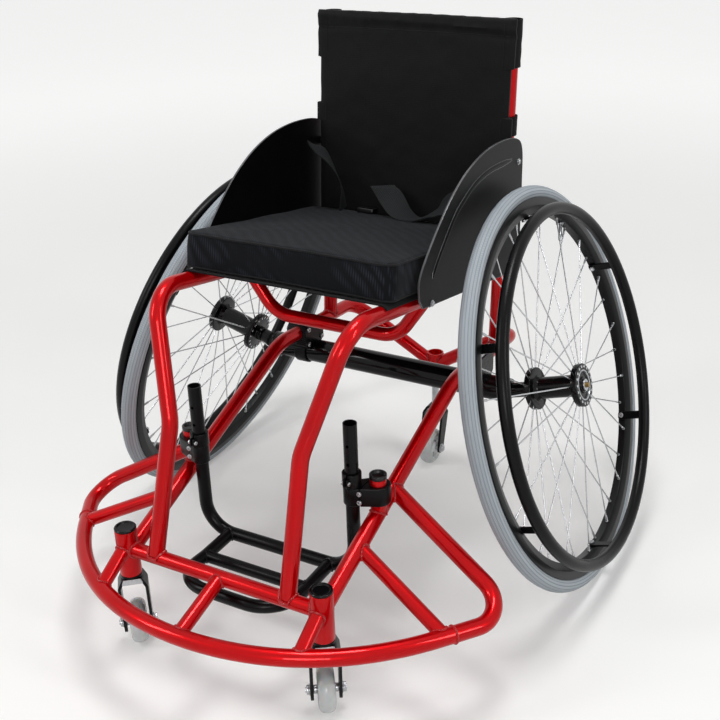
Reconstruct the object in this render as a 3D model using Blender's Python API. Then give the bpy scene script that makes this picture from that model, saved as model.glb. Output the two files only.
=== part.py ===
"""A basketball wheelchair with a rigid tubular frame, cambered spoked wheels and three small casters.

Metres, +Z up, the chair faces -Y and its left side is +X. The stations along Y are given from the main axle:
negative is ahead of it, positive behind. The empty chair_datum moves them so that the origin lies on the
floor under the middle of the whole chair.
"""

import math

import bmesh
import bpy
from mathutils import Matrix, Quaternion, Vector

# Clearances
SEAT_GAP = 0.0003
CUT_PAST = 0.002
MERGE_DISTANCE = 0.000001
SMOOTH_ANGLE = math.radians(40)
FOOT_PASSES = 4

# Main wheels
TYRE_RADIUS = 0.301
TYRE_TUBE_RADIUS = 0.0113
CAMBER = math.radians(16.6)
WHEEL_FACES = 36
TYRE_ARC_STEPS = 3
RIM_EDGE_DEPTH = 0.0184
RIM_DEPTH = 0.0238
RIM_WIDTH = 0.0210
RIM_BED_WIDTH = 0.0120
RIM_WALL = 0.0016
RIM_FLOOR_DEPTH = 0.0037
RIM_SHOULDER_HEIGHT = 0.0120
VALVE_RADIUS = 0.0032
VALVE_LENGTH = 0.030
VALVE_ANGLE = math.radians(55)
SPOKE_COUNT = 36
SPOKE_RADIUS = 0.0010
SPOKE_RIM_OFFSET = 0.0030
SPOKE_END_GAP = 0.0004
SPOKE_FACES = 4
PUSHRIM_OVER_BED = 0.0030
PUSHRIM_TUBE_RADIUS = 0.0090
PUSHRIM_STANDOFF = 0.0368
PUSHRIM_FACES = 8
TAB_COUNT = 6
TAB_FIRST_ANGLE = math.radians(25)
TAB_WIDTH = 0.0130
TAB_THICKNESS = 0.0030
TAB_UNDER_RIM = 0.0060

# Hubs and quick-release axles, along each wheel's axle from the wheel's plane, outwards positive
HUB_FLANGE_RADIUS = 0.0320
HUB_HOLE_RADIUS = 0.0275
HUB_BODY_RADIUS = 0.0165
HUB_BOSS_RADIUS = 0.0120
FLANGE_THICKNESS = 0.0095
INNER_FLANGE = -0.0381
OUTER_FLANGE = 0.0351
HUB_BOSS_LENGTH = 0.0090
HUB_DISH_DEPTH = 0.0025
HUB_NECK_RADIUS = 0.0200
HUB_NECK_LENGTH = 0.0060
HUB_RING_RADIUS = 0.0220
HUB_FACES = 20
AXLE_RADIUS = 0.0060
AXLE_FACES = 8
AXLE_HEAD_RADIUS = 0.0090
AXLE_HEAD_THICKNESS = 0.0030
AXLE_GRIP = 0.0180
BUTTON_RADIUS = 0.0038
BUTTON_LENGTH = 0.0120
BUTTON_PROUD = 0.0040
BUTTON_TRAVEL = 0.0030

# Axle tube and its plugs and clamps
AXLE_TUBE_HALF_LENGTH = 0.2090
AXLE_TUBE_RADIUS = 0.0190
AXLE_TUBE_WALL = 0.0025
AXLE_TUBE_BORE_DEPTH = 0.0450
WHEEL_OFFSET = 0.0833
PLUG_DEPTH = 0.0350
PLUG_FLANGE = 0.0030
PLUG_NOSE_RADIUS = 0.0115
PLUG_NOSE_ROOT = 0.0040
CLAMP_BLOCK_LENGTH = 0.0560
CLAMP_BLOCK_DEPTH = 0.0560
CLAMP_BLOCK_WALL = 0.0065
CLAMP_BLOCK_CORNER = 0.0080

# Frame tubes
FRAME_TUBE_RADIUS = 0.0113
BRACE_TUBE_RADIUS = 0.0098
CROSS_TUBE_RADIUS = 0.0104
TUBE_FACES = 10
ARC_STEP = math.radians(18)

# Caster barrels
BARREL_X = 0.1555
BARREL_Y = -0.4800
BARREL_RADIUS = 0.0152
BARREL_BORE_RADIUS = 0.0115
BARREL_BOTTOM_Z = 0.1240
BARREL_TOP_Z = 0.1950
BARREL_FACES = 16
CAP_THICKNESS = 0.0035
CAP_PLUG_DEPTH = 0.0050
CAP_EDGE = 0.0012
CAP_DISH = 0.0015
REAR_BARREL_Y = 0.1810
REAR_BARREL_RADIUS = 0.0145
REAR_BARREL_BOTTOM_Z = 0.1520
REAR_BARREL_TOP_Z = 0.2120
REAR_BARREL_SEAT = 0.0200
REAR_BARREL_MOUTH_RADIUS = 0.0118

# Front of the frame
CROSS_TUBE_Z = 0.1645
BUMPER_Z = 0.1389
BUMPER_FRONT_Y = -0.5768
BUMPER_TILT = -0.0735
BUMPER_STEPS = 3
# Radius of each arc and the heading at its end, from the bumper's middle outwards
BUMPER_ARCS = ((0.3628, math.radians(13.1)), (0.3257, math.radians(40.0)), (0.3972, math.radians(55.3)))
WING_JOINT_X = 0.3010
WING_CORNER_X = 0.3550
WING_CORNER_RADIUS = 0.0405
WING_RAIL_Y = -0.2804
WING_BRACE_BUMPER_X = 0.2941
WING_BRACE_RAIL_Y = -0.3778
BARREL_BRACE_Z = 0.1500

# Seat rails and down tubes
DOWN_TUBE_FOOT_X = 0.1050
DOWN_TUBE_FOOT_LIFT = 0.0040
DOWN_TUBE_BEND = Vector((0.1012, -0.4250, 0.3450))
DOWN_TUBE_BEND_RADIUS = 0.0700
KNEE = Vector((0.1480, -0.3724, 0.5090))
KNEE_BEND_RADIUS = 0.0520
SEAT_SLOPE = math.radians(-10.4)

# Lower rails
RAIL_FRONT_X = 0.1522
RAIL_BEND_X = 0.1537
RAIL_BEND_Y = -0.0790
RAIL_BEND_RADIUS = 0.1200
RAIL_FRONT_Z = 0.1588
RAIL_REAR_SLOPE = math.radians(-4.6)
RAIL_REAR_X = 0.1535
RAIL_REAR_Y = 0.1640
RAIL_REAR_BEND_RADIUS = 0.0400
RAIL_BARREL_REAR_Z = 0.1880
RAIL_CLAMP_SEAT = 0.0057

# Canes and the cross tube under the seat
CANE_FOOT = Vector((0.1525, 0.0820, 0.3000))
CANE_TOP_X = 0.1500
CANE_TOP_Y = 0.1240
CANE_UNDER_BACK_TOP = 0.0110
SEAT_CROSS_Y = -0.1600
SEAT_CROSS_Z = 0.4000
SEAT_CROSS_TUBE_RADIUS = 0.0098
SEAT_CROSS_CORNER_X = 0.1015
SEAT_CROSS_RADIUS = 0.0500

# Footrest
POST_X = 0.1240
POST_Y = -0.3403
POST_OVER_CLAMP = 0.1067
POST_RADIUS = 0.0095
POST_WALL = 0.0018
POST_BORE_DEPTH = 0.0900
POST_HOLE_RADIUS = 0.0024
POST_HOLE_PITCH = 0.0272
POST_HOLE_COUNT = 3
POST_FIRST_HOLE_DROP = 0.0310
FOOT_Z = 0.1242
FOOT_BEND_RADIUS = 0.0447
FOOT_SIDE_X = 0.0840
FOOT_FRONT_Y = -0.4750
FOOT_FRONT_RISE = 0.0060
FOOT_FRONT_RADIUS = 0.0510
FOOT_SIDE_BEND_RADIUS = 0.0800
FOOT_BAR_RADIUS = 0.0090
FOOT_MID_RADIUS = 0.0087
FOOT_MID_Y = -0.4036

# Footrest stubs, clamps and collars
STUB_X = 0.1535
STUB_Y = -0.3220
STUB_OVER_RAIL = 0.0546
STUB_RADIUS = 0.0113
STUB_BORE_RADIUS = 0.0090
STUB_BORE_DEPTH = 0.0120
STUB_PLUG_RADIUS = 0.0120
STUB_PLUG_HEIGHT = 0.0060
CLAMP_UNDER_STUB_TOP = 0.0220
CLAMP_HEIGHT = 0.0270
CLAMP_WALL = 0.0060
CLAMP_POST_WALL = 0.0028
CLAMP_ARC_STEPS = 6
COLLAR_HEIGHT = 0.0200
COLLAR_WALL = 0.0030
COLLAR_SLOT = 0.0022
COLLAR_EAR = 0.0050
COLLAR_EAR_DROP = 0.0040

# Front casters
CASTER_WHEEL_RADIUS = 0.0325
CASTER_WHEEL_WIDTH = 0.0230
CASTER_TREAD_FLAT = 0.0060
CASTER_WHEEL_FACES = 20
CASTER_SHOULDER_RADIUS = 0.0285
CASTER_RIM_RADIUS = 0.0215
CASTER_WEB = 0.0100
CASTER_HUB_RADIUS = 0.0100
CASTER_HUB_HALF_WIDTH = 0.0115
CASTER_AXLE_RADIUS = 0.0040
CASTER_AXLE_LENGTH = 0.0550
CASTER_SPACER_RADIUS = 0.0058
CASTER_NUT_RADIUS = 0.0062
CASTER_NUT_THICKNESS = 0.0045
CASTER_TRAIL = 0.0100
CASTER_STEM_RADIUS = 0.0112
FORK_LEG_SPAN = 0.0420
FORK_LEG_THICKNESS = 0.0035
FORK_CROWN_GAP = 0.0040
FORK_CROWN_HALF_WIDTH = 0.0155
FORK_SHOULDER_DROP = 0.0090
FORK_NUT_OVERLAP = 0.0010
FORK_TOP_DEPTH = 0.0280
FORK_FOOT_DEPTH = 0.0150
FORK_FOOT_DROP = 0.0100
FORK_FOOT_STEPS = 6
LEFT_CASTER_YAW = math.radians(35)
RIGHT_CASTER_YAW = math.radians(40)

# Rear caster
REAR_CASTER_TRAIL = 0.0190
REAR_CASTER_YAW = math.radians(180)
REAR_STEM_RADIUS = 0.0062
REAR_STEM_REACH = 0.0350
REAR_FORK_TOP_Z = 0.1080
REAR_FORK_SPAN = 0.0400
REAR_FORK_CROWN_HALF_WIDTH = 0.0110
REAR_NUT_RADIUS = 0.0095
REAR_NUT_LOW_Z = 0.1455
REAR_FORK_TOP_DEPTH = 0.0240
REAR_FORK_FOOT_DEPTH = 0.0180

# Side guards
GUARD_INNER_X = 0.1695
GUARD_THICKNESS = 0.0025
GUARD_RIB_HEIGHT = 0.0022
GUARD_BOSS_RADIUS = 0.0060
GUARD_RAIL_SCREW_Y = -0.1940
GUARD_CANE_SCREW_Z = 0.5920
GUARD_FRONT_Y = -0.2210
GUARD_BACK_Y = 0.1225
GUARD_BELOW_RAIL = 0.0027
GUARD_ORIGIN_Z = 0.4600
GUARD_ARCH_STEPS = 2
GUARD_ARCH = (
    (0.1245, 0.5500), (0.1215, 0.6080), (0.0945, 0.6300), (0.0340, 0.6390), (-0.0290, 0.6370),
    (-0.0850, 0.6240), (-0.1330, 0.6020), (-0.1720, 0.5750), (-0.2080, 0.5450), (-0.2300, 0.5200),
    (-0.2305, 0.4930),
)
GUARD_RIB_STEPS = 2
GUARD_RIB_FACES = 4
GUARD_RIB = (
    (-0.1930, 0.5110), (-0.1740, 0.5320), (-0.1250, 0.5730), (-0.0890, 0.5905), (-0.0480, 0.6030),
    (0.0030, 0.6070), (0.0800, 0.6020),
)

# Seat and back
CUSHION_HALF_WIDTH = 0.1620
CUSHION_FRONT_Y = -0.2955
CUSHION_REAR_Y = 0.0523
CUSHION_CORNER_RADIUS = 0.0180
CUSHION_CORNER_STEPS = 3
CUSHION_SIDE_STEPS = 5
CUSHION_CROWN_RINGS = (0.78, 0.50, 0.20)
CUSHION_THICKNESS = 0.0500
CUSHION_CROWN = 0.0035
CUSHION_SIDE_DRAW = 0.0025
CUSHION_EDGE = 0.0050
SLING_THICKNESS = 0.0030
SLING_FRONT_Y = -0.2990
SLING_REAR_Y = 0.0600
SLING_WRAP_ANGLE = math.radians(35)
SLING_ARC_STEPS = 3
BACK_TOP_Z = 0.7980
BACK_FRONT_PAD = 0.0120
BACK_WRAP = 0.0024
BACK_BOTTOM_Z = 0.4600
BACK_SLEEVE_LENGTH = 0.0700
BACK_WINDOW_HEIGHT = 0.0695
BACK_FLAP_LENGTH = 0.0285
BACK_NARROW_HALF_WIDTH = 0.1590
BACK_FLAP_HALF_WIDTH = 0.1655
BACK_WIDE_HALF_WIDTH = 0.1640
BACK_STEP_RISE = 0.0020
BACK_TOP_EDGE = 0.0040
BACK_SAG = 0.0060
BACK_STEPS = 8

# Lap belt
WEBBING_WIDTH = 0.0380
WEBBING_THICKNESS = 0.0016
STRAP_STEPS = 3
LEFT_STRAP = (
    (0.1500, 0.0330, 0.0620), (0.0850, 0.0400, 0.0330), (0.0600, 0.0370, 0.0150), (0.0340, 0.0260, 0.0047),
    (0.0080, 0.0280, 0.0100), (-0.0160, 0.0370, 0.0300), (-0.0350, 0.0410, 0.0470),
)
LEFT_STRAP_WIDTHS = (
    (0.0, 0.30, 1.0), (0.0, 0.60, 0.80), (0.20, 0.90, 0.20), (0.35, 0.92, -0.10), (0.60, 0.75, 0.0),
    (0.90, 0.40, 0.10), (1.0, 0.15, 0.05),
)
RIGHT_STRAP = (
    (-0.1560, 0.0190, 0.1030), (-0.1400, 0.0210, 0.0930), (-0.1180, 0.0260, 0.0700),
    (-0.1060, 0.0350, 0.0400), (-0.1030, 0.0410, 0.0020),
)
RIGHT_STRAP_WIDTHS = (
    (0.10, 1.0, 0.30), (0.15, 1.0, 0.40), (0.50, 0.80, 0.30), (0.90, 0.35, 0.0), (1.0, 0.05, 0.0),
)
BUCKLE_SPOT = (-0.0600, 0.0420, 0.0048)
BUCKLE_SIZE = Vector((0.0300, 0.0180, 0.0080))

# Stations that follow from the sizes above
DATUM_Y = -(BUMPER_FRONT_Y - FRAME_TUBE_RADIUS + TYRE_RADIUS) / 2
TYRE_RING_RADIUS = TYRE_RADIUS - TYRE_TUBE_RADIUS
WHEEL_CENTRE_X = AXLE_TUBE_HALF_LENGTH + WHEEL_OFFSET * math.cos(CAMBER)
WHEEL_CENTRE_Z = TYRE_RING_RADIUS * math.cos(CAMBER) + TYRE_TUBE_RADIUS
AXLE_TUBE_Z = WHEEL_CENTRE_Z - WHEEL_OFFSET * math.sin(CAMBER)
RIM_EDGE_RADIUS = TYRE_RADIUS - RIM_EDGE_DEPTH
RIM_BED_RADIUS = RIM_EDGE_RADIUS - RIM_DEPTH
PUSHRIM_RADIUS = RIM_BED_RADIUS + PUSHRIM_OVER_BED
RAIL_OVER_AXLE_Z = AXLE_TUBE_Z + AXLE_TUBE_RADIUS + FRAME_TUBE_RADIUS + RAIL_CLAMP_SEAT
RAIL_BEND_Z = RAIL_OVER_AXLE_Z + math.tan(RAIL_REAR_SLOPE) * RAIL_BEND_Y
RAIL_RISE = (RAIL_BEND_Z - RAIL_FRONT_Z) / (RAIL_BEND_Y - BARREL_Y)
STUB_FOOT_Z = RAIL_BEND_Z + RAIL_RISE * (STUB_Y - RAIL_BEND_Y)
STUB_TOP_Z = STUB_FOOT_Z + STUB_OVER_RAIL
CLAMP_Z = STUB_TOP_Z - CLAMP_UNDER_STUB_TOP
POST_TOP_Z = CLAMP_Z + POST_OVER_CLAMP
CANE_TOP = Vector((CANE_TOP_X, CANE_TOP_Y, BACK_TOP_Z - CANE_UNDER_BACK_TOP))
BACK_WINDOW_HIGH_Z = BACK_TOP_Z - BACK_SLEEVE_LENGTH
BACK_WINDOW_LOW_Z = BACK_WINDOW_HIGH_Z - BACK_WINDOW_HEIGHT
BACK_FLAP_LOW_Z = BACK_WINDOW_LOW_Z - BACK_FLAP_LENGTH
HUB_INNER_END = INNER_FLANGE - FLANGE_THICKNESS / 2 - HUB_BOSS_LENGTH
HUB_OUTER_END = OUTER_FLANGE + FLANGE_THICKNESS / 2
CASTER_CENTRE_Z = CASTER_WHEEL_RADIUS * math.cos(math.pi / CASTER_WHEEL_FACES)

UP = Vector((0.0, 0.0, 1.0))

# Finish name: base colour, roughness, metallic
FINISHES = {
    "red_gloss": ((0.520, 0.004, 0.008), 0.22, 0.0),
    "black_gloss": ((0.012, 0.012, 0.013), 0.28, 0.0),
    "black_satin": ((0.018, 0.018, 0.020), 0.48, 0.0),
    "black_rim": ((0.022, 0.023, 0.026), 0.35, 0.6),
    "bright_steel": ((0.620, 0.620, 0.630), 0.25, 1.0),
    "grey_tyre": ((0.360, 0.400, 0.440), 0.75, 0.0),
    "grey_wheel": ((0.400, 0.420, 0.420), 0.40, 0.0),
    "charcoal_sheet": ((0.030, 0.030, 0.028), 0.50, 0.0),
    "cushion_cloth": ((0.022, 0.024, 0.030), 0.92, 0.0),
    "back_cloth": ((0.010, 0.010, 0.012), 0.85, 0.0),
    "webbing": ((0.014, 0.014, 0.015), 0.90, 0.0),
}


class Tube:
    """A round tube's centreline and radius, kept so that its neighbours can be coped to it."""

    def __init__(self, name, path, radius):
        self.name = name
        self.path = path
        self.radius = radius
        self.cope = None


def mirrored(point, side):
    return Vector((side * point[0], point[1], point[2]))


def bent(points, radii):
    """Return a centreline through corner points, each inner corner rounded to its own radius."""
    path = [points[0].copy()]
    for before, corner, after, radius in zip(points, points[1:], points[2:], radii):
        back = (before - corner).normalized()
        ahead = (after - corner).normalized()
        turn = math.pi - back.angle(ahead)
        reach = radius * math.tan(turn / 2)
        centre = corner + (back + ahead).normalized() * radius / math.cos(turn / 2)
        first = corner + back * reach - centre
        last = corner + ahead * reach - centre
        axis = first.cross(last)
        steps = max(2, math.ceil(turn / ARC_STEP))
        for index in range(steps + 1):
            path.append(centre + Quaternion(axis, turn * index / steps) @ first)
    path.append(points[-1].copy())
    return path


def smooth_route(points, count):
    """Return points along a Catmull-Rom curve through the given ones, count to each stretch."""
    ends = [2 * points[0] - points[1], *points, 2 * points[-1] - points[-2]]
    route = []
    for p0, p1, p2, p3 in zip(ends, ends[1:], ends[2:], ends[3:]):
        for index in range(count):
            t = index / count
            route.append(
                (2 * p1 + (p2 - p0) * t + (2 * p0 - 5 * p1 + 4 * p2 - p3) * t**2
                 + (3 * p1 - p0 - 3 * p2 + p3) * t**3) / 2
            )
    route.append(points[-1].copy())
    return route


def circle_points(centre, radius, start, sweep, steps):
    """Return steps + 1 points of a plane arc as pairs."""
    return [
        (centre[0] + radius * math.cos(start + sweep * k / steps),
         centre[1] + radius * math.sin(start + sweep * k / steps))
        for k in range(steps + 1)
    ]


def outer_radius(inner, faces):
    """Return the corner radius of a faceted cylinder whose flats stay outside a radius."""
    return inner / math.cos(math.pi / faces)


def make_material(name, finish):
    colour, roughness, metallic = FINISHES[finish]
    material = bpy.data.materials.new(name)
    material.use_nodes = True
    shader = material.node_tree.nodes["Principled BSDF"]
    shader.inputs["Base Color"].default_value = (*colour, 1.0)
    shader.inputs["Roughness"].default_value = roughness
    shader.inputs["Metallic"].default_value = metallic
    material.diffuse_color = (*colour, 1.0)
    return material


def make_object(name, bm, parent, origin=None):
    """Turn a bmesh in the parent's frame into an object whose origin lies at the given point."""
    origin = Vector((0.0, 0.0, 0.0)) if origin is None else origin
    bmesh.ops.translate(bm, verts=bm.verts, vec=-origin)
    bmesh.ops.recalc_face_normals(bm, faces=bm.faces)
    mesh = bpy.data.meshes.new(name)
    bm.to_mesh(mesh)
    bm.free()
    mesh.shade_smooth()
    mesh.set_sharp_from_angle(angle=SMOOTH_ANGLE)
    obj = bpy.data.objects.new(name, mesh)
    bpy.context.scene.collection.objects.link(obj)
    obj.parent = parent
    obj.location = origin
    return obj


def finished(obj, finish):
    obj.data.materials.append(make_material(f"{obj.name}_finish", finish))
    return obj


def empty(name, parent, location, rotation=(0.0, 0.0, 0.0)):
    obj = bpy.data.objects.new(name, None)
    bpy.context.scene.collection.objects.link(obj)
    obj.parent = parent
    obj.location = location
    obj.rotation_euler = rotation
    return obj


def combine(target, other, operation):
    """Add a Boolean with a second object, which then only guides the shape."""
    modifier = target.modifiers.new(f"{operation.lower()}_{other.name}", "BOOLEAN")
    modifier.operation = operation
    modifier.solver = "EXACT"
    modifier.object = other
    other.hide_render = True
    other.display_type = "WIRE"
    return target


def tube_bmesh(path, radius, sides):
    """Extrude a circle along a centreline, turning it with the tangent and without twist."""
    bm = bmesh.new()
    tangent = (path[1] - path[0]).normalized()
    placed = Matrix.Translation(path[0]) @ UP.rotation_difference(tangent).to_matrix().to_4x4()
    bmesh.ops.create_circle(bm, cap_ends=True, segments=sides, radius=radius, matrix=placed)
    end = bm.faces[:]
    for index in range(1, len(path)):
        grown = bmesh.ops.extrude_face_region(bm, geom=end)["geom"]
        if index > 1:
            bmesh.ops.delete(bm, geom=end, context="FACES_ONLY")
        end = [item for item in grown if isinstance(item, bmesh.types.BMFace)]
        verts = [item for item in grown if isinstance(item, bmesh.types.BMVert)]
        here = (path[index] - path[index - 1]).normalized()
        if index + 1 < len(path):
            here = (here + (path[index + 1] - path[index]).normalized()).normalized()
        bmesh.ops.translate(bm, verts=verts, vec=path[index] - path[index - 1])
        bmesh.ops.rotate(
            bm, verts=verts, cent=path[index],
            matrix=tangent.rotation_difference(here).to_matrix(),
        )
        tangent = here
    return bm


def tube_object(name, path, radius, parent, sides=None):
    return make_object(name, tube_bmesh(path, radius, sides or TUBE_FACES), parent, path[0])


def turned(name, profile, parent, axis="X", faces=24, first_angle=0.0, origin=None):
    """Spin a closed profile of (along the axis, radius) pairs; points on the axis are merged."""
    bm = bmesh.new()
    spin_axis = Vector((1.0, 0.0, 0.0)) if axis == "X" else UP
    start = Quaternion(spin_axis, first_angle)
    place = (lambda a, r: Vector((a, r, 0.0))) if axis == "X" else (lambda a, r: Vector((r, 0.0, a)))
    verts = [bm.verts.new(start @ place(along, radius)) for along, radius in profile]
    edges = [bm.edges.new(pair) for pair in zip(verts, verts[1:] + verts[:1])]
    bmesh.ops.spin(
        bm, geom=verts + edges, cent=(0.0, 0.0, 0.0), axis=spin_axis,
        angle=2 * math.pi, steps=faces, use_merge=True,
    )
    bmesh.ops.remove_doubles(bm, verts=bm.verts, dist=MERGE_DISTANCE)
    bmesh.ops.dissolve_degenerate(bm, edges=bm.edges, dist=MERGE_DISTANCE)
    on_axis = [e for e in bm.edges if all((v.co - spin_axis * v.co.dot(spin_axis)).length < MERGE_DISTANCE
                                          for v in e.verts)]
    bmesh.ops.delete(bm, geom=on_axis, context="EDGES")
    if origin is not None:
        bmesh.ops.translate(bm, verts=bm.verts, vec=origin)
    return make_object(name, bm, parent, origin)


def prism(name, outline, axis, low, high, parent, origin=None, side=1):
    """Extrude an outline of pairs along an axis; the pairs are the other two axes in order."""
    def order(a, b, along):
        spots = {"X": (along, a, b), "Y": (a, along, b), "Z": (a, b, along)}
        return spots[axis]

    bm = bmesh.new()
    face = bm.faces.new([bm.verts.new(mirrored(order(a, b, low), side)) for a, b in outline])
    grown = bmesh.ops.extrude_face_region(bm, geom=[face])["geom"]
    verts = [item for item in grown if isinstance(item, bmesh.types.BMVert)]
    bmesh.ops.translate(bm, verts=verts, vec=mirrored(order(0.0, 0.0, high - low), side))
    return make_object(name, bm, parent, origin)


def lofted(name, rings, parent, origin=None):
    """Skin a row of rings with equal counts of points and close both ends."""
    bm = bmesh.new()
    rows = [[bm.verts.new(point) for point in ring] for ring in rings]
    for row, following in zip(rows, rows[1:]):
        for index in range(len(row)):
            after = (index + 1) % len(row)
            bm.faces.new((row[index], row[after], following[after], following[index]))
    bm.faces.new(rows[0])
    bm.faces.new(rows[-1])
    return make_object(name, bm, parent, origin)


def fat_copy(tube, parent):
    """Return the cutter that copes a neighbour to this tube, made once and shared."""
    if tube.cope is None:
        path = [point.copy() for point in tube.path]
        path[0] -= (path[1] - path[0]).normalized() * CUT_PAST
        path[-1] += (path[-1] - path[-2]).normalized() * CUT_PAST
        radius = outer_radius(tube.radius + SEAT_GAP, TUBE_FACES)
        tube.cope = tube_object(f"cope_{tube.name}", path, radius, parent)
    return tube.cope


def frame_tube(tube, datum, neighbours, finish="red_gloss"):
    """Make a welded tube, coped to each neighbour that it meets."""
    obj = finished(tube_object(tube.name, tube.path, tube.radius, datum), finish)
    for neighbour in neighbours:
        combine(obj, fat_copy(neighbour, datum), "DIFFERENCE")
    return obj


def upright(name, x, y, low, high, radius, parent, faces=None):
    """Make a plain vertical cylinder."""
    faces = faces or BARREL_FACES
    return turned(name, [(low, 0.0), (low, radius), (high, radius), (high, 0.0)], parent, "Z", faces,
                  origin=Vector((x, y, 0.0)))


# Centrelines of the frame

def lower_rail_z(y):
    """Height of the lower rail's straight stretches, which meet at its bend in front of the axle."""
    rise = RAIL_RISE if y < RAIL_BEND_Y else math.tan(RAIL_REAR_SLOPE)
    return RAIL_BEND_Z + rise * (y - RAIL_BEND_Y)


def lower_rail_point(side, y):
    if y < RAIL_BEND_Y:
        share = (y - BARREL_Y) / (RAIL_BEND_Y - BARREL_Y)
        x = RAIL_FRONT_X + (RAIL_BEND_X - RAIL_FRONT_X) * share
    else:
        share = (y - RAIL_BEND_Y) / (RAIL_REAR_Y - RAIL_BEND_Y)
        x = RAIL_BEND_X + (RAIL_REAR_X - RAIL_BEND_X) * share
    return Vector((side * x, y, lower_rail_z(y)))


def lower_rail_path(side):
    corners = [
        lower_rail_point(side, BARREL_Y),
        lower_rail_point(side, RAIL_BEND_Y),
        lower_rail_point(side, RAIL_REAR_Y),
        Vector((0.0, REAR_BARREL_Y, RAIL_BARREL_REAR_Z)),
    ]
    return bent(corners, [RAIL_BEND_RADIUS, RAIL_REAR_BEND_RADIUS])


def cane_point(side, z):
    share = (z - CANE_FOOT.z) / (CANE_TOP.z - CANE_FOOT.z)
    return mirrored(CANE_FOOT + (CANE_TOP - CANE_FOOT) * share, side)


def cane_foot(side):
    """Where the cane's line meets the lower rail's centreline."""
    y = CANE_FOOT.y
    for _ in range(FOOT_PASSES):
        y = cane_point(side, lower_rail_z(y)).y
    return cane_point(side, lower_rail_z(y))


def seat_rail_end(side):
    """Where the seat rail's line meets the cane's centreline."""
    z = KNEE.z
    for _ in range(FOOT_PASSES):
        z = KNEE.z + math.tan(SEAT_SLOPE) * (cane_point(side, z).y - KNEE.y)
    return cane_point(side, z)


def seat_rail_point(side, y):
    start = mirrored(KNEE, side)
    end = seat_rail_end(side)
    return start + (end - start) * (y - start.y) / (end.y - start.y)


def seat_rail_path(side):
    foot = Vector((side * DOWN_TUBE_FOOT_X, BARREL_Y, CROSS_TUBE_Z + DOWN_TUBE_FOOT_LIFT))
    corners = [foot, mirrored(DOWN_TUBE_BEND, side), mirrored(KNEE, side), seat_rail_end(side)]
    return bent(corners, [DOWN_TUBE_BEND_RADIUS, KNEE_BEND_RADIUS])


def on_bumper_plane(point):
    """The point at the height of the bumper, which sinks a little towards its ends."""
    return Vector((point.x, point.y, BUMPER_Z + BUMPER_TILT * (point.y - BUMPER_FRONT_Y)))


def bumper_half():
    """Centreline of the bumper's left half, from its middle to the end of its last arc."""
    path = [Vector((0.0, BUMPER_FRONT_Y, BUMPER_Z))]
    heading = 0.0
    for radius, end_angle in BUMPER_ARCS:
        centre = path[-1] + Vector((-math.sin(heading), math.cos(heading), 0.0)) * radius
        for index in range(1, BUMPER_STEPS + 1):
            angle = heading + (end_angle - heading) * index / BUMPER_STEPS
            path.append(centre + Vector((math.sin(angle), -math.cos(angle), 0.0)) * radius)
        heading = end_angle
    return [on_bumper_plane(point) for point in path]


def bumper_straight_point(x):
    """Point of the bumper's straight end at a distance from the middle."""
    start = bumper_half()[-1]
    heading = BUMPER_ARCS[-1][1]
    return on_bumper_plane(start + Vector((1.0, math.tan(heading), 0.0)) * (x - start.x))


def bumper_point(x):
    """Point of the bumper's centreline at a distance from the middle, on arc or straight."""
    half = bumper_half()
    for start, end in zip(half, half[1:]):
        if start.x <= x <= end.x:
            return start + (end - start) * (x - start.x) / (end.x - start.x)
    return bumper_straight_point(x)


def bumper_path():
    half = bumper_half() + [bumper_straight_point(WING_JOINT_X - SEAT_GAP / 2)]
    return [mirrored(point, -1) for point in reversed(half[1:])] + half


def wing_path(side):
    corner = bumper_straight_point(WING_CORNER_X)
    start = bumper_straight_point(WING_JOINT_X + SEAT_GAP / 2)
    corners = [start, corner, lower_rail_point(1, WING_RAIL_Y)]
    return [mirrored(point, side) for point in bent(corners, [WING_CORNER_RADIUS])]


def named(word, side):
    return f"{word}_{'left' if side > 0 else 'right'}"


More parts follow.
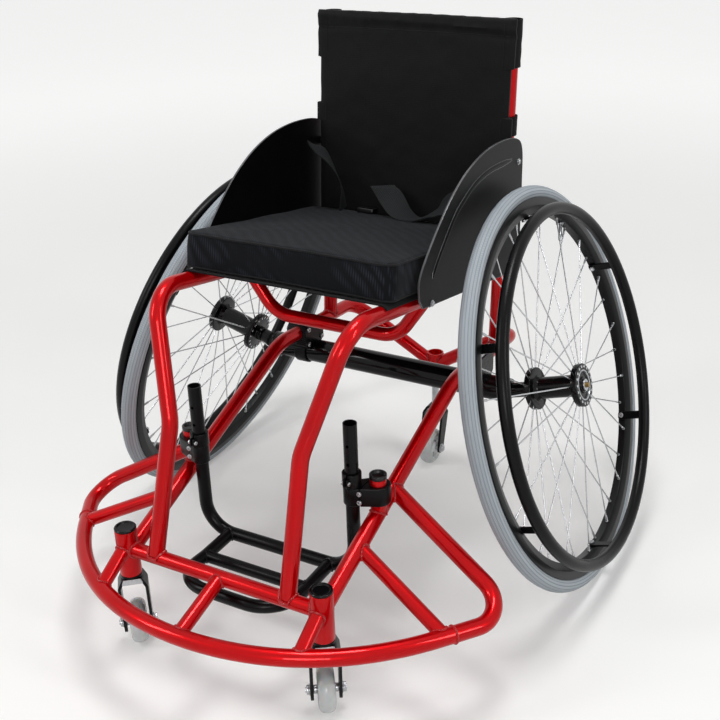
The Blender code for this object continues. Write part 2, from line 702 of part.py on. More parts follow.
def build_frame(datum):
    """Build the welded frame; every tube end is coped to the tube that carries it."""
    tubes = {}
    for side in (1, -1):
        tubes["rail", side] = Tube(named("lower_rail", side), lower_rail_path(side), FRAME_TUBE_RADIUS)
        tubes["seat", side] = Tube(named("seat_rail", side), seat_rail_path(side), FRAME_TUBE_RADIUS)
        tubes["cane", side] = Tube(named("back_cane", side), [cane_foot(side), mirrored(CANE_TOP, side)],
                                   FRAME_TUBE_RADIUS)
        tubes["wing", side] = Tube(named("wing_loop", side), wing_path(side), FRAME_TUBE_RADIUS)
        wing_brace = [lower_rail_point(side, WING_BRACE_RAIL_Y),
                      mirrored(bumper_point(WING_BRACE_BUMPER_X), side)]
        tubes["wing_brace", side] = Tube(named("wing_brace", side), wing_brace, BRACE_TUBE_RADIUS)
        barrel = [Vector((side * BARREL_X, BARREL_Y, BARREL_BOTTOM_Z)),
                  Vector((side * BARREL_X, BARREL_Y, BARREL_TOP_Z))]
        tubes["barrel", side] = Tube(named("barrel", side), barrel, BARREL_RADIUS)
    bumper = Tube("bumper_arc", bumper_path(), FRAME_TUBE_RADIUS)
    cross_line = [Vector((-BARREL_X, BARREL_Y, CROSS_TUBE_Z)), Vector((BARREL_X, BARREL_Y, CROSS_TUBE_Z))]
    cross = Tube("front_cross_tube", cross_line, CROSS_TUBE_RADIUS)
    rear_barrel_line = [Vector((0.0, REAR_BARREL_Y, REAR_BARREL_BOTTOM_Z)),
                        Vector((0.0, REAR_BARREL_Y, REAR_BARREL_TOP_Z))]
    rear_barrel = Tube("rear_barrel_line", rear_barrel_line, REAR_BARREL_RADIUS)
    frame_tube(bumper, datum, [])
    rails = [tubes["rail", 1], tubes["rail", -1]]
    frame_tube(cross, datum, [tubes["barrel", 1], tubes["barrel", -1]] + rails)
    brace_line = [Vector((0.0, BARREL_Y, CROSS_TUBE_Z)), bumper_point(0.0)]
    brace = Tube("centre_brace", brace_line, BRACE_TUBE_RADIUS)
    frame_tube(brace, datum, [cross, bumper])
    seat_cross = [
        seat_rail_point(-1, SEAT_CROSS_Y),
        Vector((-SEAT_CROSS_CORNER_X, SEAT_CROSS_Y, SEAT_CROSS_Z)),
        Vector((SEAT_CROSS_CORNER_X, SEAT_CROSS_Y, SEAT_CROSS_Z)),
        seat_rail_point(1, SEAT_CROSS_Y),
    ]
    seat_cross_tube = Tube("seat_cross_tube", bent(seat_cross, [SEAT_CROSS_RADIUS] * 2),
                           SEAT_CROSS_TUBE_RADIUS)
    frame_tube(seat_cross_tube, datum, [tubes["seat", 1], tubes["seat", -1]])
    for side in (1, -1):
        rail = frame_tube(tubes["rail", side], datum, [tubes["barrel", side], rear_barrel])
        add_footrest_stub(rail, side, datum)
        frame_tube(tubes["seat", side], datum, [cross, tubes["cane", side]])
        frame_tube(tubes["cane", side], datum, [tubes["rail", side]])
        frame_tube(tubes["wing", side], datum, [tubes["rail", side]])
        frame_tube(tubes["wing_brace", side], datum, [tubes["rail", side], bumper, tubes["wing", side]])
        build_caster_barrel(side, datum, bumper)
    build_rear_barrel(datum)
    return tubes


def build_caster_barrel(side, datum, bumper):
    """Build a front caster barrel, bored through, with the brace that ties it to the bumper."""
    x = side * BARREL_X
    barrel = upright(named("caster_barrel", side), x, BARREL_Y, BARREL_BOTTOM_Z, BARREL_TOP_Z,
                     BARREL_RADIUS, datum)
    finished(barrel, "red_gloss")
    brace_path = [Vector((x, BARREL_Y, BARREL_BRACE_Z)), mirrored(bumper_point(BARREL_X), side)]
    brace = tube_object(named("barrel_brace", side), brace_path, BRACE_TUBE_RADIUS, datum)
    combine(barrel, brace, "UNION")
    bore = upright(named("barrel_bore", side), x, BARREL_Y, BARREL_BOTTOM_Z - CUT_PAST,
                   BARREL_TOP_Z + CUT_PAST, outer_radius(BARREL_BORE_RADIUS, BARREL_FACES), datum)
    combine(barrel, bore, "DIFFERENCE")
    combine(barrel, fat_copy(bumper, datum), "DIFFERENCE")
    cap_low = BARREL_TOP_Z + SEAT_GAP
    plug = BARREL_BORE_RADIUS - SEAT_GAP
    profile = [
        (BARREL_TOP_Z - CAP_PLUG_DEPTH, 0.0),
        (BARREL_TOP_Z - CAP_PLUG_DEPTH, plug),
        (cap_low, plug),
        (cap_low, BARREL_RADIUS),
        (cap_low + CAP_THICKNESS - CAP_EDGE, BARREL_RADIUS),
        (cap_low + CAP_THICKNESS, BARREL_RADIUS - CAP_EDGE),
        (cap_low + CAP_THICKNESS - CAP_DISH, BARREL_RADIUS / 2),
        (cap_low + CAP_THICKNESS - CAP_DISH, 0.0),
    ]
    cap = turned(named("caster_cap", side), profile, datum, "Z", BARREL_FACES,
                 origin=Vector((x, BARREL_Y, 0.0)))
    finished(cap, "black_gloss")


def build_rear_barrel(datum):
    """Build the rear caster's barrel: a narrow bore for its stem below a wide open mouth."""
    stem_bore = REAR_STEM_RADIUS + SEAT_GAP
    seat_z = REAR_BARREL_BOTTOM_Z + REAR_BARREL_SEAT
    profile = [
        (REAR_BARREL_BOTTOM_Z, stem_bore),
        (REAR_BARREL_BOTTOM_Z, REAR_BARREL_RADIUS),
        (REAR_BARREL_TOP_Z, REAR_BARREL_RADIUS),
        (REAR_BARREL_TOP_Z, REAR_BARREL_MOUTH_RADIUS),
        (seat_z, REAR_BARREL_MOUTH_RADIUS),
        (seat_z, stem_bore),
    ]
    barrel = turned("rear_barrel", profile, datum, "Z", BARREL_FACES,
                    origin=Vector((0.0, REAR_BARREL_Y, 0.0)))
    finished(barrel, "red_gloss")


def add_footrest_stub(rail, side, datum):
    """Weld the stub that carries the footrest clamp on top of a lower rail."""
    x = side * STUB_X
    stub = upright(named("stub", side), x, STUB_Y, STUB_FOOT_Z, STUB_TOP_Z, STUB_RADIUS, datum, TUBE_FACES)
    combine(rail, stub, "UNION")
    bore = upright(named("stub_bore", side), x, STUB_Y, STUB_TOP_Z - STUB_BORE_DEPTH, STUB_TOP_Z + CUT_PAST,
                   outer_radius(STUB_BORE_RADIUS, BARREL_FACES), datum)
    combine(rail, bore, "DIFFERENCE")


# Axle and wheels

def build_axle(datum, tubes):
    """Build the axle tube with its clamps, and at each end a camber plug, axle and button."""
    bore = AXLE_TUBE_RADIUS - AXLE_TUBE_WALL
    half = AXLE_TUBE_HALF_LENGTH
    floor = half - AXLE_TUBE_BORE_DEPTH
    profile = [(-half, bore), (-half, AXLE_TUBE_RADIUS), (half, AXLE_TUBE_RADIUS), (half, bore),
               (floor, bore), (floor, 0.0), (-floor, 0.0), (-floor, bore)]
    axle = turned("axle_tube", profile, datum, "X", BARREL_FACES, origin=Vector((0.0, 0.0, AXLE_TUBE_Z)))
    finished(axle, "black_gloss")
    line = [Vector((-half, 0.0, AXLE_TUBE_Z)), Vector((half, 0.0, AXLE_TUBE_Z))]
    tube = Tube("axle_line", line, AXLE_TUBE_RADIUS)
    for side in (1, -1):
        build_axle_clamp(side, datum, tube, tubes["rail", side])


def build_axle_clamp(side, datum, axle, rail):
    """Build the block that clamps the axle tube under a lower rail, both passing through it."""
    x = side * RAIL_BEND_X
    low = AXLE_TUBE_Z - AXLE_TUBE_RADIUS - CLAMP_BLOCK_WALL
    high = RAIL_OVER_AXLE_Z + FRAME_TUBE_RADIUS + CLAMP_BLOCK_WALL
    half = CLAMP_BLOCK_DEPTH / 2
    corner = CLAMP_BLOCK_CORNER
    outline = []
    for y, z, start in ((half - corner, high - corner, 0.0), (corner - half, high - corner, 0.5),
                        (corner - half, low + corner, 1.0), (half - corner, low + corner, 1.5)):
        outline += circle_points((y, z), corner, start * math.pi, math.pi / 2, 3)
    reach = CLAMP_BLOCK_LENGTH / 2
    block = prism(named("axle_clamp", side), outline, "X", x - reach, x + reach, datum,
                  Vector((x, 0.0, AXLE_TUBE_Z)))
    finished(block, "black_satin")
    combine(block, fat_copy(axle, datum), "DIFFERENCE")
    combine(block, fat_copy(rail, datum), "DIFFERENCE")


def build_hub_axle(side, datum, wheel_axis):
    """Build a camber plug, seated in the axle tube, with the quick-release axle and its button."""
    bore = AXLE_TUBE_RADIUS - AXLE_TUBE_WALL - SEAT_GAP
    face = SEAT_GAP + PLUG_FLANGE
    profile = [(-PLUG_DEPTH, 0.0), (-PLUG_DEPTH, bore), (SEAT_GAP, bore), (SEAT_GAP, AXLE_TUBE_RADIUS),
               (face, AXLE_TUBE_RADIUS), (face, 0.0)]
    end = Vector((side * AXLE_TUBE_HALF_LENGTH, 0.0, AXLE_TUBE_Z))
    plug = turned(named("camber_plug", side), [(side * a, r) for a, r in profile], datum, "X", BARREL_FACES,
                  origin=end)
    finished(plug, "black_gloss")
    nose_end = HUB_INNER_END - SEAT_GAP
    nose_root = -WHEEL_OFFSET - PLUG_NOSE_ROOT
    nose = turned(named("plug_nose", side),
                  [(side * a, r) for a, r in ((nose_root, 0.0), (nose_root, PLUG_NOSE_RADIUS),
                                              (nose_end, PLUG_NOSE_RADIUS), (nose_end, 0.0))],
                  wheel_axis, "X", HUB_FACES)
    combine(plug, nose, "UNION")
    inner = -WHEEL_OFFSET - AXLE_GRIP
    bore_radius = AXLE_RADIUS + SEAT_GAP
    floor = inner - SEAT_GAP
    past = nose_end + CUT_PAST
    bore_profile = [(floor, 0.0), (floor, bore_radius), (past, bore_radius), (past, 0.0)]
    bore_cut = turned(named("plug_bore", side), [(side * a, r) for a, r in bore_profile], wheel_axis, "X",
                      AXLE_FACES)
    combine(plug, bore_cut, "DIFFERENCE")
    head = HUB_OUTER_END + SEAT_GAP
    top = head + AXLE_HEAD_THICKNESS
    button_bore = BUTTON_RADIUS + SEAT_GAP
    button_in = top + BUTTON_PROUD - BUTTON_LENGTH
    floor = button_in - BUTTON_TRAVEL - SEAT_GAP
    axle = turned(named("quick_release_axle", side),
                  [(side * a, r) for a, r in ((inner, 0.0), (inner, AXLE_RADIUS), (head, AXLE_RADIUS),
                                              (head, AXLE_HEAD_RADIUS), (top, AXLE_HEAD_RADIUS),
                                              (top, button_bore), (floor, button_bore), (floor, 0.0))],
                  wheel_axis, "X", AXLE_FACES)
    finished(axle, "bright_steel")
    face = top + BUTTON_PROUD
    button_profile = [(button_in, 0.0), (button_in, BUTTON_RADIUS), (face, BUTTON_RADIUS), (face, 0.0)]
    button = turned(named("release_button", side), [(side * a, r) for a, r in button_profile], wheel_axis, "X",
                    AXLE_FACES)
    finished(button, "bright_steel")


def build_wheel(side, wheel_axis):
    """Build a spoked wheel: tyre, rim with valve, hub with its radial spokes, and pushrim."""
    build_tyre(side, wheel_axis)
    build_rim(side, wheel_axis)
    build_hub(side, wheel_axis)
    build_pushrim(side, wheel_axis)


def build_tyre(side, wheel_axis):
    """Turn the tyre; one ring of corners is where the cambered tyre touches the floor."""
    neck = RIM_WIDTH / 2 - RIM_WALL - SEAT_GAP
    widest = math.pi - math.asin(neck / TYRE_TUBE_RADIUS)
    bottom = RIM_EDGE_RADIUS - RIM_FLOOR_DEPTH + SEAT_GAP
    angles = [-widest * (1 - k / TYRE_ARC_STEPS) for k in range(TYRE_ARC_STEPS + 1)]
    angles += [CAMBER + (widest - CAMBER) * k / TYRE_ARC_STEPS for k in range(TYRE_ARC_STEPS + 1)]
    profile = [(-TYRE_TUBE_RADIUS * math.sin(a), TYRE_RING_RADIUS + TYRE_TUBE_RADIUS * math.cos(a))
               for a in angles]
    profile += [(-neck, bottom), (neck, bottom)]
    tyre = turned(named("tyre", side), [(side * a, r) for a, r in profile], wheel_axis, "X", WHEEL_FACES)
    finished(tyre, "grey_tyre")


def build_rim(side, wheel_axis):
    """Turn the rim with its groove for the tyre and join the valve that stands on its bed."""
    half = RIM_WIDTH / 2
    groove = half - RIM_WALL
    floor = RIM_EDGE_RADIUS - RIM_FLOOR_DEPTH
    shoulder = RIM_BED_RADIUS + RIM_SHOULDER_HEIGHT
    profile = [(-half, RIM_EDGE_RADIUS), (-groove, RIM_EDGE_RADIUS), (-groove, floor), (groove, floor),
               (groove, RIM_EDGE_RADIUS), (half, RIM_EDGE_RADIUS), (half, shoulder),
               (RIM_BED_WIDTH / 2, RIM_BED_RADIUS), (-RIM_BED_WIDTH / 2, RIM_BED_RADIUS), (-half, shoulder)]
    rim = turned(named("rim", side), [(side * a, r) for a, r in profile], wheel_axis, "X", WHEEL_FACES)
    finished(rim, "black_rim")
    direction = Vector((0.0, math.cos(VALVE_ANGLE), math.sin(VALVE_ANGLE)))
    outer = RIM_BED_RADIUS + RIM_SHOULDER_HEIGHT
    path = [direction * outer, direction * (RIM_BED_RADIUS - VALVE_LENGTH)]
    valve = tube_object(named("valve", side), path, VALVE_RADIUS, wheel_axis, AXLE_FACES)
    combine(rim, valve, "UNION")


def build_hub(side, wheel_axis):
    """Turn the hub and join its radial spokes, which leave the two flanges by turns."""
    bore = AXLE_RADIUS + SEAT_GAP
    half = FLANGE_THICKNESS / 2
    dish = HUB_OUTER_END - HUB_DISH_DEPTH
    profile = [
        (HUB_INNER_END, bore), (HUB_INNER_END, HUB_BOSS_RADIUS),
        (INNER_FLANGE - half, HUB_BOSS_RADIUS), (INNER_FLANGE - half, HUB_FLANGE_RADIUS),
        (INNER_FLANGE + half, HUB_FLANGE_RADIUS), (INNER_FLANGE + half, HUB_NECK_RADIUS),
        (INNER_FLANGE + half + HUB_NECK_LENGTH, HUB_BODY_RADIUS),
        (OUTER_FLANGE - half - HUB_NECK_LENGTH, HUB_BODY_RADIUS),
        (OUTER_FLANGE - half, HUB_NECK_RADIUS), (OUTER_FLANGE - half, HUB_FLANGE_RADIUS),
        (HUB_OUTER_END, HUB_FLANGE_RADIUS), (HUB_OUTER_END, HUB_RING_RADIUS), (dish, HUB_RING_RADIUS),
        (dish, HUB_BOSS_RADIUS), (HUB_OUTER_END, HUB_BOSS_RADIUS), (HUB_OUTER_END, bore),
    ]
    hub = turned(named("hub", side), [(side * a, r) for a, r in profile], wheel_axis, "X", HUB_FACES)
    finished(hub, "black_gloss")
    spokes = bmesh.new()
    for index in range(SPOKE_COUNT):
        angle = 2 * math.pi * index / SPOKE_COUNT
        direction = Vector((0.0, math.cos(angle), math.sin(angle)))
        flange, lean = (OUTER_FLANGE - half / 2, 1) if index % 2 == 0 else (INNER_FLANGE + half / 2, -1)
        start = direction * HUB_HOLE_RADIUS + Vector((side * flange, 0.0, 0.0))
        end = direction * (RIM_BED_RADIUS - SPOKE_END_GAP)
        end += Vector((side * lean * SPOKE_RIM_OFFSET, 0.0, 0.0))
        piece = tube_bmesh([start, end], SPOKE_RADIUS, SPOKE_FACES)
        shared = bpy.data.meshes.new("spoke")
        piece.to_mesh(shared)
        piece.free()
        spokes.from_mesh(shared)
        bpy.data.meshes.remove(shared)
    combine(hub, make_object(named("spokes", side), spokes, wheel_axis), "UNION")


def build_pushrim(side, wheel_axis):
    """Turn the pushrim and join its tabs, which reach under the rim's bed."""
    profile = circle_points((PUSHRIM_STANDOFF, PUSHRIM_RADIUS), PUSHRIM_TUBE_RADIUS, 0.0, 2 * math.pi,
                            PUSHRIM_FACES)
    rim = turned(named("pushrim", side), [(side * a, r) for a, r in profile[:-1]], wheel_axis, "X",
                 WHEEL_FACES)
    finished(rim, "black_satin")
    top = RIM_BED_RADIUS * math.cos(math.pi / WHEEL_FACES) - SEAT_GAP
    tabs = bmesh.new()
    for index in range(TAB_COUNT):
        angle = TAB_FIRST_ANGLE + 2 * math.pi * index / TAB_COUNT
        size = Vector((PUSHRIM_STANDOFF + TAB_UNDER_RIM, TAB_WIDTH, TAB_THICKNESS))
        middle = Vector((side * (PUSHRIM_STANDOFF - TAB_UNDER_RIM) / 2, 0.0, top - TAB_THICKNESS / 2))
        placed = (Matrix.Rotation(angle - math.pi / 2, 4, "X") @ Matrix.Translation(middle)
                  @ Matrix.Diagonal((*size, 1.0)))
        bmesh.ops.create_cube(tabs, size=1.0, matrix=placed)
    combine(rim, make_object(named("tabs", side), tabs, wheel_axis), "UNION")


# Casters

def build_caster_wheel(name, axis):
    """Turn a small caster wheel whose lowest facet lies flat on the floor."""
    half = CASTER_WHEEL_WIDTH / 2
    flat = CASTER_TREAD_FLAT / 2
    web = CASTER_WEB / 2
    hub = CASTER_HUB_HALF_WIDTH
    profile = [
        (-hub, CASTER_AXLE_RADIUS + SEAT_GAP), (-hub, CASTER_HUB_RADIUS), (-web, CASTER_HUB_RADIUS),
        (-web, CASTER_RIM_RADIUS), (-half, CASTER_RIM_RADIUS), (-half, CASTER_SHOULDER_RADIUS),
        (-flat, CASTER_WHEEL_RADIUS), (flat, CASTER_WHEEL_RADIUS), (half, CASTER_SHOULDER_RADIUS),
        (half, CASTER_RIM_RADIUS), (web, CASTER_RIM_RADIUS), (web, CASTER_HUB_RADIUS),
        (hub, CASTER_HUB_RADIUS), (hub, CASTER_AXLE_RADIUS + SEAT_GAP),
    ]
    start = -math.pi / 2 + math.pi / CASTER_WHEEL_FACES
    return finished(turned(name, profile, axis, "X", CASTER_WHEEL_FACES, start), "grey_wheel")


def build_caster_axle(name, axis, span):
    """Turn the axle bolt with its head, nut and the spacers between the wheel and the legs."""
    leg_out = span / 2 + SEAT_GAP
    leg_in = span / 2 - FORK_LEG_THICKNESS - SEAT_GAP
    spacer = CASTER_HUB_HALF_WIDTH + SEAT_GAP
    end = CASTER_AXLE_LENGTH / 2
    nut = leg_out + CASTER_NUT_THICKNESS
    half = [(spacer, CASTER_AXLE_RADIUS), (spacer, CASTER_SPACER_RADIUS), (leg_in, CASTER_SPACER_RADIUS),
            (leg_in, CASTER_AXLE_RADIUS), (leg_out, CASTER_AXLE_RADIUS), (leg_out, CASTER_NUT_RADIUS),
            (nut, CASTER_NUT_RADIUS), (nut, CASTER_AXLE_RADIUS), (end, CASTER_AXLE_RADIUS), (end, 0.0)]
    profile = [(-a, r) for a, r in reversed(half)] + half
    return finished(turned(name, profile, axis, "X", AXLE_FACES), "bright_steel")


def build_fork(name, swivel, trail, span, crown_half, top_z, top_depth, foot_depth, stem, nut, finish):
    """Bend a fork from a strap with sloping shoulders, trim its legs and join the stem with its nut.

    The stem is its radius and top; the nut is its radius, its bottom and its top.
    """
    half = span / 2
    leg = FORK_LEG_THICKNESS
    foot = CASTER_CENTRE_Z - FORK_FOOT_DROP
    shoulder = top_z - FORK_SHOULDER_DROP
    inner = half - leg
    low = foot - CUT_PAST
    section = [(-half, low), (-half, shoulder), (-crown_half, top_z), (crown_half, top_z), (half, shoulder),
               (half, low), (inner, low), (inner, shoulder - leg / 2), (crown_half - leg / 2, top_z - leg),
               (leg / 2 - crown_half, top_z - leg), (-inner, shoulder - leg / 2), (-inner, low)]
    reach = top_depth / 2
    fork = prism(name, section, "Y", -reach - CUT_PAST, trail + reach + CUT_PAST, swivel)
    finished(fork, finish)
    foot_half = foot_depth / 2
    rounding = circle_points((trail, foot + foot_half), foot_half, 0.0, -math.pi, FORK_FOOT_STEPS)
    over = top_z + CUT_PAST
    side_view = [(reach, over), (reach, shoulder), *rounding, (-reach, shoulder), (-reach, over)]
    trim = prism(f"{name}_trim", side_view, "X", -half - CUT_PAST, half + CUT_PAST, swivel)
    combine(fork, trim, "INTERSECT")
    stem_radius, stem_top = stem
    nut_radius, nut_low, nut_high = nut
    root = top_z - leg / 2
    profile = [(root, 0.0), (root, stem_radius), (nut_low, stem_radius), (nut_low, nut_radius),
               (nut_high, nut_radius), (nut_high, stem_radius), (stem_top, stem_radius), (stem_top, 0.0)]
    post = turned(f"{name}_stem", profile, swivel, "Z", BARREL_FACES)
    combine(fork, post, "UNION")
    past = half + CUT_PAST
    hole_radius = CASTER_AXLE_RADIUS + SEAT_GAP
    hole_profile = [(-past, 0.0), (-past, hole_radius), (past, hole_radius), (past, 0.0)]
    hole = turned(f"{name}_hole", hole_profile, swivel, "X", AXLE_FACES,
                  origin=Vector((0.0, trail, CASTER_CENTRE_Z)))
    combine(fork, hole, "DIFFERENCE")
    return fork


def build_casters(datum):
    """Build the two front casters, turned as they stand, and the rear one, turned forwards."""
    for side, yaw in ((1, LEFT_CASTER_YAW), (-1, RIGHT_CASTER_YAW)):
        swivel = empty(named("caster_swivel", side), datum, (side * BARREL_X, BARREL_Y, 0.0),
                       (0.0, 0.0, yaw))
        top = BARREL_BOTTOM_Z - FORK_CROWN_GAP
        stem = (CASTER_STEM_RADIUS, BARREL_TOP_Z - CAP_PLUG_DEPTH - SEAT_GAP)
        nut = (BARREL_RADIUS, top - FORK_NUT_OVERLAP, BARREL_BOTTOM_Z - SEAT_GAP)
        build_fork(named("caster_fork", side), swivel, CASTER_TRAIL, FORK_LEG_SPAN, FORK_CROWN_HALF_WIDTH,
                   top, FORK_TOP_DEPTH, FORK_FOOT_DEPTH, stem, nut, "black_satin")
        axis = empty(named("caster_axis", side), swivel, (0.0, CASTER_TRAIL, CASTER_CENTRE_Z))
        build_caster_wheel(named("caster_wheel", side), axis)
        build_caster_axle(named("caster_axle", side), axis, FORK_LEG_SPAN)
    swivel = empty("caster_swivel_rear", datum, (0.0, REAR_BARREL_Y, 0.0), (0.0, 0.0, REAR_CASTER_YAW))
    nut = (REAR_NUT_RADIUS, REAR_NUT_LOW_Z, REAR_BARREL_BOTTOM_Z - SEAT_GAP)
    stem = (REAR_STEM_RADIUS, REAR_BARREL_BOTTOM_Z + REAR_STEM_REACH)
    build_fork("rear_fork", swivel, REAR_CASTER_TRAIL, REAR_FORK_SPAN, REAR_FORK_CROWN_HALF_WIDTH,
               REAR_FORK_TOP_Z, REAR_FORK_TOP_DEPTH, REAR_FORK_FOOT_DEPTH, stem, nut, "black_satin")
    axis = empty("caster_axis_rear", swivel, (0.0, REAR_CASTER_TRAIL, CASTER_CENTRE_Z))
    build_caster_wheel("rear_caster_wheel", axis)
    build_caster_axle("rear_caster_axle", axis, REAR_FORK_SPAN)


# Footrest

def build_footrest(datum):
    """Build the sliding footrest and, on each side, its clamp, its stop collar and the stub's plug."""
    posts = [Vector((POST_X, POST_Y, POST_TOP_Z)), Vector((POST_X, POST_Y, FOOT_Z)),
             Vector((-POST_X, POST_Y, FOOT_Z)), Vector((-POST_X, POST_Y, POST_TOP_Z))]
    frame = tube_object("footrest_frame", bent(posts, [FOOT_BEND_RADIUS] * 2), POST_RADIUS, datum)
    finished(frame, "black_satin")
    front_z = FOOT_Z + FOOT_FRONT_RISE
    loop = [Vector((FOOT_SIDE_X, POST_Y, FOOT_Z)), Vector((FOOT_SIDE_X, FOOT_MID_Y, FOOT_Z)),
            Vector((FOOT_SIDE_X, FOOT_FRONT_Y, front_z)), Vector((-FOOT_SIDE_X, FOOT_FRONT_Y, front_z)),
            Vector((-FOOT_SIDE_X, FOOT_MID_Y, FOOT_Z)), Vector((-FOOT_SIDE_X, POST_Y, FOOT_Z))]
    radii = [FOOT_SIDE_BEND_RADIUS, FOOT_FRONT_RADIUS, FOOT_FRONT_RADIUS, FOOT_SIDE_BEND_RADIUS]
    combine(frame, tube_object("footrest_loop", bent(loop, radii), FOOT_BAR_RADIUS, datum), "UNION")
    bar = [Vector((-FOOT_SIDE_X, FOOT_MID_Y, FOOT_Z)), Vector((FOOT_SIDE_X, FOOT_MID_Y, FOOT_Z))]
    combine(frame, tube_object("footrest_bar", bar, FOOT_MID_RADIUS, datum), "UNION")
    for side in (1, -1):
        x = side * POST_X
        bore = upright(named("post_bore", side), x, POST_Y, POST_TOP_Z - POST_BORE_DEPTH,
                       POST_TOP_Z + CUT_PAST, POST_RADIUS - POST_WALL, datum, TUBE_FACES)
        combine(frame, bore, "DIFFERENCE")
        for index in range(POST_HOLE_COUNT):
            z = POST_TOP_Z - POST_FIRST_HOLE_DROP - index * POST_HOLE_PITCH
            path = [Vector((x, POST_Y, z)), Vector((x, POST_Y - POST_RADIUS - CUT_PAST, z))]
            hole = tube_object(named(f"post_hole_{index}", side), path, POST_HOLE_RADIUS, datum, AXLE_FACES)
            combine(frame, hole, "DIFFERENCE")
        build_clamp(side, datum)
        build_collar(side, datum)
        build_stub_plug(side, datum)


def build_clamp(side, datum):
    """Build the clamp that ties a footrest post to its stub: the hull of two bored cylinders."""
    post = Vector((POST_X, POST_Y))
    stub = Vector((STUB_X, STUB_Y))
    post_radius = POST_RADIUS + CLAMP_POST_WALL
    stub_radius = STUB_RADIUS + CLAMP_WALL
    between = stub - post
    heading = math.atan2(between.y, between.x)
    spread = math.acos((post_radius - stub_radius) / between.length)
    outline = circle_points(post, post_radius, heading + spread, 2 * math.pi - 2 * spread, CLAMP_ARC_STEPS)
    outline += circle_points(stub, stub_radius, heading - spread, 2 * spread, CLAMP_ARC_STEPS)
    low = CLAMP_Z - CLAMP_HEIGHT / 2
    high = CLAMP_Z + CLAMP_HEIGHT / 2
    clamp = prism(named("footrest_clamp", side), outline, "Z", low, high, datum,
                  Vector((side * POST_X, POST_Y, CLAMP_Z)), side)
    finished(clamp, "black_satin")
    for word, spot, radius in (("clamp_post", post, POST_RADIUS), ("clamp_stub", stub, STUB_RADIUS)):
        bore = upright(named(word, side), side * spot.x, spot.y, low - CUT_PAST, high + CUT_PAST,
                       outer_radius(radius + SEAT_GAP, TUBE_FACES), datum, TUBE_FACES)
        combine(clamp, bore, "DIFFERENCE")


def build_collar(side, datum):
    """Build the split stop collar that rests on the clamp, with its two ears at the front."""
    x = side * POST_X
    low = CLAMP_Z + CLAMP_HEIGHT / 2 + SEAT_GAP
    high = low + COLLAR_HEIGHT
    radius = outer_radius(POST_RADIUS + SEAT_GAP, TUBE_FACES) + COLLAR_WALL
    collar = upright(named("footrest_collar", side), x, POST_Y, low, high, radius, datum)
    finished(collar, "black_satin")
    ear_front = POST_Y - radius - COLLAR_EAR
    ear_half = COLLAR_SLOT / 2 + COLLAR_WALL
    outline = [(x - ear_half, ear_front), (x + ear_half, ear_front), (x + ear_half, POST_Y),
               (x - ear_half, POST_Y)]
    ears = prism(named("collar_ears", side), outline, "Z", low + COLLAR_EAR_DROP, high - COLLAR_EAR_DROP,
                 datum)
    combine(collar, ears, "UNION")
    bore = upright(named("collar_bore", side), x, POST_Y, low - CUT_PAST, high + CUT_PAST,
                   outer_radius(POST_RADIUS + SEAT_GAP, TUBE_FACES), datum, TUBE_FACES)
    combine(collar, bore, "DIFFERENCE")
    slot_half = COLLAR_SLOT / 2
    slot_front = ear_front - CUT_PAST
    slot = [(x - slot_half, slot_front), (x + slot_half, slot_front), (x + slot_half, POST_Y),
            (x - slot_half, POST_Y)]
    combine(collar, prism(named("collar_slot", side), slot, "Z", low - CUT_PAST, high + CUT_PAST, datum),
            "DIFFERENCE")


def build_stub_plug(side, datum):
    nose = STUB_BORE_RADIUS - SEAT_GAP
    seat = STUB_TOP_Z + SEAT_GAP
    low = STUB_TOP_Z - STUB_BORE_DEPTH + SEAT_GAP
    top = seat + STUB_PLUG_HEIGHT
    profile = [(low, 0.0), (low, nose), (seat, nose), (seat, STUB_PLUG_RADIUS), (top, STUB_PLUG_RADIUS),
               (top, 0.0)]
    plug = turned(named("stub_plug", side), profile, datum, "Z", BARREL_FACES,
                  origin=Vector((side * STUB_X, STUB_Y, 0.0)))
    finished(plug, "black_gloss")


# Guards, seat, back and belt

def guard_outline():
    """Return the side guard's outline in (y, z): an arched top over an edge that follows the rail."""
    arch = [Vector((*point, 0.0)) for point in GUARD_ARCH]
    top = [(point.x, point.y) for point in smooth_route(arch, GUARD_ARCH_STEPS)]
    front = seat_rail_point(1, GUARD_FRONT_Y)
    back = seat_rail_point(1, GUARD_BACK_Y)
    return top + [(GUARD_FRONT_Y, front.z - GUARD_BELOW_RAIL), (GUARD_BACK_Y, back.z - GUARD_BELOW_RAIL)]


def build_guard(side, datum, tubes):
    """Build a side guard: sheet with a raised rib, and two bosses coped to the rail and the cane."""
    outer = GUARD_INNER_X + GUARD_THICKNESS
    guard = prism(named("side_guard", side), guard_outline(), "X", GUARD_INNER_X, outer, datum,
                  Vector((side * GUARD_INNER_X, 0.0, GUARD_ORIGIN_Z)), side)
    finished(guard, "charcoal_sheet")
    rib = [Vector((side * outer, y, z)) for y, z in GUARD_RIB]
    rib_tube = tube_object(named("guard_rib", side), smooth_route(rib, GUARD_RIB_STEPS), GUARD_RIB_HEIGHT,
                           datum, GUARD_RIB_FACES)
    combine(guard, rib_tube, "UNION")
    rail = seat_rail_point(side, GUARD_RAIL_SCREW_Y)
    cane = cane_point(side, GUARD_CANE_SCREW_Z)
    for word, middle in (("rail_boss", rail), ("cane_boss", cane)):
        path = [middle, Vector((side * (outer - GUARD_THICKNESS / 2), middle.y, middle.z))]
        combine(guard, tube_object(named(word, side), path, GUARD_BOSS_RADIUS, datum), "UNION")
    combine(guard, fat_copy(tubes["seat", side], datum), "DIFFERENCE")
    combine(guard, fat_copy(tubes["cane", side], datum), "DIFFERENCE")


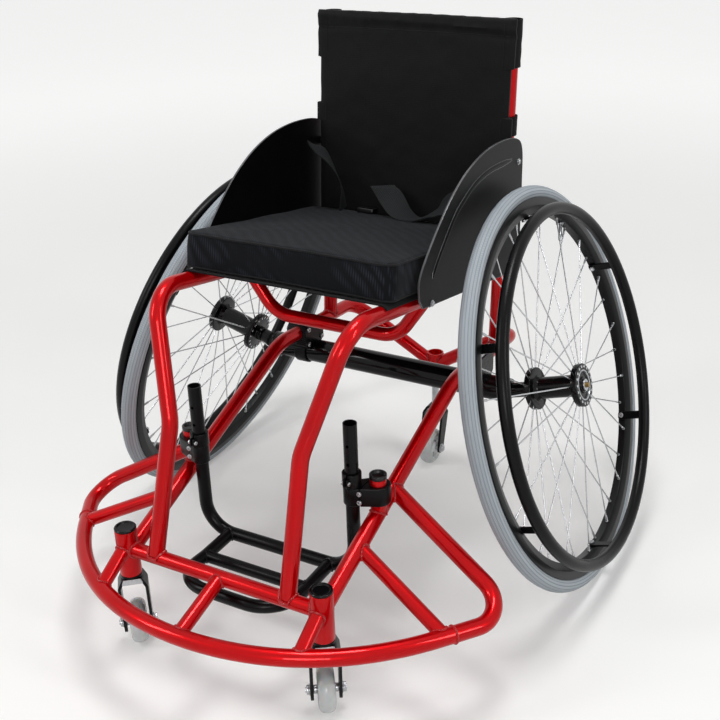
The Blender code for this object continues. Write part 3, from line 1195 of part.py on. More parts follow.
def seat_frame(y):
    """Return the middle of the seat rails at y and the unit vector square to them, in the Y-Z plane."""
    point = seat_rail_point(1, y)
    end = seat_rail_end(1)
    start = KNEE
    along = Vector((0.0, end.y - start.y, end.z - start.z)).normalized()
    return point, Vector((0.0, -along.z, along.y))


def build_sling(datum):
    """Build the sling seat: cloth stretched over both seat rails and wrapped round their outer sides."""
    rings = []
    for y in (SLING_FRONT_Y, SLING_REAR_Y):
        rail, normal = seat_frame(y)
        inner = outer_radius(FRAME_TUBE_RADIUS + SEAT_GAP, SLING_ARC_STEPS * 4)
        outer = inner + SLING_THICKNESS
        middle = (rail.x, 0.0)
        turn = math.pi / 2 - SLING_WRAP_ANGLE
        over = circle_points(middle, outer, math.pi / 2, -turn, SLING_ARC_STEPS)
        under = circle_points(middle, inner, SLING_WRAP_ANGLE, turn, SLING_ARC_STEPS)
        right = over + under
        left = [(-x, h) for x, h in reversed(right)]
        base = Vector((0.0, rail.y, rail.z))
        rings.append([base + Vector((x, 0.0, 0.0)) + normal * h for x, h in right + left])
    finished(lofted("seat_sling", rings, datum, rings[0][0].copy()), "back_cloth")


def cushion_outline(inset):
    """Return the cushion's rounded plan outline as pairs of width and length, drawn in by an inset."""
    half = CUSHION_HALF_WIDTH - inset
    front = CUSHION_FRONT_Y + inset
    rear = CUSHION_REAR_Y - inset
    corner = CUSHION_CORNER_RADIUS
    outline = []
    # Each corner's middle, the heading of its first point and where the side after it ends
    corners = (
        ((half - corner, rear - corner), 0.0, (corner - half, rear)),
        ((corner - half, rear - corner), math.pi / 2, (-half, front + corner)),
        ((corner - half, front + corner), math.pi, (half - corner, front)),
        ((half - corner, front + corner), math.pi * 3 / 2, (half, rear - corner)),
    )
    for middle, start, after in corners:
        outline += circle_points(middle, corner, start, math.pi / 2, CUSHION_CORNER_STEPS)
        last = outline[-1]
        for index in range(1, CUSHION_SIDE_STEPS):
            t = index / CUSHION_SIDE_STEPS
            outline.append((last[0] + (after[0] - last[0]) * t, last[1] + (after[1] - last[1]) * t))
    return outline


def cushion_ring(outline, height):
    """Lift an outline of pairs above the seat rails, square to them."""
    ring = []
    for x, y in outline:
        rail, normal = seat_frame(y)
        ring.append(Vector((x, rail.y, rail.z)) + normal * height)
    return ring


def build_cushion(datum):
    """Build the cushion with drawn-in sides and a crown, lying on the sling."""
    bottom = outer_radius(FRAME_TUBE_RADIUS + SEAT_GAP, SLING_ARC_STEPS * 4) + SLING_THICKNESS + SEAT_GAP
    height = CUSHION_THICKNESS
    levels = [(CUSHION_EDGE, 0.0), (0.0, CUSHION_EDGE), (CUSHION_SIDE_DRAW, height / 2),
              (0.0, height - CUSHION_EDGE), (CUSHION_EDGE, height)]
    rings = [cushion_ring(cushion_outline(inset), bottom + h) for inset, h in levels]
    top = cushion_outline(CUSHION_EDGE)
    middle_y = (CUSHION_FRONT_Y + CUSHION_REAR_Y) / 2
    for share in CUSHION_CROWN_RINGS:
        pairs = [(x * share, middle_y + (y - middle_y) * share) for x, y in top]
        rise = height + CUSHION_CROWN * (1 - share**2)
        rings.append(cushion_ring(pairs, bottom + rise))
    finished(lofted("cushion", rings, datum, rings[0][0].copy()), "cushion_cloth")


def back_ring(z, half_width):
    """Return one level of the upholstery: a sagging front face and a rear face along the canes."""
    cane = cane_point(1, z)
    rear = cane.y - outer_radius(FRAME_TUBE_RADIUS + SEAT_GAP, TUBE_FACES)
    ring = []
    for index in range(BACK_STEPS + 1):
        share = 2 * index / BACK_STEPS - 1
        sag = BACK_SAG * (1 - share**2)
        ring.append(Vector((half_width * share, rear - BACK_FRONT_PAD + sag, z)))
    for index in range(BACK_STEPS + 1):
        share = 1 - 2 * index / BACK_STEPS
        sag = BACK_SAG * (1 - share**2)
        ring.append(Vector((half_width * share, rear + sag, z)))
    return ring


def build_back(datum, tubes):
    """Build the back upholstery: a pad in front of the canes with sleeves that wrap round them."""
    rings = []
    for z, half_width in (
        (BACK_BOTTOM_Z, BACK_NARROW_HALF_WIDTH),
        (BACK_FLAP_LOW_Z, BACK_NARROW_HALF_WIDTH),
        (BACK_FLAP_LOW_Z + BACK_STEP_RISE, BACK_FLAP_HALF_WIDTH),
        (BACK_WINDOW_LOW_Z - BACK_STEP_RISE, BACK_FLAP_HALF_WIDTH),
        (BACK_WINDOW_LOW_Z, BACK_NARROW_HALF_WIDTH),
        (BACK_WINDOW_HIGH_Z, BACK_NARROW_HALF_WIDTH),
        (BACK_WINDOW_HIGH_Z + BACK_STEP_RISE, BACK_WIDE_HALF_WIDTH),
        (BACK_TOP_Z - BACK_TOP_EDGE, BACK_WIDE_HALF_WIDTH),
        (BACK_TOP_Z, BACK_WIDE_HALF_WIDTH - BACK_TOP_EDGE),
    ):
        rings.append(back_ring(z, half_width))
    back = lofted("back_upholstery", rings, datum, rings[0][0].copy())
    finished(back, "back_cloth")
    sleeve = outer_radius(FRAME_TUBE_RADIUS + SEAT_GAP, TUBE_FACES) + BACK_WRAP
    for side in (1, -1):
        for word, low, high in (("sleeve", BACK_WINDOW_HIGH_Z, BACK_TOP_Z - BACK_TOP_EDGE),
                                ("flap", BACK_FLAP_LOW_Z, BACK_WINDOW_LOW_Z)):
            path = [cane_point(side, low), cane_point(side, high)]
            combine(back, tube_object(named(word, side), path, sleeve, datum), "UNION")
    for side in (1, -1):
        combine(back, fat_copy(tubes["cane", side], datum), "DIFFERENCE")


def triangulated(obj):
    """Split a twisted piece's faces into triangles, so that none of them is bent."""
    bm = bmesh.new()
    bm.from_mesh(obj.data)
    bmesh.ops.triangulate(bm, faces=bm.faces)
    bm.to_mesh(obj.data)
    bm.free()
    return obj


def strap(name, route, widths, datum):
    """Sweep the belt's webbing along a route, its width turned from station to station."""
    path = smooth_route(route, STRAP_STEPS)
    across = smooth_route(widths, STRAP_STEPS)
    rings = []
    for index, point in enumerate(path):
        before = path[max(index - 1, 0)]
        after = path[min(index + 1, len(path) - 1)]
        along = (after - before).normalized()
        wide = (across[index] - along * across[index].dot(along)).normalized()
        thick = along.cross(wide).normalized() * WEBBING_THICKNESS / 2
        wide *= WEBBING_WIDTH / 2
        front = (point + wide + thick, point - wide + thick)
        rings.append([*front, point - wide - thick, point + wide - thick])
    return finished(triangulated(lofted(name, rings, datum, path[0].copy())), "webbing")


def cushion_top(x, y, lift):
    """Return a point above the cushion's top, which its crown raises by less than the lift."""
    rail, normal = seat_frame(y)
    bottom = outer_radius(FRAME_TUBE_RADIUS + SEAT_GAP, SLING_ARC_STEPS * 4) + SLING_THICKNESS + SEAT_GAP
    return Vector((x, rail.y, rail.z)) + normal * (bottom + CUSHION_THICKNESS + lift)


def build_belt(datum):
    """Build the lap belt as it lies: a strap from each side and the adjuster between them."""
    left = [cushion_top(x, y, lift) for x, y, lift in LEFT_STRAP]
    strap("belt_strap_left", left, [Vector(v) for v in LEFT_STRAP_WIDTHS], datum)
    right = [cushion_top(x, y, lift) for x, y, lift in RIGHT_STRAP]
    strap("belt_strap_right", right, [Vector(v) for v in RIGHT_STRAP_WIDTHS], datum)
    middle = cushion_top(*BUCKLE_SPOT)
    bm = bmesh.new()
    tilt = Matrix.Rotation(SEAT_SLOPE, 4, "X")
    placed = Matrix.Translation(middle) @ tilt @ Matrix.Diagonal((*BUCKLE_SIZE, 1.0))
    bmesh.ops.create_cube(bm, size=1.0, matrix=placed)
    finished(make_object("belt_adjuster", bm, datum, middle), "black_gloss")


def main():
    for obj in list(bpy.data.objects):
        bpy.data.objects.remove(obj, do_unlink=True)
    datum = empty("chair_datum", None, (0.0, DATUM_Y, 0.0))
    tubes = build_frame(datum)
    build_axle(datum, tubes)
    for side in (1, -1):
        wheel_axis = empty(named("wheel_axis", side), datum, (side * WHEEL_CENTRE_X, 0.0, WHEEL_CENTRE_Z),
                           (0.0, -side * CAMBER, 0.0))
        build_hub_axle(side, datum, wheel_axis)
        build_wheel(side, wheel_axis)
    build_casters(datum)
    build_footrest(datum)
    for side in (1, -1):
        build_guard(side, datum, tubes)
    build_sling(datum)
    build_cushion(datum)
    build_back(datum, tubes)
    build_belt(datum)


main()
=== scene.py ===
"""Looks of a basketball wheelchair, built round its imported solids.

Everything is in metres, +Z up. The chair faces -Y and its left side is +X. Stations along Y are given from
the main axle, as in the solids; `settle` moves each finished piece to the row's own frame.
"""

from __future__ import annotations

import logging
import math
from collections.abc import Iterable, Sequence
from dataclasses import dataclass
from enum import Enum

import bmesh
import bpy
from mathutils import Matrix, Quaternion, Vector, noise


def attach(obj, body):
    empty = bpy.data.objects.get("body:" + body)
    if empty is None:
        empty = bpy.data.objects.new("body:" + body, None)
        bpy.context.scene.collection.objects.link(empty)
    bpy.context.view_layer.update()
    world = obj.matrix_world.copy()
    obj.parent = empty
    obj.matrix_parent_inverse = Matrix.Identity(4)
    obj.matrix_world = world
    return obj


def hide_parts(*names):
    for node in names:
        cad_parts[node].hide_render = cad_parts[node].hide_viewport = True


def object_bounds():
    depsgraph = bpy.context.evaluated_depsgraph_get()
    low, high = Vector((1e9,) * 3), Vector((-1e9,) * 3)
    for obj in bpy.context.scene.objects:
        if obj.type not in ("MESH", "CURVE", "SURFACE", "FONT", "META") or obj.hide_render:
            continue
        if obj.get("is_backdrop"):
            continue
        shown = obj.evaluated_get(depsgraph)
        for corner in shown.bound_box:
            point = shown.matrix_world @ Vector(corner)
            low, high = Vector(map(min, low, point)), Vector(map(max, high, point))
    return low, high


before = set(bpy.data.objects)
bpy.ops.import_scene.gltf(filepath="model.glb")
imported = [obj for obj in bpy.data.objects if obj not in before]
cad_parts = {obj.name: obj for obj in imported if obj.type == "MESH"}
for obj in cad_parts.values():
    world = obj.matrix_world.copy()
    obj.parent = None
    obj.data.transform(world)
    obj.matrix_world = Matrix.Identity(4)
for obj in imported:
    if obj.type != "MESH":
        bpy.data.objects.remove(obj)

LOG = logging.getLogger("wheelchair")

Section = Sequence[tuple[float, float]]
Socket = bpy.types.NodeSocket

FRAME = "frame"
UP = Vector((0.0, 0.0, 1.0))
ACROSS = Vector((1.0, 0.0, 0.0))
AHEAD = Vector((0.0, -1.0, 0.0))
# Turns a profile drawn in (y, z) upright, its depth along X
UPRIGHT = Matrix(((0.0, 0.0, 1.0, 0.0), (1.0, 0.0, 0.0, 0.0), (0.0, 1.0, 0.0, 0.0), (0.0, 0.0, 0.0, 1.0)))
MERGE_DISTANCE = 0.000001
FLAT_FACE_SIDES = 8
SHARP_ANGLE = math.radians(38)
# From the row's middle to the main axle
DATUM_Y = 0.14355
# Between pieces that run in or on each other
GAP = 0.0003
# Step along a weld bead, three to a ripple, and the ripple's share of the bead's radius
BEAD_STEP = 0.0007
BEAD_RIPPLE = 0.16


class Side(Enum):
    """The sitter's left and right; the value is the sign of X."""

    LEFT = 1
    RIGHT = -1

    @property
    def word(self) -> str:
        """The word that ends the names of this side's pieces."""
        return self.name.lower()

    def named(self, stem: str) -> str:
        """Return a piece's name on this side."""
        return f"{stem}_{self.word}"

    @property
    def out(self) -> Vector:
        """The direction away from the chair's middle."""
        return Vector((self.value, 0.0, 0.0))

    def point(self, point: Vector) -> Vector:
        """Return a point of the left half carried to this side."""
        return Vector((self.value * point.x, point.y, point.z))


# Materials


def srgb(code: str) -> tuple[float, float, float, float]:
    """Turn a number sign and six hex digits of sRGB into the linear colour that shaders take."""
    channels = [int(code[i:i + 2], 16) / 255 for i in (1, 3, 5)]
    linear = [c / 12.92 if c <= 0.04045 else ((c + 0.055) / 1.055) ** 2.4 for c in channels]
    return linear[0], linear[1], linear[2], 1.0


def band_scale(spacing: float) -> float:
    """Return a wave texture's scale for bands that repeat at a spacing in metres."""
    wave_turns_per_unit = 20.0
    return 2 * math.pi / (wave_turns_per_unit * spacing)


WHITE = (1.0, 1.0, 1.0, 1.0)
MIX_FACTOR, MIX_A, MIX_B, MIX_RESULT = 0, 6, 7, 2
GREY_MIX_A, GREY_MIX_B = 2, 3


@dataclass(frozen=True)
class Pattern:
    """A node tree and the shader it feeds, with short ways to add what several finishes share."""

    tree: bpy.types.NodeTree
    shader: bpy.types.Node

    def add(self, kind: str, inputs: dict | None = None, **settings: object) -> bpy.types.Node:
        """Add one node.

        Args:
            kind: the node's class name after its common first part.
            inputs: input name or index to its value or to the socket that feeds it.
            settings: the node's own attributes.
        """
        node = self.tree.nodes.new("ShaderNode" + kind)
        for name, value in settings.items():
            setattr(node, name, value)
        self.fill(node, inputs or {})
        return node

    def fill(self, node: bpy.types.Node, inputs: dict) -> None:
        """Give a node's inputs their values, or link them to the sockets that feed them."""
        for name, value in inputs.items():
            if isinstance(value, Socket):
                self.tree.links.new(value, node.inputs[name])
            else:
                node.inputs[name].default_value = value

    def place(self) -> Socket:
        """Return the object's own coordinates, in metres."""
        return self.add("TexCoord").outputs["Object"]

    def mesh_map(self, name: str) -> Socket:
        """Return the coordinates of one of the mesh's own maps."""
        return self.add("UVMap", uv_map=name).outputs["UV"]

    def noise(self, where: Socket, scale: float, detail: float = 2.0, **more: float) -> Socket:
        """Return a cloudy noise."""
        inputs = {"Vector": where, "Scale": scale, "Detail": detail, **more}
        return self.add("TexNoise", inputs).outputs["Fac"]

    def cells(self, where: Socket, size: float) -> Socket:
        """Return the distance to the middle of the nearest of many cells."""
        return self.add("TexVoronoi", {"Vector": where, "Scale": 1 / size}).outputs["Distance"]

    def wave(self, where: Socket, spacing: float, direction: str = "X", **more: float) -> Socket:
        """Return bands that repeat at a spacing in metres."""
        inputs = {"Vector": where, "Scale": band_scale(spacing), **more}
        return self.add("TexWave", inputs, bands_direction=direction).outputs["Fac"]

    def combine(self, operation: str, *values: Socket | float) -> Socket:
        """Return the result of a sum on sockets and numbers."""
        return self.add("Math", dict(enumerate(values)), operation=operation).outputs[0]

    def ramp(self, value: Socket, start: float, end: float, low: float, high: float,
             smooth: bool = False) -> Socket:
        """Return a value carried from one range to another, and held at its ends."""
        inputs = {"Value": value, "From Min": start, "From Max": end, "To Min": low, "To Max": high}
        curve = "SMOOTHSTEP" if smooth else "LINEAR"
        return self.add("MapRange", inputs, interpolation_type=curve).outputs["Result"]

    def blend(self, share: Socket, low: Socket | str, high: str) -> Socket:
        """Return a colour between two hex colours, the first of which may be a socket instead."""
        first = srgb(low) if isinstance(low, str) else low
        inputs = {MIX_FACTOR: share, MIX_A: first, MIX_B: srgb(high)}
        return self.add("Mix", inputs, data_type="RGBA").outputs[MIX_RESULT]

    def bump(self, height: Socket, depth: float, strength: float, over: dict | None = None) -> Socket:
        """Return the normal of a relief, laid over another normal if one is given."""
        inputs = {"Height": height, "Distance": depth, "Strength": strength, **(over or {})}
        return self.add("Bump", inputs).outputs["Normal"]


@dataclass(frozen=True)
class Finish:
    """A material: its name, its slot in the record, and the shader values that are the same all over."""

    name: str
    slot: str = ""
    roughness: float = 0.5
    metallic: float = 0.0
    coat: float = 0.0
    coat_roughness: float = 0.05
    specular: float = 0.5

    def material(self) -> bpy.types.Material:
        """Return the material, made at its first use and shared after that."""
        made = bpy.data.materials.get(self.name)
        if made is not None:
            return made
        made = bpy.data.materials.new(self.name)
        made.use_nodes = True
        pattern = Pattern(made.node_tree, made.node_tree.nodes["Principled BSDF"])
        even = {"Roughness": self.roughness, "Metallic": self.metallic, "Specular IOR Level": self.specular,
                "Coat Weight": self.coat, "Coat Roughness": self.coat_roughness}
        pattern.fill(pattern.shader, {**even, **self.dress(pattern)})
        return made

    def dress(self, pattern: Pattern) -> dict:
        """Add the pattern nodes of this finish and return the shader's inputs that they feed."""
        raise NotImplementedError


@dataclass(frozen=True)
class PaintedMetal(Finish):
    """Powder coat or enamel sprayed on tube: an even colour, a slight orange peel and rubbed patches.

    The peel breaks up the long highlights; the patches vary how matt the coat is where hands rub it.
    """

    colour: str = "#A00812"
    shade: str = "#7C040C"
    patch: float = 0.060
    peel: float = 0.0035
    peel_height: float = 0.00004
    peel_strength: float = 0.6
    rubbed: float = 0.08

    def dress(self, pattern: Pattern) -> dict:
        """Mix two close colours over broad patches and lay the peel over them."""
        where = pattern.place()
        patches = pattern.noise(where, 1 / self.patch, 3.0)
        return {
            "Base Color": pattern.blend(patches, self.shade, self.colour),
            "Roughness": pattern.ramp(patches, 0.0, 1.0, self.roughness, self.roughness + self.rubbed),
            "Normal": pattern.bump(pattern.noise(where, 1 / self.peel), self.peel_height, self.peel_strength),
        }


@dataclass(frozen=True)
class WeldBead(Finish):
    """A TIG bead under the same enamel: the colour pools between its scales and thins on their crests."""

    colour: str = "#A80008"
    crest: str = "#D0303A"
    speck: float = 0.0016
    crest_reach: float = 0.45
    crest_share: float = 0.7
    depth: float = 0.0004

    def dress(self, pattern: Pattern) -> dict:
        """Scatter pale crests over the bead and roughen them."""
        cells = pattern.cells(pattern.place(), self.speck)
        crests = pattern.ramp(cells, 0.0, self.crest_reach, self.crest_share, 0.0)
        return {"Base Color": pattern.blend(crests, self.colour, self.crest),
                "Normal": pattern.bump(cells, self.depth, 0.8)}


@dataclass(frozen=True)
class BareMetal(Finish):
    """Polished or zinc-plated steel and turned aluminium: a bright metal with fine tool marks across it."""

    colour: str = "#C9CBCE"
    dull: str = "#8E9196"
    grain: float = 0.0012
    stretch: float = 6.0
    marks: float = 0.00003

    def dress(self, pattern: Pattern) -> dict:
        """Vary the tint and the roughness with stretched noise, as turning and handling do."""
        drawn = pattern.add("Mapping", {"Vector": pattern.place(), "Scale": (1.0, self.stretch, 1.0)})
        grain = pattern.noise(drawn.outputs["Vector"], 1 / self.grain / self.stretch, 4.0)
        return {
            "Base Color": pattern.blend(grain, self.dull, self.colour),
            "Roughness": pattern.ramp(grain, 0.0, 1.0, self.roughness + 0.12, self.roughness - 0.04),
            "Normal": pattern.bump(grain, self.marks, 0.4),
        }


@dataclass(frozen=True)
class TyreRubber(Finish):
    """Grey non-marking rubber, moulded: fine slanting ribs on the tread with painted shade in the gaps
    between them, and grooves that run round the wheel, drawn only as lines of painted shade.

    It reads the tyre's own map, where U runs round the wheel and V across the tread, both in metres.
    """

    colour: str = "#A9B3BB"
    # Painted shade: the darker grey laid between the ribs and along the round grooves
    groove: str = "#6C757C"
    dust: str = "#B5BBC0"
    rib: float = 0.0032
    rib_share: float = 0.55
    rib_depth: float = 0.0004
    shoulder: float = 0.0125
    fade_width: float = 0.002
    slant: float = 0.9
    ring: float = 0.0046
    ring_start: float = 0.7
    ring_share: float = 0.75

    def dress(self, pattern: Pattern) -> dict:
        """Slant the ribs with the distance from the tread's middle and fade them out past the shoulders; lay
        painted shade between the ribs and along the round grooves.
        """
        parts = pattern.add("SeparateXYZ", {"Vector": pattern.mesh_map(TREAD_MAP)})
        across = pattern.combine("ABSOLUTE", parts.outputs["Y"])
        slanted = pattern.combine("MULTIPLY_ADD", across, self.slant, parts.outputs["X"])
        ribs = pattern.wave(pattern.add("CombineXYZ", {"X": slanted}).outputs["Vector"], self.rib)
        fade = pattern.ramp(across, self.shoulder - self.fade_width, self.shoulder, 1.0, 0.0, smooth=True)
        height = pattern.combine("MULTIPLY", ribs, fade)
        between = pattern.combine("MULTIPLY_ADD", height, -self.rib_share, self.rib_share)
        rings = pattern.wave(pattern.add("CombineXYZ", {"X": across}).outputs["Vector"], self.ring)
        lines = pattern.ramp(rings, self.ring_start, 1.0, 0.0, self.ring_share)
        # The groove colour is painted shade, standing for the gaps between the ribs and for the round grooves
        groove_shade = pattern.combine("MAXIMUM", pattern.combine("MULTIPLY", between, fade), lines)
        clean = pattern.blend(pattern.noise(pattern.place(), 28.0, 5.0), self.colour, self.dust)
        return {"Base Color": pattern.blend(groove_shade, clean, self.groove),
                "Normal": pattern.bump(height, self.rib_depth, 0.7)}


@dataclass(frozen=True)
class CastUrethane(Finish):
    """Clear grey polyurethane, cast: cloudy inside, glossy outside, a little light passes its rim."""

    colour: str = "#DCE0DF"
    cloud: str = "#C4CACA"
    scatter: float = 0.35
    scatter_reach: float = 0.004
    clear: float = 0.15
    ripple: float = 0.0001

    def dress(self, pattern: Pattern) -> dict:
        """Cloud the colour and scatter the light under the skin."""
        clouds = pattern.noise(pattern.place(), 90.0, 4.0)
        return {
            "Subsurface Weight": self.scatter,
            "Subsurface Scale": self.scatter_reach,
            "Transmission Weight": self.clear,
            "Base Color": pattern.blend(clouds, self.cloud, self.colour),
            "Normal": pattern.bump(clouds, self.ripple, 0.2),
        }


@dataclass(frozen=True)
class MouldedPlastic(Finish):
    """Black nylon or ABS, moulded or milled from sheet: a pebbled grain and slightly scuffed high spots."""

    colour: str = "#1B1B1D"
    scuff: str = "#2B2B2E"
    scuff_from: float = 0.5
    scuff_full: float = 0.75
    grain: float = 0.0014
    depth: float = 0.00008

    def dress(self, pattern: Pattern) -> dict:
        """Pebble the surface and lighten it in broad scuffed patches."""
        where = pattern.place()
        scuffs = pattern.noise(where, 22.0, 6.0, Roughness=0.65)
        worn = pattern.ramp(scuffs, self.scuff_from, self.scuff_full, 0.0, 1.0)
        return {"Base Color": pattern.blend(worn, self.colour, self.scuff),
                "Normal": pattern.bump(pattern.cells(where, self.grain), self.depth, 0.35)}


@dataclass(frozen=True)
class Cloth(Finish):
    """Woven polyester. Threads nearer than a pixel are drawn coarser, so that the weave still shows.

    The two waves cross at right angles in the cloth's own plane, which `tilt` turns from the world's. A cloth
    that lies flat takes its weft along Y and shows a watered pattern.
    """

    colour: str = "#15161A"
    thread: str = "#2A2C33"
    spacing: float = 0.0022
    weft_ratio: float = 1.13
    tilt: float = 0.0
    watered: bool = False
    water_ratio: float = 3.3
    height: float = 0.0003
    fold: float = 0.0
    sheen: float = 0.04

    def dress(self, pattern: Pattern) -> dict:
        """Cross the warp with the weft, tint the raised threads and add soft folds."""
        where = pattern.place()
        turned = pattern.add("Mapping", {"Vector": where, "Rotation": (self.tilt, 0.0,
                                                                       0.0)}).outputs["Vector"]
        wavy = {"Distortion": 0.4, "Detail": 1.0}
        warp = pattern.wave(turned, self.spacing, **wavy)
        weft = pattern.wave(turned, self.spacing * self.weft_ratio, "Y" if self.watered else "Z", **wavy)
        raised = pattern.combine("MULTIPLY", warp, weft)
        if self.watered:
            water = {"Distortion": 5.0, "Detail": 2.0, "Detail Scale": 0.6}
            broad = pattern.wave(turned, self.spacing * self.water_ratio, "DIAGONAL", **water)
        else:
            broad = pattern.noise(where, 9.0, 4.0)
        threads = pattern.bump(raised, self.height, 0.5)
        folds = pattern.noise(where, 14.0, 3.0, Distortion=0.6)
        return {
            "Sheen Weight": self.sheen,
            "Sheen Roughness": 0.5,
            "Base Color": pattern.blend(pattern.combine("MULTIPLY", raised, broad), self.colour, self.thread),
            "Normal": pattern.bump(folds, self.fold, 0.5, {"Normal": threads}),
        }


@dataclass(frozen=True)
class BackgroundPaper(Finish):
    """White seamless paper. Away from the lamps the camera sees it lifted to the same pale level."""

    colour: str = "#E7E7E6"
    fibre: str = "#E3E3E1"
    near: float = 0.6
    far: float = 4.0
    lift_near: float = 0.19
    lift: float = 0.57

    def dress(self, pattern: Pattern) -> dict:
        """Mottle the paper faintly and let it glow for the camera where the lamps no longer reach."""
        where = pattern.place()
        radius = pattern.add("VectorMath", {0: where}, operation="LENGTH").outputs["Value"]
        glow = pattern.ramp(radius, self.near, self.far, self.lift_near, self.lift, smooth=True)
        path = pattern.add("LightPath").outputs
        seen = pattern.combine("MAXIMUM", path["Is Camera Ray"], path["Is Glossy Ray"])
        return {
            "Base Color": pattern.blend(pattern.noise(where, 3.0), self.colour, self.fibre),
            "Emission Color": WHITE,
            "Emission Strength": pattern.combine("MULTIPLY", glow, seen),
        }


@dataclass(frozen=True)
class BeltWebbing(Finish):
    """Nylon webbing, woven flat: cords along its length with a fine zigzag across them.

    It reads the strap's own map, where U runs along the strap and V across it, both in metres.
    """

    colour: str = "#131415"
    cord: str = "#26282A"
    spacing: float = 0.0030
    depth: float = 0.0003

    def dress(self, pattern: Pattern) -> dict:
        """Lay cords along the strap and slant a second wave over them."""
        where = pattern.mesh_map(STRAP_MAP)
        cords = pattern.wave(where, self.spacing, "Y")
        woven = pattern.combine("MULTIPLY", cords, pattern.wave(where, self.spacing / 2, "DIAGONAL"))
        return {"Base Color": pattern.blend(woven, self.colour, self.cord),
                "Normal": pattern.bump(woven, self.depth, 0.6)}


TREAD_MAP = "tread"
STRAP_MAP = "strap"

# Aluminium tube in candy-red enamel under a clear coat: deep in the shade, sharp white highlights
RED_ENAMEL = PaintedMetal("red_enamel", "red_gloss", roughness=0.26, metallic=0.55, coat=0.32,
                          coat_roughness=0.02,
                          specular=0.02, colour="#C80008", shade="#AA0006")
# The weld beads under the same enamel, a little paler on their scales
RED_WELD = WeldBead("red_weld", "red_gloss", roughness=0.3, coat=0.3, specular=0.3)
# Black enamel on the axle tube, hubs and caps: nearly a mirror at grazing angles
BLACK_ENAMEL = PaintedMetal("black_enamel", "black_gloss", roughness=0.2, coat=0.32, specular=0.05,
                            colour="#0A0A0C", shade="#060607", peel_height=0.00001)
# Black powder coat on the footrest, clamps and pushrims: satin, with a finer peel
BLACK_POWDER = PaintedMetal("black_powder", "black_satin", roughness=0.24, specular=0.14, colour="#09090B",
                            shade="#060607", peel=0.0016, peel_height=0.00005)
# Anodised aluminium rims: a dark dye over metal, so the highlights stay grey
BLACK_ANODISED = PaintedMetal("black_anodised", "black_rim", roughness=0.3, metallic=0.3, specular=0.25,
                              colour="#121315", shade="#0C0D0E", peel=0.0010, peel_height=0.00001)
# Stainless spokes, drawn and polished
SPOKE_STEEL = BareMetal("spoke_steel", "bright_steel", roughness=0.2, metallic=1.0, colour="#DADCDE",
                        dull="#A9ACB0")
# Zinc-plated bolts, nuts and washers
ZINC_STEEL = BareMetal("zinc_steel", "bright_steel", roughness=0.26, metallic=1.0, colour="#D3D5D7",
                       dull="#95989C")
# Brass-tinted button of the quick-release axle
BRASS = BareMetal("dull_brass", "bright_steel", roughness=0.3, metallic=1.0, colour="#A98B55", dull="#6F5A36")
# Grey tyre rubber, its grooves darkened with painted shade
GREY_TYRE = TyreRubber("grey_tyre_rubber", "grey_tyre", roughness=0.62, specular=0.3)
URETHANE = CastUrethane("caster_urethane", "grey_wheel", roughness=0.24, coat=0.2)
# Acetal hub discs in the caster wheels, paler than the tyre cast round them
CASTER_HUB = CastUrethane("caster_hub_disc", "grey_wheel", roughness=0.35, colour="#ECEDEC", cloud="#DADDDD",
                          scatter=0.1, clear=0.0)
# Pressed composite sheet of the side guards
GUARD_SHEET = MouldedPlastic("guard_sheet", "charcoal_sheet", roughness=0.4, specular=0.08, colour="#070708",
                             scuff="#0C0C0D", grain=0.0010, depth=0.00003)
# The guards' cut edge, a lighter grey strip round each sheet, and the painted highlights along the borders of
# their ribs
GUARD_EDGE_AND_RIB_HIGHLIGHT = MouldedPlastic("guard_edge_and_rib_highlight", "charcoal_sheet", roughness=0.22, colour="#4A4B4E",
                            scuff="#6A6B6E",
                            grain=0.0008, depth=0.00002)
# Moulded nylon plugs and caps
NYLON = MouldedPlastic("black_nylon", "black_gloss", roughness=0.3, specular=0.4, colour="#0D0D0F",
                       scuff="#18181A")
WEBBING = BeltWebbing("belt_webbing", "webbing", roughness=0.8, specular=0.2)
# Seamless background paper
FLOOR_PAPER = BackgroundPaper("floor_paper", roughness=0.9, specular=0.1)


# Shapes


def arc(centre: tuple[float, float], radius: float, start: float, sweep: float, steps: int
        ) -> list[tuple[float, float]]:
    """Return steps + 1 points of a plane arc.

    Args:
        centre: the arc's middle.
        radius: its radius.
        start: heading of its first point.
        sweep: angle it covers, with its sign.
        steps: number of chords.
    """
    return [(centre[0] + radius * math.cos(start + sweep * k / steps),
             centre[1] + radius * math.sin(start + sweep * k / steps)) for k in range(steps + 1)]


def circle(radius: float, faces: int) -> list[tuple[float, float]]:
    """Return the corners of a regular polygon round the origin."""
    return arc((0.0, 0.0), radius, 0.0, 2 * math.pi, faces)[:-1]


def filleted(outline: Section, radius: float, steps: int = 3, closed: bool = True) -> list[tuple[float,
                                                                                                 float]]:
    """Round the corners of a plane outline.

    Args:
        outline: corner points in order.
        radius: largest radius; a short side allows less.
        steps: chords to each corner.
        closed: whether the last point joins the first; an open outline keeps its end points.

    Returns:
        The rounded outline.
    """
    points = [Vector(point) for point in outline]
    count = len(points)
    rounded = []
    for index, corner in enumerate(points):
        if not closed and index in (0, count - 1):
            rounded.append(tuple(corner))
            continue
        back = points[index - 1] - corner
        ahead = points[(index + 1) % count] - corner
        turn = math.pi - back.angle(ahead, 0.0)
        if min(back.length, ahead.length) < MERGE_DISTANCE or turn < math.radians(3):
            rounded.append(tuple(corner))
            continue
        reach = min(radius * math.tan(turn / 2), back.length * 0.48, ahead.length * 0.48)
        first = corner + back.normalized() * reach
        last = corner + ahead.normalized() * reach
        for step in range(steps + 1):
            t = step / steps
            point = first * (1 - t) ** 2 + corner * 2 * t * (1 - t) + last * t ** 2
            rounded.append(tuple(point))
    return rounded


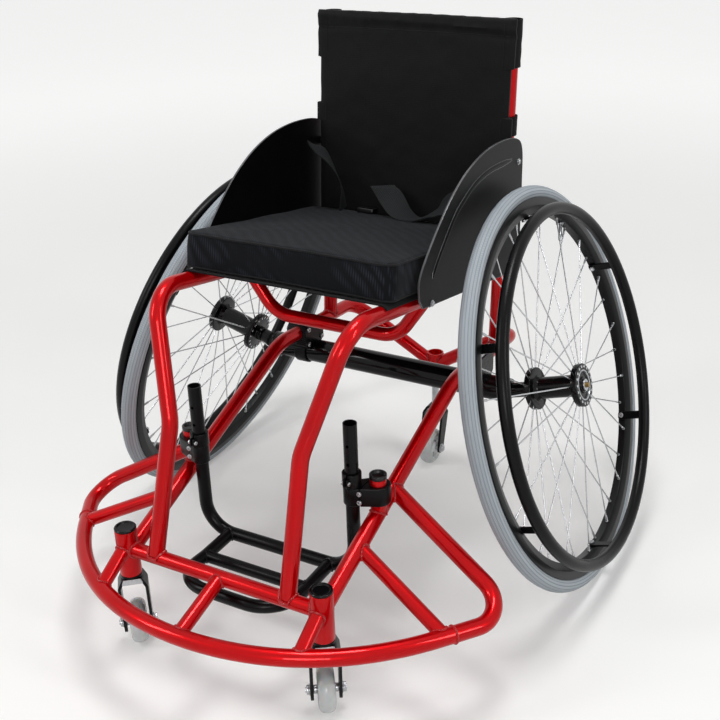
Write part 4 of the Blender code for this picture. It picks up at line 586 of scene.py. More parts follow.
def bent(points: Sequence[Vector], radii: Sequence[float], step: float = math.radians(5)) -> list[Vector]:
    """Return a centreline through corner points, each inner corner rounded to its own radius."""
    path = [points[0].copy()]
    for before, corner, after, radius in zip(points, points[1:], points[2:], radii):
        back = (before - corner).normalized()
        ahead = (after - corner).normalized()
        turn = math.pi - back.angle(ahead)
        reach = radius * math.tan(turn / 2)
        centre = corner + (back + ahead).normalized() * radius / math.cos(turn / 2)
        first = corner + back * reach - centre
        last = corner + ahead * reach - centre
        axis = first.cross(last)
        steps = max(2, math.ceil(turn / step))
        for index in range(steps + 1):
            path.append(centre + Quaternion(axis, turn * index / steps) @ first)
    path.append(points[-1].copy())
    return path


def smooth_route(points: Sequence[Vector], count: int) -> list[Vector]:
    """Return points along a Catmull-Rom curve through the given ones, count to each stretch."""
    ends = [2 * points[0] - points[1], *points, 2 * points[-1] - points[-2]]
    route = []
    for p0, p1, p2, p3 in zip(ends, ends[1:], ends[2:], ends[3:]):
        for index in range(count):
            t = index / count
            route.append((2 * p1 + (p2 - p0) * t + (2 * p0 - 5 * p1 + 4 * p2 - p3) * t**2
                          + (3 * p1 - p0 - 3 * p2 + p3) * t**3) / 2)
    route.append(points[-1].copy())
    return route


def transported(path: Sequence[Vector]) -> list[Matrix]:
    """Return a frame at each point of a path, its Z along the path, carried on without twist."""
    tangents = []
    for index in range(len(path)):
        before = path[max(index - 1, 0)]
        after = path[min(index + 1, len(path) - 1)]
        tangents.append((after - before).normalized())
    turn = UP.rotation_difference(tangents[0])
    frames = []
    for index, (point, tangent) in enumerate(zip(path, tangents)):
        if index:
            turn = tangents[index - 1].rotation_difference(tangent) @ turn
        frames.append(Matrix.Translation(point) @ turn.to_matrix().to_4x4())
    return frames


def axes_frame(origin: Vector, x: Vector, z: Vector) -> Matrix:
    """Return the frame at a point whose Z is one direction and whose X lies nearest to another."""
    z_axis = z.normalized()
    x_axis = (x - z_axis * x.dot(z_axis)).normalized()
    y_axis = z_axis.cross(x_axis)
    turn = Matrix((x_axis, y_axis, z_axis)).transposed().to_4x4()
    return Matrix.Translation(origin) @ turn


def fill_ends(bm: bmesh.types.BMesh) -> bmesh.types.BMesh:
    """Close every open loop of edges."""
    bmesh.ops.holes_fill(bm, edges=[edge for edge in bm.edges if edge.is_boundary])
    return bm


def skin(rings: Sequence[Sequence[Vector]], closed: bool = False, capped: bool = True) -> bmesh.types.BMesh:
    """Grow a skin from ring to ring.

    Args:
        rings: closed loops with as many points each, in order.
        closed: whether the last ring joins the first.
        capped: whether open ends get a face.

    Returns:
        The skin, its normals outwards.
    """
    bm = bmesh.new()
    ring = [bm.verts.new(point) for point in rings[0]]
    edges = [bm.edges.new(pair) for pair in zip(ring, ring[1:] + ring[:1])]
    stations = [*rings[1:], rings[0]] if closed else rings[1:]
    for points in stations:
        grown = bmesh.ops.extrude_edge_only(bm, edges=edges)["geom"]
        fresh = {item for item in grown if isinstance(item, bmesh.types.BMVert)}
        edges = [item for item in grown if isinstance(item,
                                                      bmesh.types.BMEdge) and fresh.issuperset(item.verts)]
        ring = [next(edge.other_vert(vert) for edge in vert.link_edges if edge.other_vert(vert) in fresh)
                for vert in ring]
        for vert, point in zip(ring, points):
            vert.co = point
    if closed:
        bmesh.ops.remove_doubles(bm, verts=bm.verts, dist=MERGE_DISTANCE)
    elif capped:
        fill_ends(bm)
    bmesh.ops.recalc_face_normals(bm, faces=bm.faces)
    return bm


def loft(section: Section, frames: Sequence[Matrix], closed: bool = False, capped: bool = True
         ) -> bmesh.types.BMesh:
    """Carry a closed section, which lies in the frames' XY plane, through a run of frames."""
    rings = [[place @ Vector((x, y, 0.0)) for x, y in section] for place in frames]
    return skin(rings, closed, capped)


def tube(path: Sequence[Vector], radius: float, faces: int = 28, capped: bool = True) -> bmesh.types.BMesh:
    """Carry a circle along a centreline."""
    return loft(circle(radius, faces), transported(path), capped=capped)


def lathe(profile: Section, steps: int = 48, closed: bool = False, place: Matrix | None = None
          ) -> bmesh.types.BMesh:
    """Turn a profile of (along the axis, radius) pairs round the local Z axis.

    Args:
        profile: the profile's points in order.
        steps: number of facets round the axis.
        closed: whether the last point joins the first.
        place: the frame that the turned piece stands in.

    Returns:
        The turned skin.
    """
    bm = bmesh.new()
    verts = [bm.verts.new((radius, 0.0, along)) for along, radius in profile]
    pairs = list(zip(verts, verts[1:]))
    if closed:
        pairs.append((verts[-1], verts[0]))
    edges = [bm.edges.new(pair) for pair in pairs]
    bmesh.ops.spin(bm, geom=verts + edges, axis=UP, cent=Vector(), angle=2 * math.pi, steps=steps,
                   use_merge=True)
    bmesh.ops.remove_doubles(bm, verts=bm.verts, dist=MERGE_DISTANCE)
    bmesh.ops.recalc_face_normals(bm, faces=bm.faces)
    if place is not None:
        bmesh.ops.transform(bm, verts=bm.verts, matrix=place)
    return bm


def prism(outline: Section, depth: float, place: Matrix | None = None, bevel: float = 0.0, segments: int = 2
          ) -> bmesh.types.BMesh:
    """Extrude an outline in the local XY plane along Z, and ease its edges.

    Args:
        outline: corners in order.
        depth: how far it is extruded.
        place: the frame that it stands in.
        bevel: width of the eased edges.
        segments: facets across each eased edge.

    Returns:
        The solid.
    """
    bm = bmesh.new()
    face = bm.faces.new([bm.verts.new((x, y, 0.0)) for x, y in outline])
    grown = bmesh.ops.extrude_face_region(bm, geom=[face])["geom"]
    verts = [item for item in grown if isinstance(item, bmesh.types.BMVert)]
    bmesh.ops.translate(bm, verts=verts, vec=(0.0, 0.0, depth))
    bmesh.ops.recalc_face_normals(bm, faces=bm.faces)
    if bevel:
        eased(bm, bevel, segments)
    if place is not None:
        bmesh.ops.transform(bm, verts=bm.verts, matrix=place)
    return bm


def eased(bm: bmesh.types.BMesh, width: float, segments: int = 2, angle: float = math.radians(40)
          ) -> bmesh.types.BMesh:
    """Bevel the edges where two faces meet at more than an angle."""
    edges = [edge for edge in bm.edges if len(edge.link_faces) == 2 and edge.calc_face_angle() > angle]
    bmesh.ops.bevel(bm, geom=edges, offset=width, offset_type="OFFSET", segments=segments, profile=0.5,
                    affect="EDGES", clamp_overlap=True, material=-1)
    return bm


def gathered(parts: Iterable[bmesh.types.BMesh]) -> bmesh.types.BMesh:
    """Put several skins into one, each kept whole."""
    whole = bmesh.new()
    for part in parts:
        shared = bpy.data.meshes.new("part")
        part.to_mesh(shared)
        part.free()
        whole.from_mesh(shared)
        bpy.data.meshes.remove(shared)
    return whole


def moved(bm: bmesh.types.BMesh, place: Matrix) -> bmesh.types.BMesh:
    """Stand a skin in another frame."""
    bmesh.ops.transform(bm, verts=bm.verts, matrix=place)
    return bm


def loose_object(name: str, bm: bmesh.types.BMesh) -> bpy.types.Object:
    """Make an object of a skin and free the skin."""
    mesh = bpy.data.meshes.new(name)
    bm.to_mesh(mesh)
    bm.free()
    obj = bpy.data.objects.new(name, mesh)
    bpy.context.scene.collection.objects.link(obj)
    return obj


def carved(solid: bmesh.types.BMesh, cutters: Iterable[bmesh.types.BMesh]) -> bmesh.types.BMesh:
    """Cut closed skins out of a closed skin.

    Args:
        solid: what is cut.
        cutters: what is taken away, one after the other.

    Returns:
        The cut skin.
    """
    body = loose_object("carved", solid)
    tools = [loose_object("cutter", cutter) for cutter in cutters]
    for tool in tools:
        modifier = body.modifiers.new("cut", "BOOLEAN")
        modifier.operation = "DIFFERENCE"
        modifier.solver = "EXACT"
        modifier.object = tool
    bpy.context.view_layer.update()
    result = bmesh.new()
    result.from_object(body, bpy.context.evaluated_depsgraph_get())
    for obj in (body, *tools):
        mesh = obj.data
        bpy.data.objects.remove(obj)
        bpy.data.meshes.remove(mesh)
    return result


def shift(x: float, y: float, z: float) -> Matrix:
    """Return the frame that is moved and not turned."""
    return Matrix.Translation((x, y, z))


def rectangle(x0: float, y0: float, x1: float, y1: float) -> list[tuple[float, float]]:
    """Return the corners of a rectangle."""
    return [(x0, y0), (x1, y0), (x1, y1), (x0, y1)]


def ring_profile(low: float, high: float, inner: float, outer: float) -> list[tuple[float, float]]:
    """Return the profile of a plain ring or, where the inner radius is 0, of a disc."""
    return [(low, inner), (low, outer), (high, outer), (high, inner)]


def round_profile(along: float, middle: float, radius: float, faces: int) -> list[tuple[float, float]]:
    """Return the profile of a ring with a round section."""
    angles = [2 * math.pi * k / faces for k in range(faces)]
    return [(along + radius * math.sin(a), middle + radius * math.cos(a)) for a in angles]


def loop_frames(path: Sequence[Vector], x: Vector) -> list[Matrix]:
    """Return a frame at each point of a closed path, Z along the path and X nearest to a direction."""
    return [axes_frame(point, x, path[(index + 1) % len(path)] - path[index - 1])
            for index, point in enumerate(path)]


def spun(profile: Section, ease: float, steps: int, place: Matrix | None = None, closed: bool = False,
         chords: int = 3) -> bmesh.types.BMesh:
    """Round the corners of a profile and turn it.

    Args:
        profile: the profile's points, as for `lathe`.
        ease: radius of its rounded corners.
        steps: number of facets round the axis.
        place: the frame that the turned piece stands in.
        closed: whether the last point joins the first.
        chords: facets across each rounded corner.
    """
    return lathe(filleted(profile, ease, chords, closed), steps, closed, place)


@dataclass(frozen=True)
class Bar:
    """A straight round bar: a point on its axis, its heading and its radius."""

    point: Vector
    heading: Vector
    radius: float


def around(base: Matrix, angle: float) -> tuple[Vector, Vector]:
    """Return the direction at an angle round a frame's Z, and the one along the circle there."""
    turn = base.to_3x3()
    out = turn @ Vector((math.cos(angle), math.sin(angle), 0.0))
    return out, turn @ Vector((-math.sin(angle), math.cos(angle), 0.0))


def weld_bead(branch: Bar, main: Bar, size: float = 0.0019) -> bmesh.types.BMesh:
    """Lay a rippled bead where a branch tube meets a main tube.

    Args:
        branch: the branch, its heading away from the main tube.
        main: the tube it is welded to, taken as straight near the joint.
        size: the bead's mean radius.

    Returns:
        The bead's skin.
    """
    away = branch.heading.normalized()
    along = main.heading.normalized()
    base = axes_frame(branch.point, along, away)
    flat_away = away - along * away.dot(along)
    frames = []
    steps = max(48, round(2 * math.pi * branch.radius / BEAD_STEP))
    for index in range(steps):
        angle = 2 * math.pi * index / steps
        side, across = around(base, angle)
        start = branch.point + side * branch.radius
        offset = start - main.point
        flat = offset - along * offset.dot(along)
        a = flat_away.length_squared
        b = flat.dot(flat_away)
        c = flat.length_squared - main.radius ** 2
        reach = (-b + math.sqrt(max(b * b - a * c, 0.0))) / a
        point = start + away * reach
        ripple = 1 + BEAD_RIPPLE * math.sin(2 * math.pi * index / 3) + 0.10 * noise.noise(point * 300)
        frames.append(axes_frame(point, side, across) @ Matrix.Scale(size * ripple, 4))
    return loft(circle(1.0, 8), frames, closed=True)


def ring_bead(middle: Vector, heading: Vector, radius: float, size: float = 0.0016) -> bmesh.types.BMesh:
    """Lay a rippled bead round a butt joint."""
    base = axes_frame(middle, UP, heading)
    steps = round(2 * math.pi * radius / BEAD_STEP)
    frames = []
    for index in range(steps):
        angle = 2 * math.pi * index / steps
        side, across = around(base, angle)
        ripple = 1 + BEAD_RIPPLE * math.sin(2 * math.pi * index / 3)
        frames.append(axes_frame(middle + side * radius, side, across) @ Matrix.Scale(size * ripple, 4))
    return loft(circle(1.0, 8), frames, closed=True)


def screw(place: Matrix, radius: float, height: float, socket: bool = True) -> bmesh.types.BMesh:
    """Make a cap screw's head standing on the frame's origin along its Z, with a hexagon socket."""
    head = spun(ring_profile(0.0, height, 0.0, radius), radius * 0.18, 28)
    if socket:
        drop = height * 0.55
        hexagon = prism(circle(radius * 0.55, 6), height, shift(0.0, 0.0, height - drop))
        head = carved(head, [hexagon])
    return moved(head, place)


def washer(place: Matrix, radius: float, bore: float, height: float) -> bmesh.types.BMesh:
    """Make a flat washer standing on the frame's origin along its Z."""
    outline = filleted(ring_profile(0.0, height, bore, radius), height * 0.3, 2)
    return lathe(outline, 32, closed=True, place=place)


def hex_nut(place: Matrix, radius: float, height: float, bore: float) -> bmesh.types.BMesh:
    """Make a hexagon nut with eased corners, standing on the frame's origin along its Z."""
    body = prism(circle(radius, 6), height, bevel=radius * 0.09)
    hole = prism(circle(bore, 20), height * 3, shift(0.0, 0.0, -height))
    return moved(carved(body, [hole]), place)


def keep_flat(mesh: bpy.types.Mesh) -> None:
    """Mark the borders of many-sided flat faces as sharp, so that they shade flat."""
    for face in mesh.polygons:
        if len(face.vertices) > FLAT_FACE_SIDES:
            for corner in face.loop_indices:
                mesh.edges[mesh.loops[corner].edge_index].use_edge_sharp = True


def settle(name: str, bm: bmesh.types.BMesh, finish: Finish, node: str = "", body: str = FRAME,
           side: Side | None = None) -> bpy.types.Object:
    """Move a finished skin to the row's frame and hang it on its body.

    Args:
        name: the piece's name.
        bm: its skin, in the chair's frame.
        finish: what it is made of.
        node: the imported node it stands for.
        body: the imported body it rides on.
        side: the side whose word ends the names of the piece, the node and any body but the frame.
    """
    if side is not None:
        name, node = side.named(name), node and side.named(node)
        body = body if body == FRAME else side.named(body)
    bmesh.ops.translate(bm, verts=bm.verts, vec=(0.0, DATUM_Y, 0.0))
    obj = loose_object(name, bm)
    obj.data.shade_smooth()
    obj.data.set_sharp_from_angle(angle=SHARP_ANGLE)
    if not isinstance(finish, Cloth):
        keep_flat(obj.data)
    obj.data.materials.append(finish.material())
    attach(obj, body)
    if node:
        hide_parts(node)
    LOG.info("%s: %d faces on %s", name, len(obj.data.polygons), body)
    return obj


# Centrelines of the frame, the same as the solids'


@dataclass(frozen=True)
class FrameLines:
    """Sizes and centrelines of the frame's tubes, in metres from the main axle's station."""

    tube: float = 0.0113
    brace: float = 0.0098
    cross: float = 0.0104
    seat_cross: float = 0.0098
    barrel_x: float = 0.1555
    barrel_y: float = -0.4800
    barrel_radius: float = 0.0152
    barrel_low: float = 0.1240
    barrel_high: float = 0.1950
    barrel_bore: float = 0.0115
    rear_barrel_y: float = 0.1810
    rear_barrel_radius: float = 0.0145
    rear_barrel_low: float = 0.1520
    rear_barrel_high: float = 0.2120
    rear_barrel_mouth: float = 0.0118
    rear_join_z: float = 0.1880
    cross_z: float = 0.1645
    barrel_brace_z: float = 0.1710
    bumper_z: float = 0.1389
    bumper_front: float = -0.5768
    bumper_tilt: float = -0.0735
    bumper_arcs: tuple = ((0.3628, 13.1), (0.3257, 40.0), (0.3972, 55.3))
    wing_joint_x: float = 0.3010
    wing_corner_x: float = 0.3550
    wing_corner_radius: float = 0.0405
    wing_rail_y: float = -0.2804
    wing_brace_x: float = 0.2941
    wing_brace_rail_y: float = -0.3778
    rail_front_x: float = 0.1522
    rail_front_z: float = 0.1588
    rail_bend_x: float = 0.1537
    rail_bend_y: float = -0.0790
    rail_bend_z: float = 0.307486
    rail_bend_radius: float = 0.1200
    rail_rear_slope: float = math.tan(math.radians(-4.6))
    rail_rear_x: float = 0.1535
    rail_rear_y: float = 0.1640
    rail_rear_radius: float = 0.0400
    down_foot_x: float = 0.1050
    down_foot_z: float = 0.1685
    down_bend: tuple = (0.1012, -0.4250, 0.3450)
    down_bend_radius: float = 0.0700
    knee: tuple = (0.1480, -0.3724, 0.5090)
    knee_radius: float = 0.0520
    seat_slope: float = math.tan(math.radians(-10.4))
    cane_foot: tuple = (0.1525, 0.0820, 0.3000)
    cane_top: tuple = (0.1500, 0.1240, 0.7870)
    seat_cross_y: float = -0.1600
    seat_cross_z: float = 0.4000
    seat_cross_x: float = 0.1015
    seat_cross_bend: float = 0.0500
    stub_x: float = 0.1535
    stub_y: float = -0.3220
    stub_height: float = 0.0546
    stub_bore: float = 0.0090
    foot_passes: int = 4

    def barrel_point(self, side: Side, z: float) -> Vector:
        """Point of a caster barrel's axis."""
        return Vector((side.value * self.barrel_x, self.barrel_y, z))

    def rail_z(self, y: float) -> float:
        """Height of the lower rail's straight stretches."""
        if y < self.rail_bend_y:
            rise = (self.rail_bend_z - self.rail_front_z) / (self.rail_bend_y - self.barrel_y)
        else:
            rise = self.rail_rear_slope
        return self.rail_bend_z + rise * (y - self.rail_bend_y)

    def rail_point(self, side: Side, y: float) -> Vector:
        """Point of a lower rail's centreline."""
        if y < self.rail_bend_y:
            share = (y - self.barrel_y) / (self.rail_bend_y - self.barrel_y)
            x = self.rail_front_x + (self.rail_bend_x - self.rail_front_x) * share
        else:
            share = (y - self.rail_bend_y) / (self.rail_rear_y - self.rail_bend_y)
            x = self.rail_bend_x + (self.rail_rear_x - self.rail_bend_x) * share
        return Vector((side.value * x, y, self.rail_z(y)))

    def rail_path(self, side: Side) -> list[Vector]:
        """Centreline of a lower rail, from its caster barrel to the rear barrel."""
        corners = [self.rail_point(side, self.barrel_y), self.rail_point(side, self.rail_bend_y),
                   self.rail_point(side, self.rail_rear_y), Vector((0.0, self.rear_barrel_y,
                                                                    self.rear_join_z))]
        return bent(corners, [self.rail_bend_radius, self.rail_rear_radius])

    def cane_point(self, side: Side, z: float) -> Vector:
        """Point of a back cane's centreline."""
        foot, top = Vector(self.cane_foot), Vector(self.cane_top)
        return side.point(foot + (top - foot) * (z - foot.z) / (top.z - foot.z))

    def cane_base(self, side: Side) -> Vector:
        """Where a cane's line meets its lower rail's centreline."""
        y = self.cane_foot[1]
        for _ in range(self.foot_passes):
            y = self.cane_point(side, self.rail_z(y)).y
        return self.cane_point(side, self.rail_z(y))

    def seat_rail_end(self, side: Side) -> Vector:
        """Where a seat rail's line meets its cane's centreline."""
        knee = Vector(self.knee)
        z = knee.z
        for _ in range(self.foot_passes):
            z = knee.z + self.seat_slope * (self.cane_point(side, z).y - knee.y)
        return self.cane_point(side, z)

    def seat_point(self, side: Side, y: float) -> Vector:
        """Point of a seat rail's straight stretch."""
        start = side.point(Vector(self.knee))
        end = self.seat_rail_end(side)
        return start + (end - start) * (y - start.y) / (end.y - start.y)

    def seat_normal(self) -> Vector:
        """Unit vector square to the seat rails, upwards."""
        along = self.seat_rail_end(Side.LEFT) - Vector(self.knee)
        return Vector((0.0, -along.z, along.y)).normalized()

    def seat_path(self, side: Side) -> list[Vector]:
        """Centreline of a down tube and its seat rail."""
        foot = Vector((side.value * self.down_foot_x, self.barrel_y, self.down_foot_z))
        corners = [foot, side.point(Vector(self.down_bend)), side.point(Vector(self.knee)),
                   self.seat_rail_end(side)]
        return bent(corners, [self.down_bend_radius, self.knee_radius])

    def seat_cross_path(self) -> list[Vector]:
        """Centreline of the U-shaped cross tube under the seat."""
        corners = [self.seat_point(Side.RIGHT, self.seat_cross_y),
                   Vector((-self.seat_cross_x, self.seat_cross_y, self.seat_cross_z)),
                   Vector((self.seat_cross_x, self.seat_cross_y, self.seat_cross_z)),
                   self.seat_point(Side.LEFT, self.seat_cross_y)]
        return bent(corners, [self.seat_cross_bend] * 2)

    def on_bumper(self, point: Vector) -> Vector:
        """The point at the height of the bumper, which sinks a little towards its ends."""
        return Vector((point.x, point.y, self.bumper_z + self.bumper_tilt * (point.y - self.bumper_front)))

    def bumper_half(self, steps: int = 12) -> list[Vector]:
        """Centreline of the bumper's left half, from its middle to the end of its last arc."""
        path = [Vector((0.0, self.bumper_front, self.bumper_z))]
        heading = 0.0
        for radius, degrees in self.bumper_arcs:
            end = math.radians(degrees)
            centre = path[-1] + Vector((-math.sin(heading), math.cos(heading), 0.0)) * radius
            for index in range(1, steps + 1):
                angle = heading + (end - heading) * index / steps
                path.append(centre + Vector((math.sin(angle), -math.cos(angle), 0.0)) * radius)
            heading = end
        return [self.on_bumper(point) for point in path]

    def bumper_straight(self, x: float) -> Vector:
        """Point of the bumper's straight end."""
        start = self.bumper_half()[-1]
        heading = math.radians(self.bumper_arcs[-1][1])
        return self.on_bumper(start + Vector((1.0, math.tan(heading), 0.0)) * (x - start.x))

    def bumper_point(self, x: float) -> Vector:
        """Point of the bumper's centreline at a distance from the middle."""
        half = self.bumper_half()
        for start, end in zip(half, half[1:]):
            if start.x <= x <= end.x:
                return start + (end - start) * (x - start.x) / (end.x - start.x)
        return self.bumper_straight(x)

    def bumper_heading(self, x: float) -> Vector:
        """Direction of the bumper's centreline at a distance from the middle."""
        step = 0.001
        return (self.bumper_point(x + step) - self.bumper_point(max(x - step, 0.0))).normalized()

    def bumper_path(self) -> list[Vector]:
        """Centreline of the bumper from its right joint to its left one."""
        half = self.bumper_half() + [self.bumper_straight(self.wing_joint_x)]
        return [Side.RIGHT.point(point) for point in reversed(half[1:])] + half

    def wing_path(self, side: Side) -> list[Vector]:
        """Centreline of a side wing, from its joint with the bumper round its corner to the lower rail."""
        corners = [self.bumper_straight(self.wing_joint_x), self.bumper_straight(self.wing_corner_x),
                   self.rail_point(Side.LEFT, self.wing_rail_y)]
        return [side.point(point) for point in bent(corners, [self.wing_corner_radius])]


LINES = FrameLines()


@dataclass(frozen=True)
class RedFrame:
    """The welded frame: every tube a skin of its own, with its beads."""

    def build(self) -> None:
        """Build the tubes, barrels and beads."""
        settle("bumper_tube", tube(LINES.bumper_path(), LINES.tube), RED_ENAMEL, "bumper_arc")
        ends = [LINES.barrel_point(side, LINES.cross_z) for side in Side]
        settle("cross_tube", tube(self.straight(*ends), LINES.cross), RED_ENAMEL, "front_cross_tube")
        brace = [Vector((0.0, LINES.barrel_y, LINES.cross_z)), LINES.bumper_point(0.0)]
        settle("middle_brace", tube(self.straight(*brace), LINES.brace), RED_ENAMEL, "centre_brace")
        settle("seat_u_tube", tube(LINES.seat_cross_path(), LINES.seat_cross), RED_ENAMEL, "seat_cross_tube")
        for side in Side:
            self.build_side(side)
        self.build_rear_barrel()
        settle("weld_beads", gathered(self.beads()), RED_WELD)

    @staticmethod
    def straight(start: Vector, end: Vector) -> list[Vector]:
        """Return a straight path with a few stations."""
        return [start.lerp(end, index / 4) for index in range(5)]

    def build_side(self, side: Side) -> None:
        """Build one side's rails, cane, wing, braces, barrel and footrest stub."""
        rail = gathered([tube(LINES.rail_path(side), LINES.tube), self.stub(side)])
        settle("rail_tube", rail, RED_ENAMEL, "lower_rail", side=side)
        settle("seat_tube", tube(LINES.seat_path(side), LINES.tube), RED_ENAMEL, "seat_rail", side=side)
        cane = self.straight(LINES.cane_base(side), LINES.cane_point(side, LINES.cane_top[2]))
        settle("cane_tube", tube(cane, LINES.tube), RED_ENAMEL, "back_cane", side=side)
        settle("wing_tube", tube(LINES.wing_path(side), LINES.tube), RED_ENAMEL, "wing_loop", side=side)
        brace = self.straight(LINES.rail_point(side, LINES.wing_brace_rail_y),
                              side.point(LINES.bumper_point(LINES.wing_brace_x)))
        settle("wing_brace_tube", tube(brace, LINES.brace), RED_ENAMEL, "wing_brace", side=side)
        settle("barrel_and_brace", self.barrel(side), RED_ENAMEL, "caster_barrel", side=side)

    def barrel(self, side: Side) -> bmesh.types.BMesh:
        """Turn a caster barrel with its bore, and run its brace to the bumper."""
        wall = ring_profile(LINES.barrel_low, LINES.barrel_high, LINES.barrel_bore, LINES.barrel_radius)
        place = shift(side.value * LINES.barrel_x, LINES.barrel_y, 0.0)
        turned = spun(wall, 0.0008, 48, place, closed=True)
        end = side.point(LINES.bumper_point(LINES.barrel_x))
        middle = LINES.barrel_point(side, LINES.barrel_brace_z)
        start = middle + (end - middle).normalized() * (LINES.barrel_bore + 0.001)
        return gathered([turned, tube(self.straight(start, end), LINES.brace)])

    def stub(self, side: Side) -> bmesh.types.BMesh:
        """Turn the stub that carries the footrest clamp, open at its top."""
        low = LINES.rail_z(LINES.stub_y)
        high = low + LINES.stub_height
        drop = 0.0120
        wall = [(low, 0.0), (low, LINES.tube), (high, LINES.tube), (high, LINES.stub_bore),
                (high - drop, LINES.stub_bore), (high - drop, 0.0)]
        place = shift(side.value * LINES.stub_x, LINES.stub_y, 0.0)
        return spun(wall, 0.0006, 36, place, chords=2)

    def build_rear_barrel(self) -> None:
        """Turn the rear caster's barrel: a stem bore below a wide open mouth."""
        seat = LINES.rear_barrel_low + 0.0200
        stem = 0.0065
        wall = [(LINES.rear_barrel_low, stem), (LINES.rear_barrel_low, LINES.rear_barrel_radius),
                (LINES.rear_barrel_high, LINES.rear_barrel_radius),
                (LINES.rear_barrel_high, LINES.rear_barrel_mouth),
                (seat, LINES.rear_barrel_mouth), (seat, stem)]
        place = shift(0.0, LINES.rear_barrel_y, 0.0)
        settle("rear_barrel_tube", spun(wall, 0.0007, 48, place, closed=True), RED_ENAMEL, "rear_barrel")

    def beads(self) -> list[bmesh.types.BMesh]:
        """Lay a bead at each joint of two tubes."""
        front = LINES.bumper_point(0.0)
        middle = Vector((0.0, LINES.barrel_y, LINES.cross_z))
        cross = Bar(middle, ACROSS, LINES.cross)
        ahead = (front - middle).normalized()
        beads = [
            weld_bead(Bar(middle, ahead, LINES.brace), cross),
            weld_bead(Bar(front, -ahead, LINES.brace), Bar(front, ACROSS, LINES.tube)),
        ]
        for side in Side:
            beads += self.side_beads(side, cross)
        return beads

    def side_beads(self, side: Side, cross: Bar) -> list[bmesh.types.BMesh]:
        """Lay the beads of one side."""
        barrel = Bar(LINES.barrel_point(side, 0.0), UP, LINES.barrel_radius)
        rail_path = LINES.rail_path(side)
        rail_ahead = (rail_path[1] - rail_path[0]).normalized()
        rail_tail = (rail_path[-2] - rail_path[-1]).normalized()
        rear = Bar(Vector((0.0, LINES.rear_barrel_y, 0.0)), UP, LINES.rear_barrel_radius)
        seat_path = LINES.seat_path(side)
        seat_line = seat_path[-1] - seat_path[-2]
        cane_base = LINES.cane_base(side)
        cane_line = LINES.cane_point(side, LINES.cane_top[2]) - cane_base
        rail_by_cane = Bar(cane_base, LINES.rail_point(side, 0.05) - LINES.rail_point(side, 0.0), LINES.tube)
        seat_end = LINES.seat_rail_end(side)
        u_path = LINES.seat_cross_path()
        u_end, u_next = (u_path[-1], u_path[-2]) if side is Side.LEFT else (u_path[0], u_path[1])
        front = side.point(LINES.bumper_point(LINES.barrel_x))
        front_line = side.point(LINES.bumper_heading(LINES.barrel_x))
        brace_foot = LINES.barrel_point(side, LINES.barrel_brace_z)
        wing = LINES.wing_path(side)
        wing_foot = LINES.rail_point(side, LINES.wing_brace_rail_y)
        wing_tip = side.point(LINES.bumper_point(LINES.wing_brace_x))
        low_rail = LINES.rail_point(side, LINES.wing_rail_y) - LINES.rail_point(side, LINES.barrel_y)
        stub = Vector((side.value * LINES.stub_x, LINES.stub_y, LINES.rail_z(LINES.stub_y)))
        joint = side.point(LINES.bumper_straight(LINES.wing_joint_x))
        joint_line = side.point(LINES.bumper_heading(LINES.wing_joint_x))
        return [
            weld_bead(Bar(rail_path[0], rail_ahead, LINES.tube), barrel),
            weld_bead(Bar(rail_path[-1], rail_tail, LINES.tube), rear),
            weld_bead(Bar(seat_path[0], seat_path[1] - seat_path[0], LINES.tube), cross, 0.0023),
            weld_bead(Bar(LINES.barrel_point(side, LINES.cross_z), -side.out, LINES.cross), barrel, 0.0023),
            weld_bead(Bar(seat_end, -seat_line, LINES.tube), Bar(seat_end, cane_line, LINES.tube)),
            weld_bead(Bar(cane_base, cane_line, LINES.tube), rail_by_cane),
            weld_bead(Bar(u_end, u_next - u_end, LINES.seat_cross), Bar(u_end, seat_line, LINES.tube)),
            weld_bead(Bar(brace_foot, front - brace_foot, LINES.brace), barrel),
            weld_bead(Bar(front, brace_foot - front, LINES.brace), Bar(front, front_line, LINES.tube)),
            weld_bead(Bar(wing[-1], wing[-2] - wing[-1], LINES.tube), Bar(wing[-1], low_rail, LINES.tube)),
            weld_bead(Bar(wing_foot, wing_tip - wing_foot, LINES.brace), Bar(wing_foot, low_rail,
                                                                             LINES.tube)),
            weld_bead(Bar(wing_tip, wing_foot - wing_tip, LINES.brace), Bar(wing_tip, joint_line,
                                                                            LINES.tube)),
            weld_bead(Bar(stub, UP, LINES.tube), Bar(stub, low_rail, LINES.tube)),
            ring_bead(joint, joint_line, LINES.tube),
        ]


# Main wheels and their axle


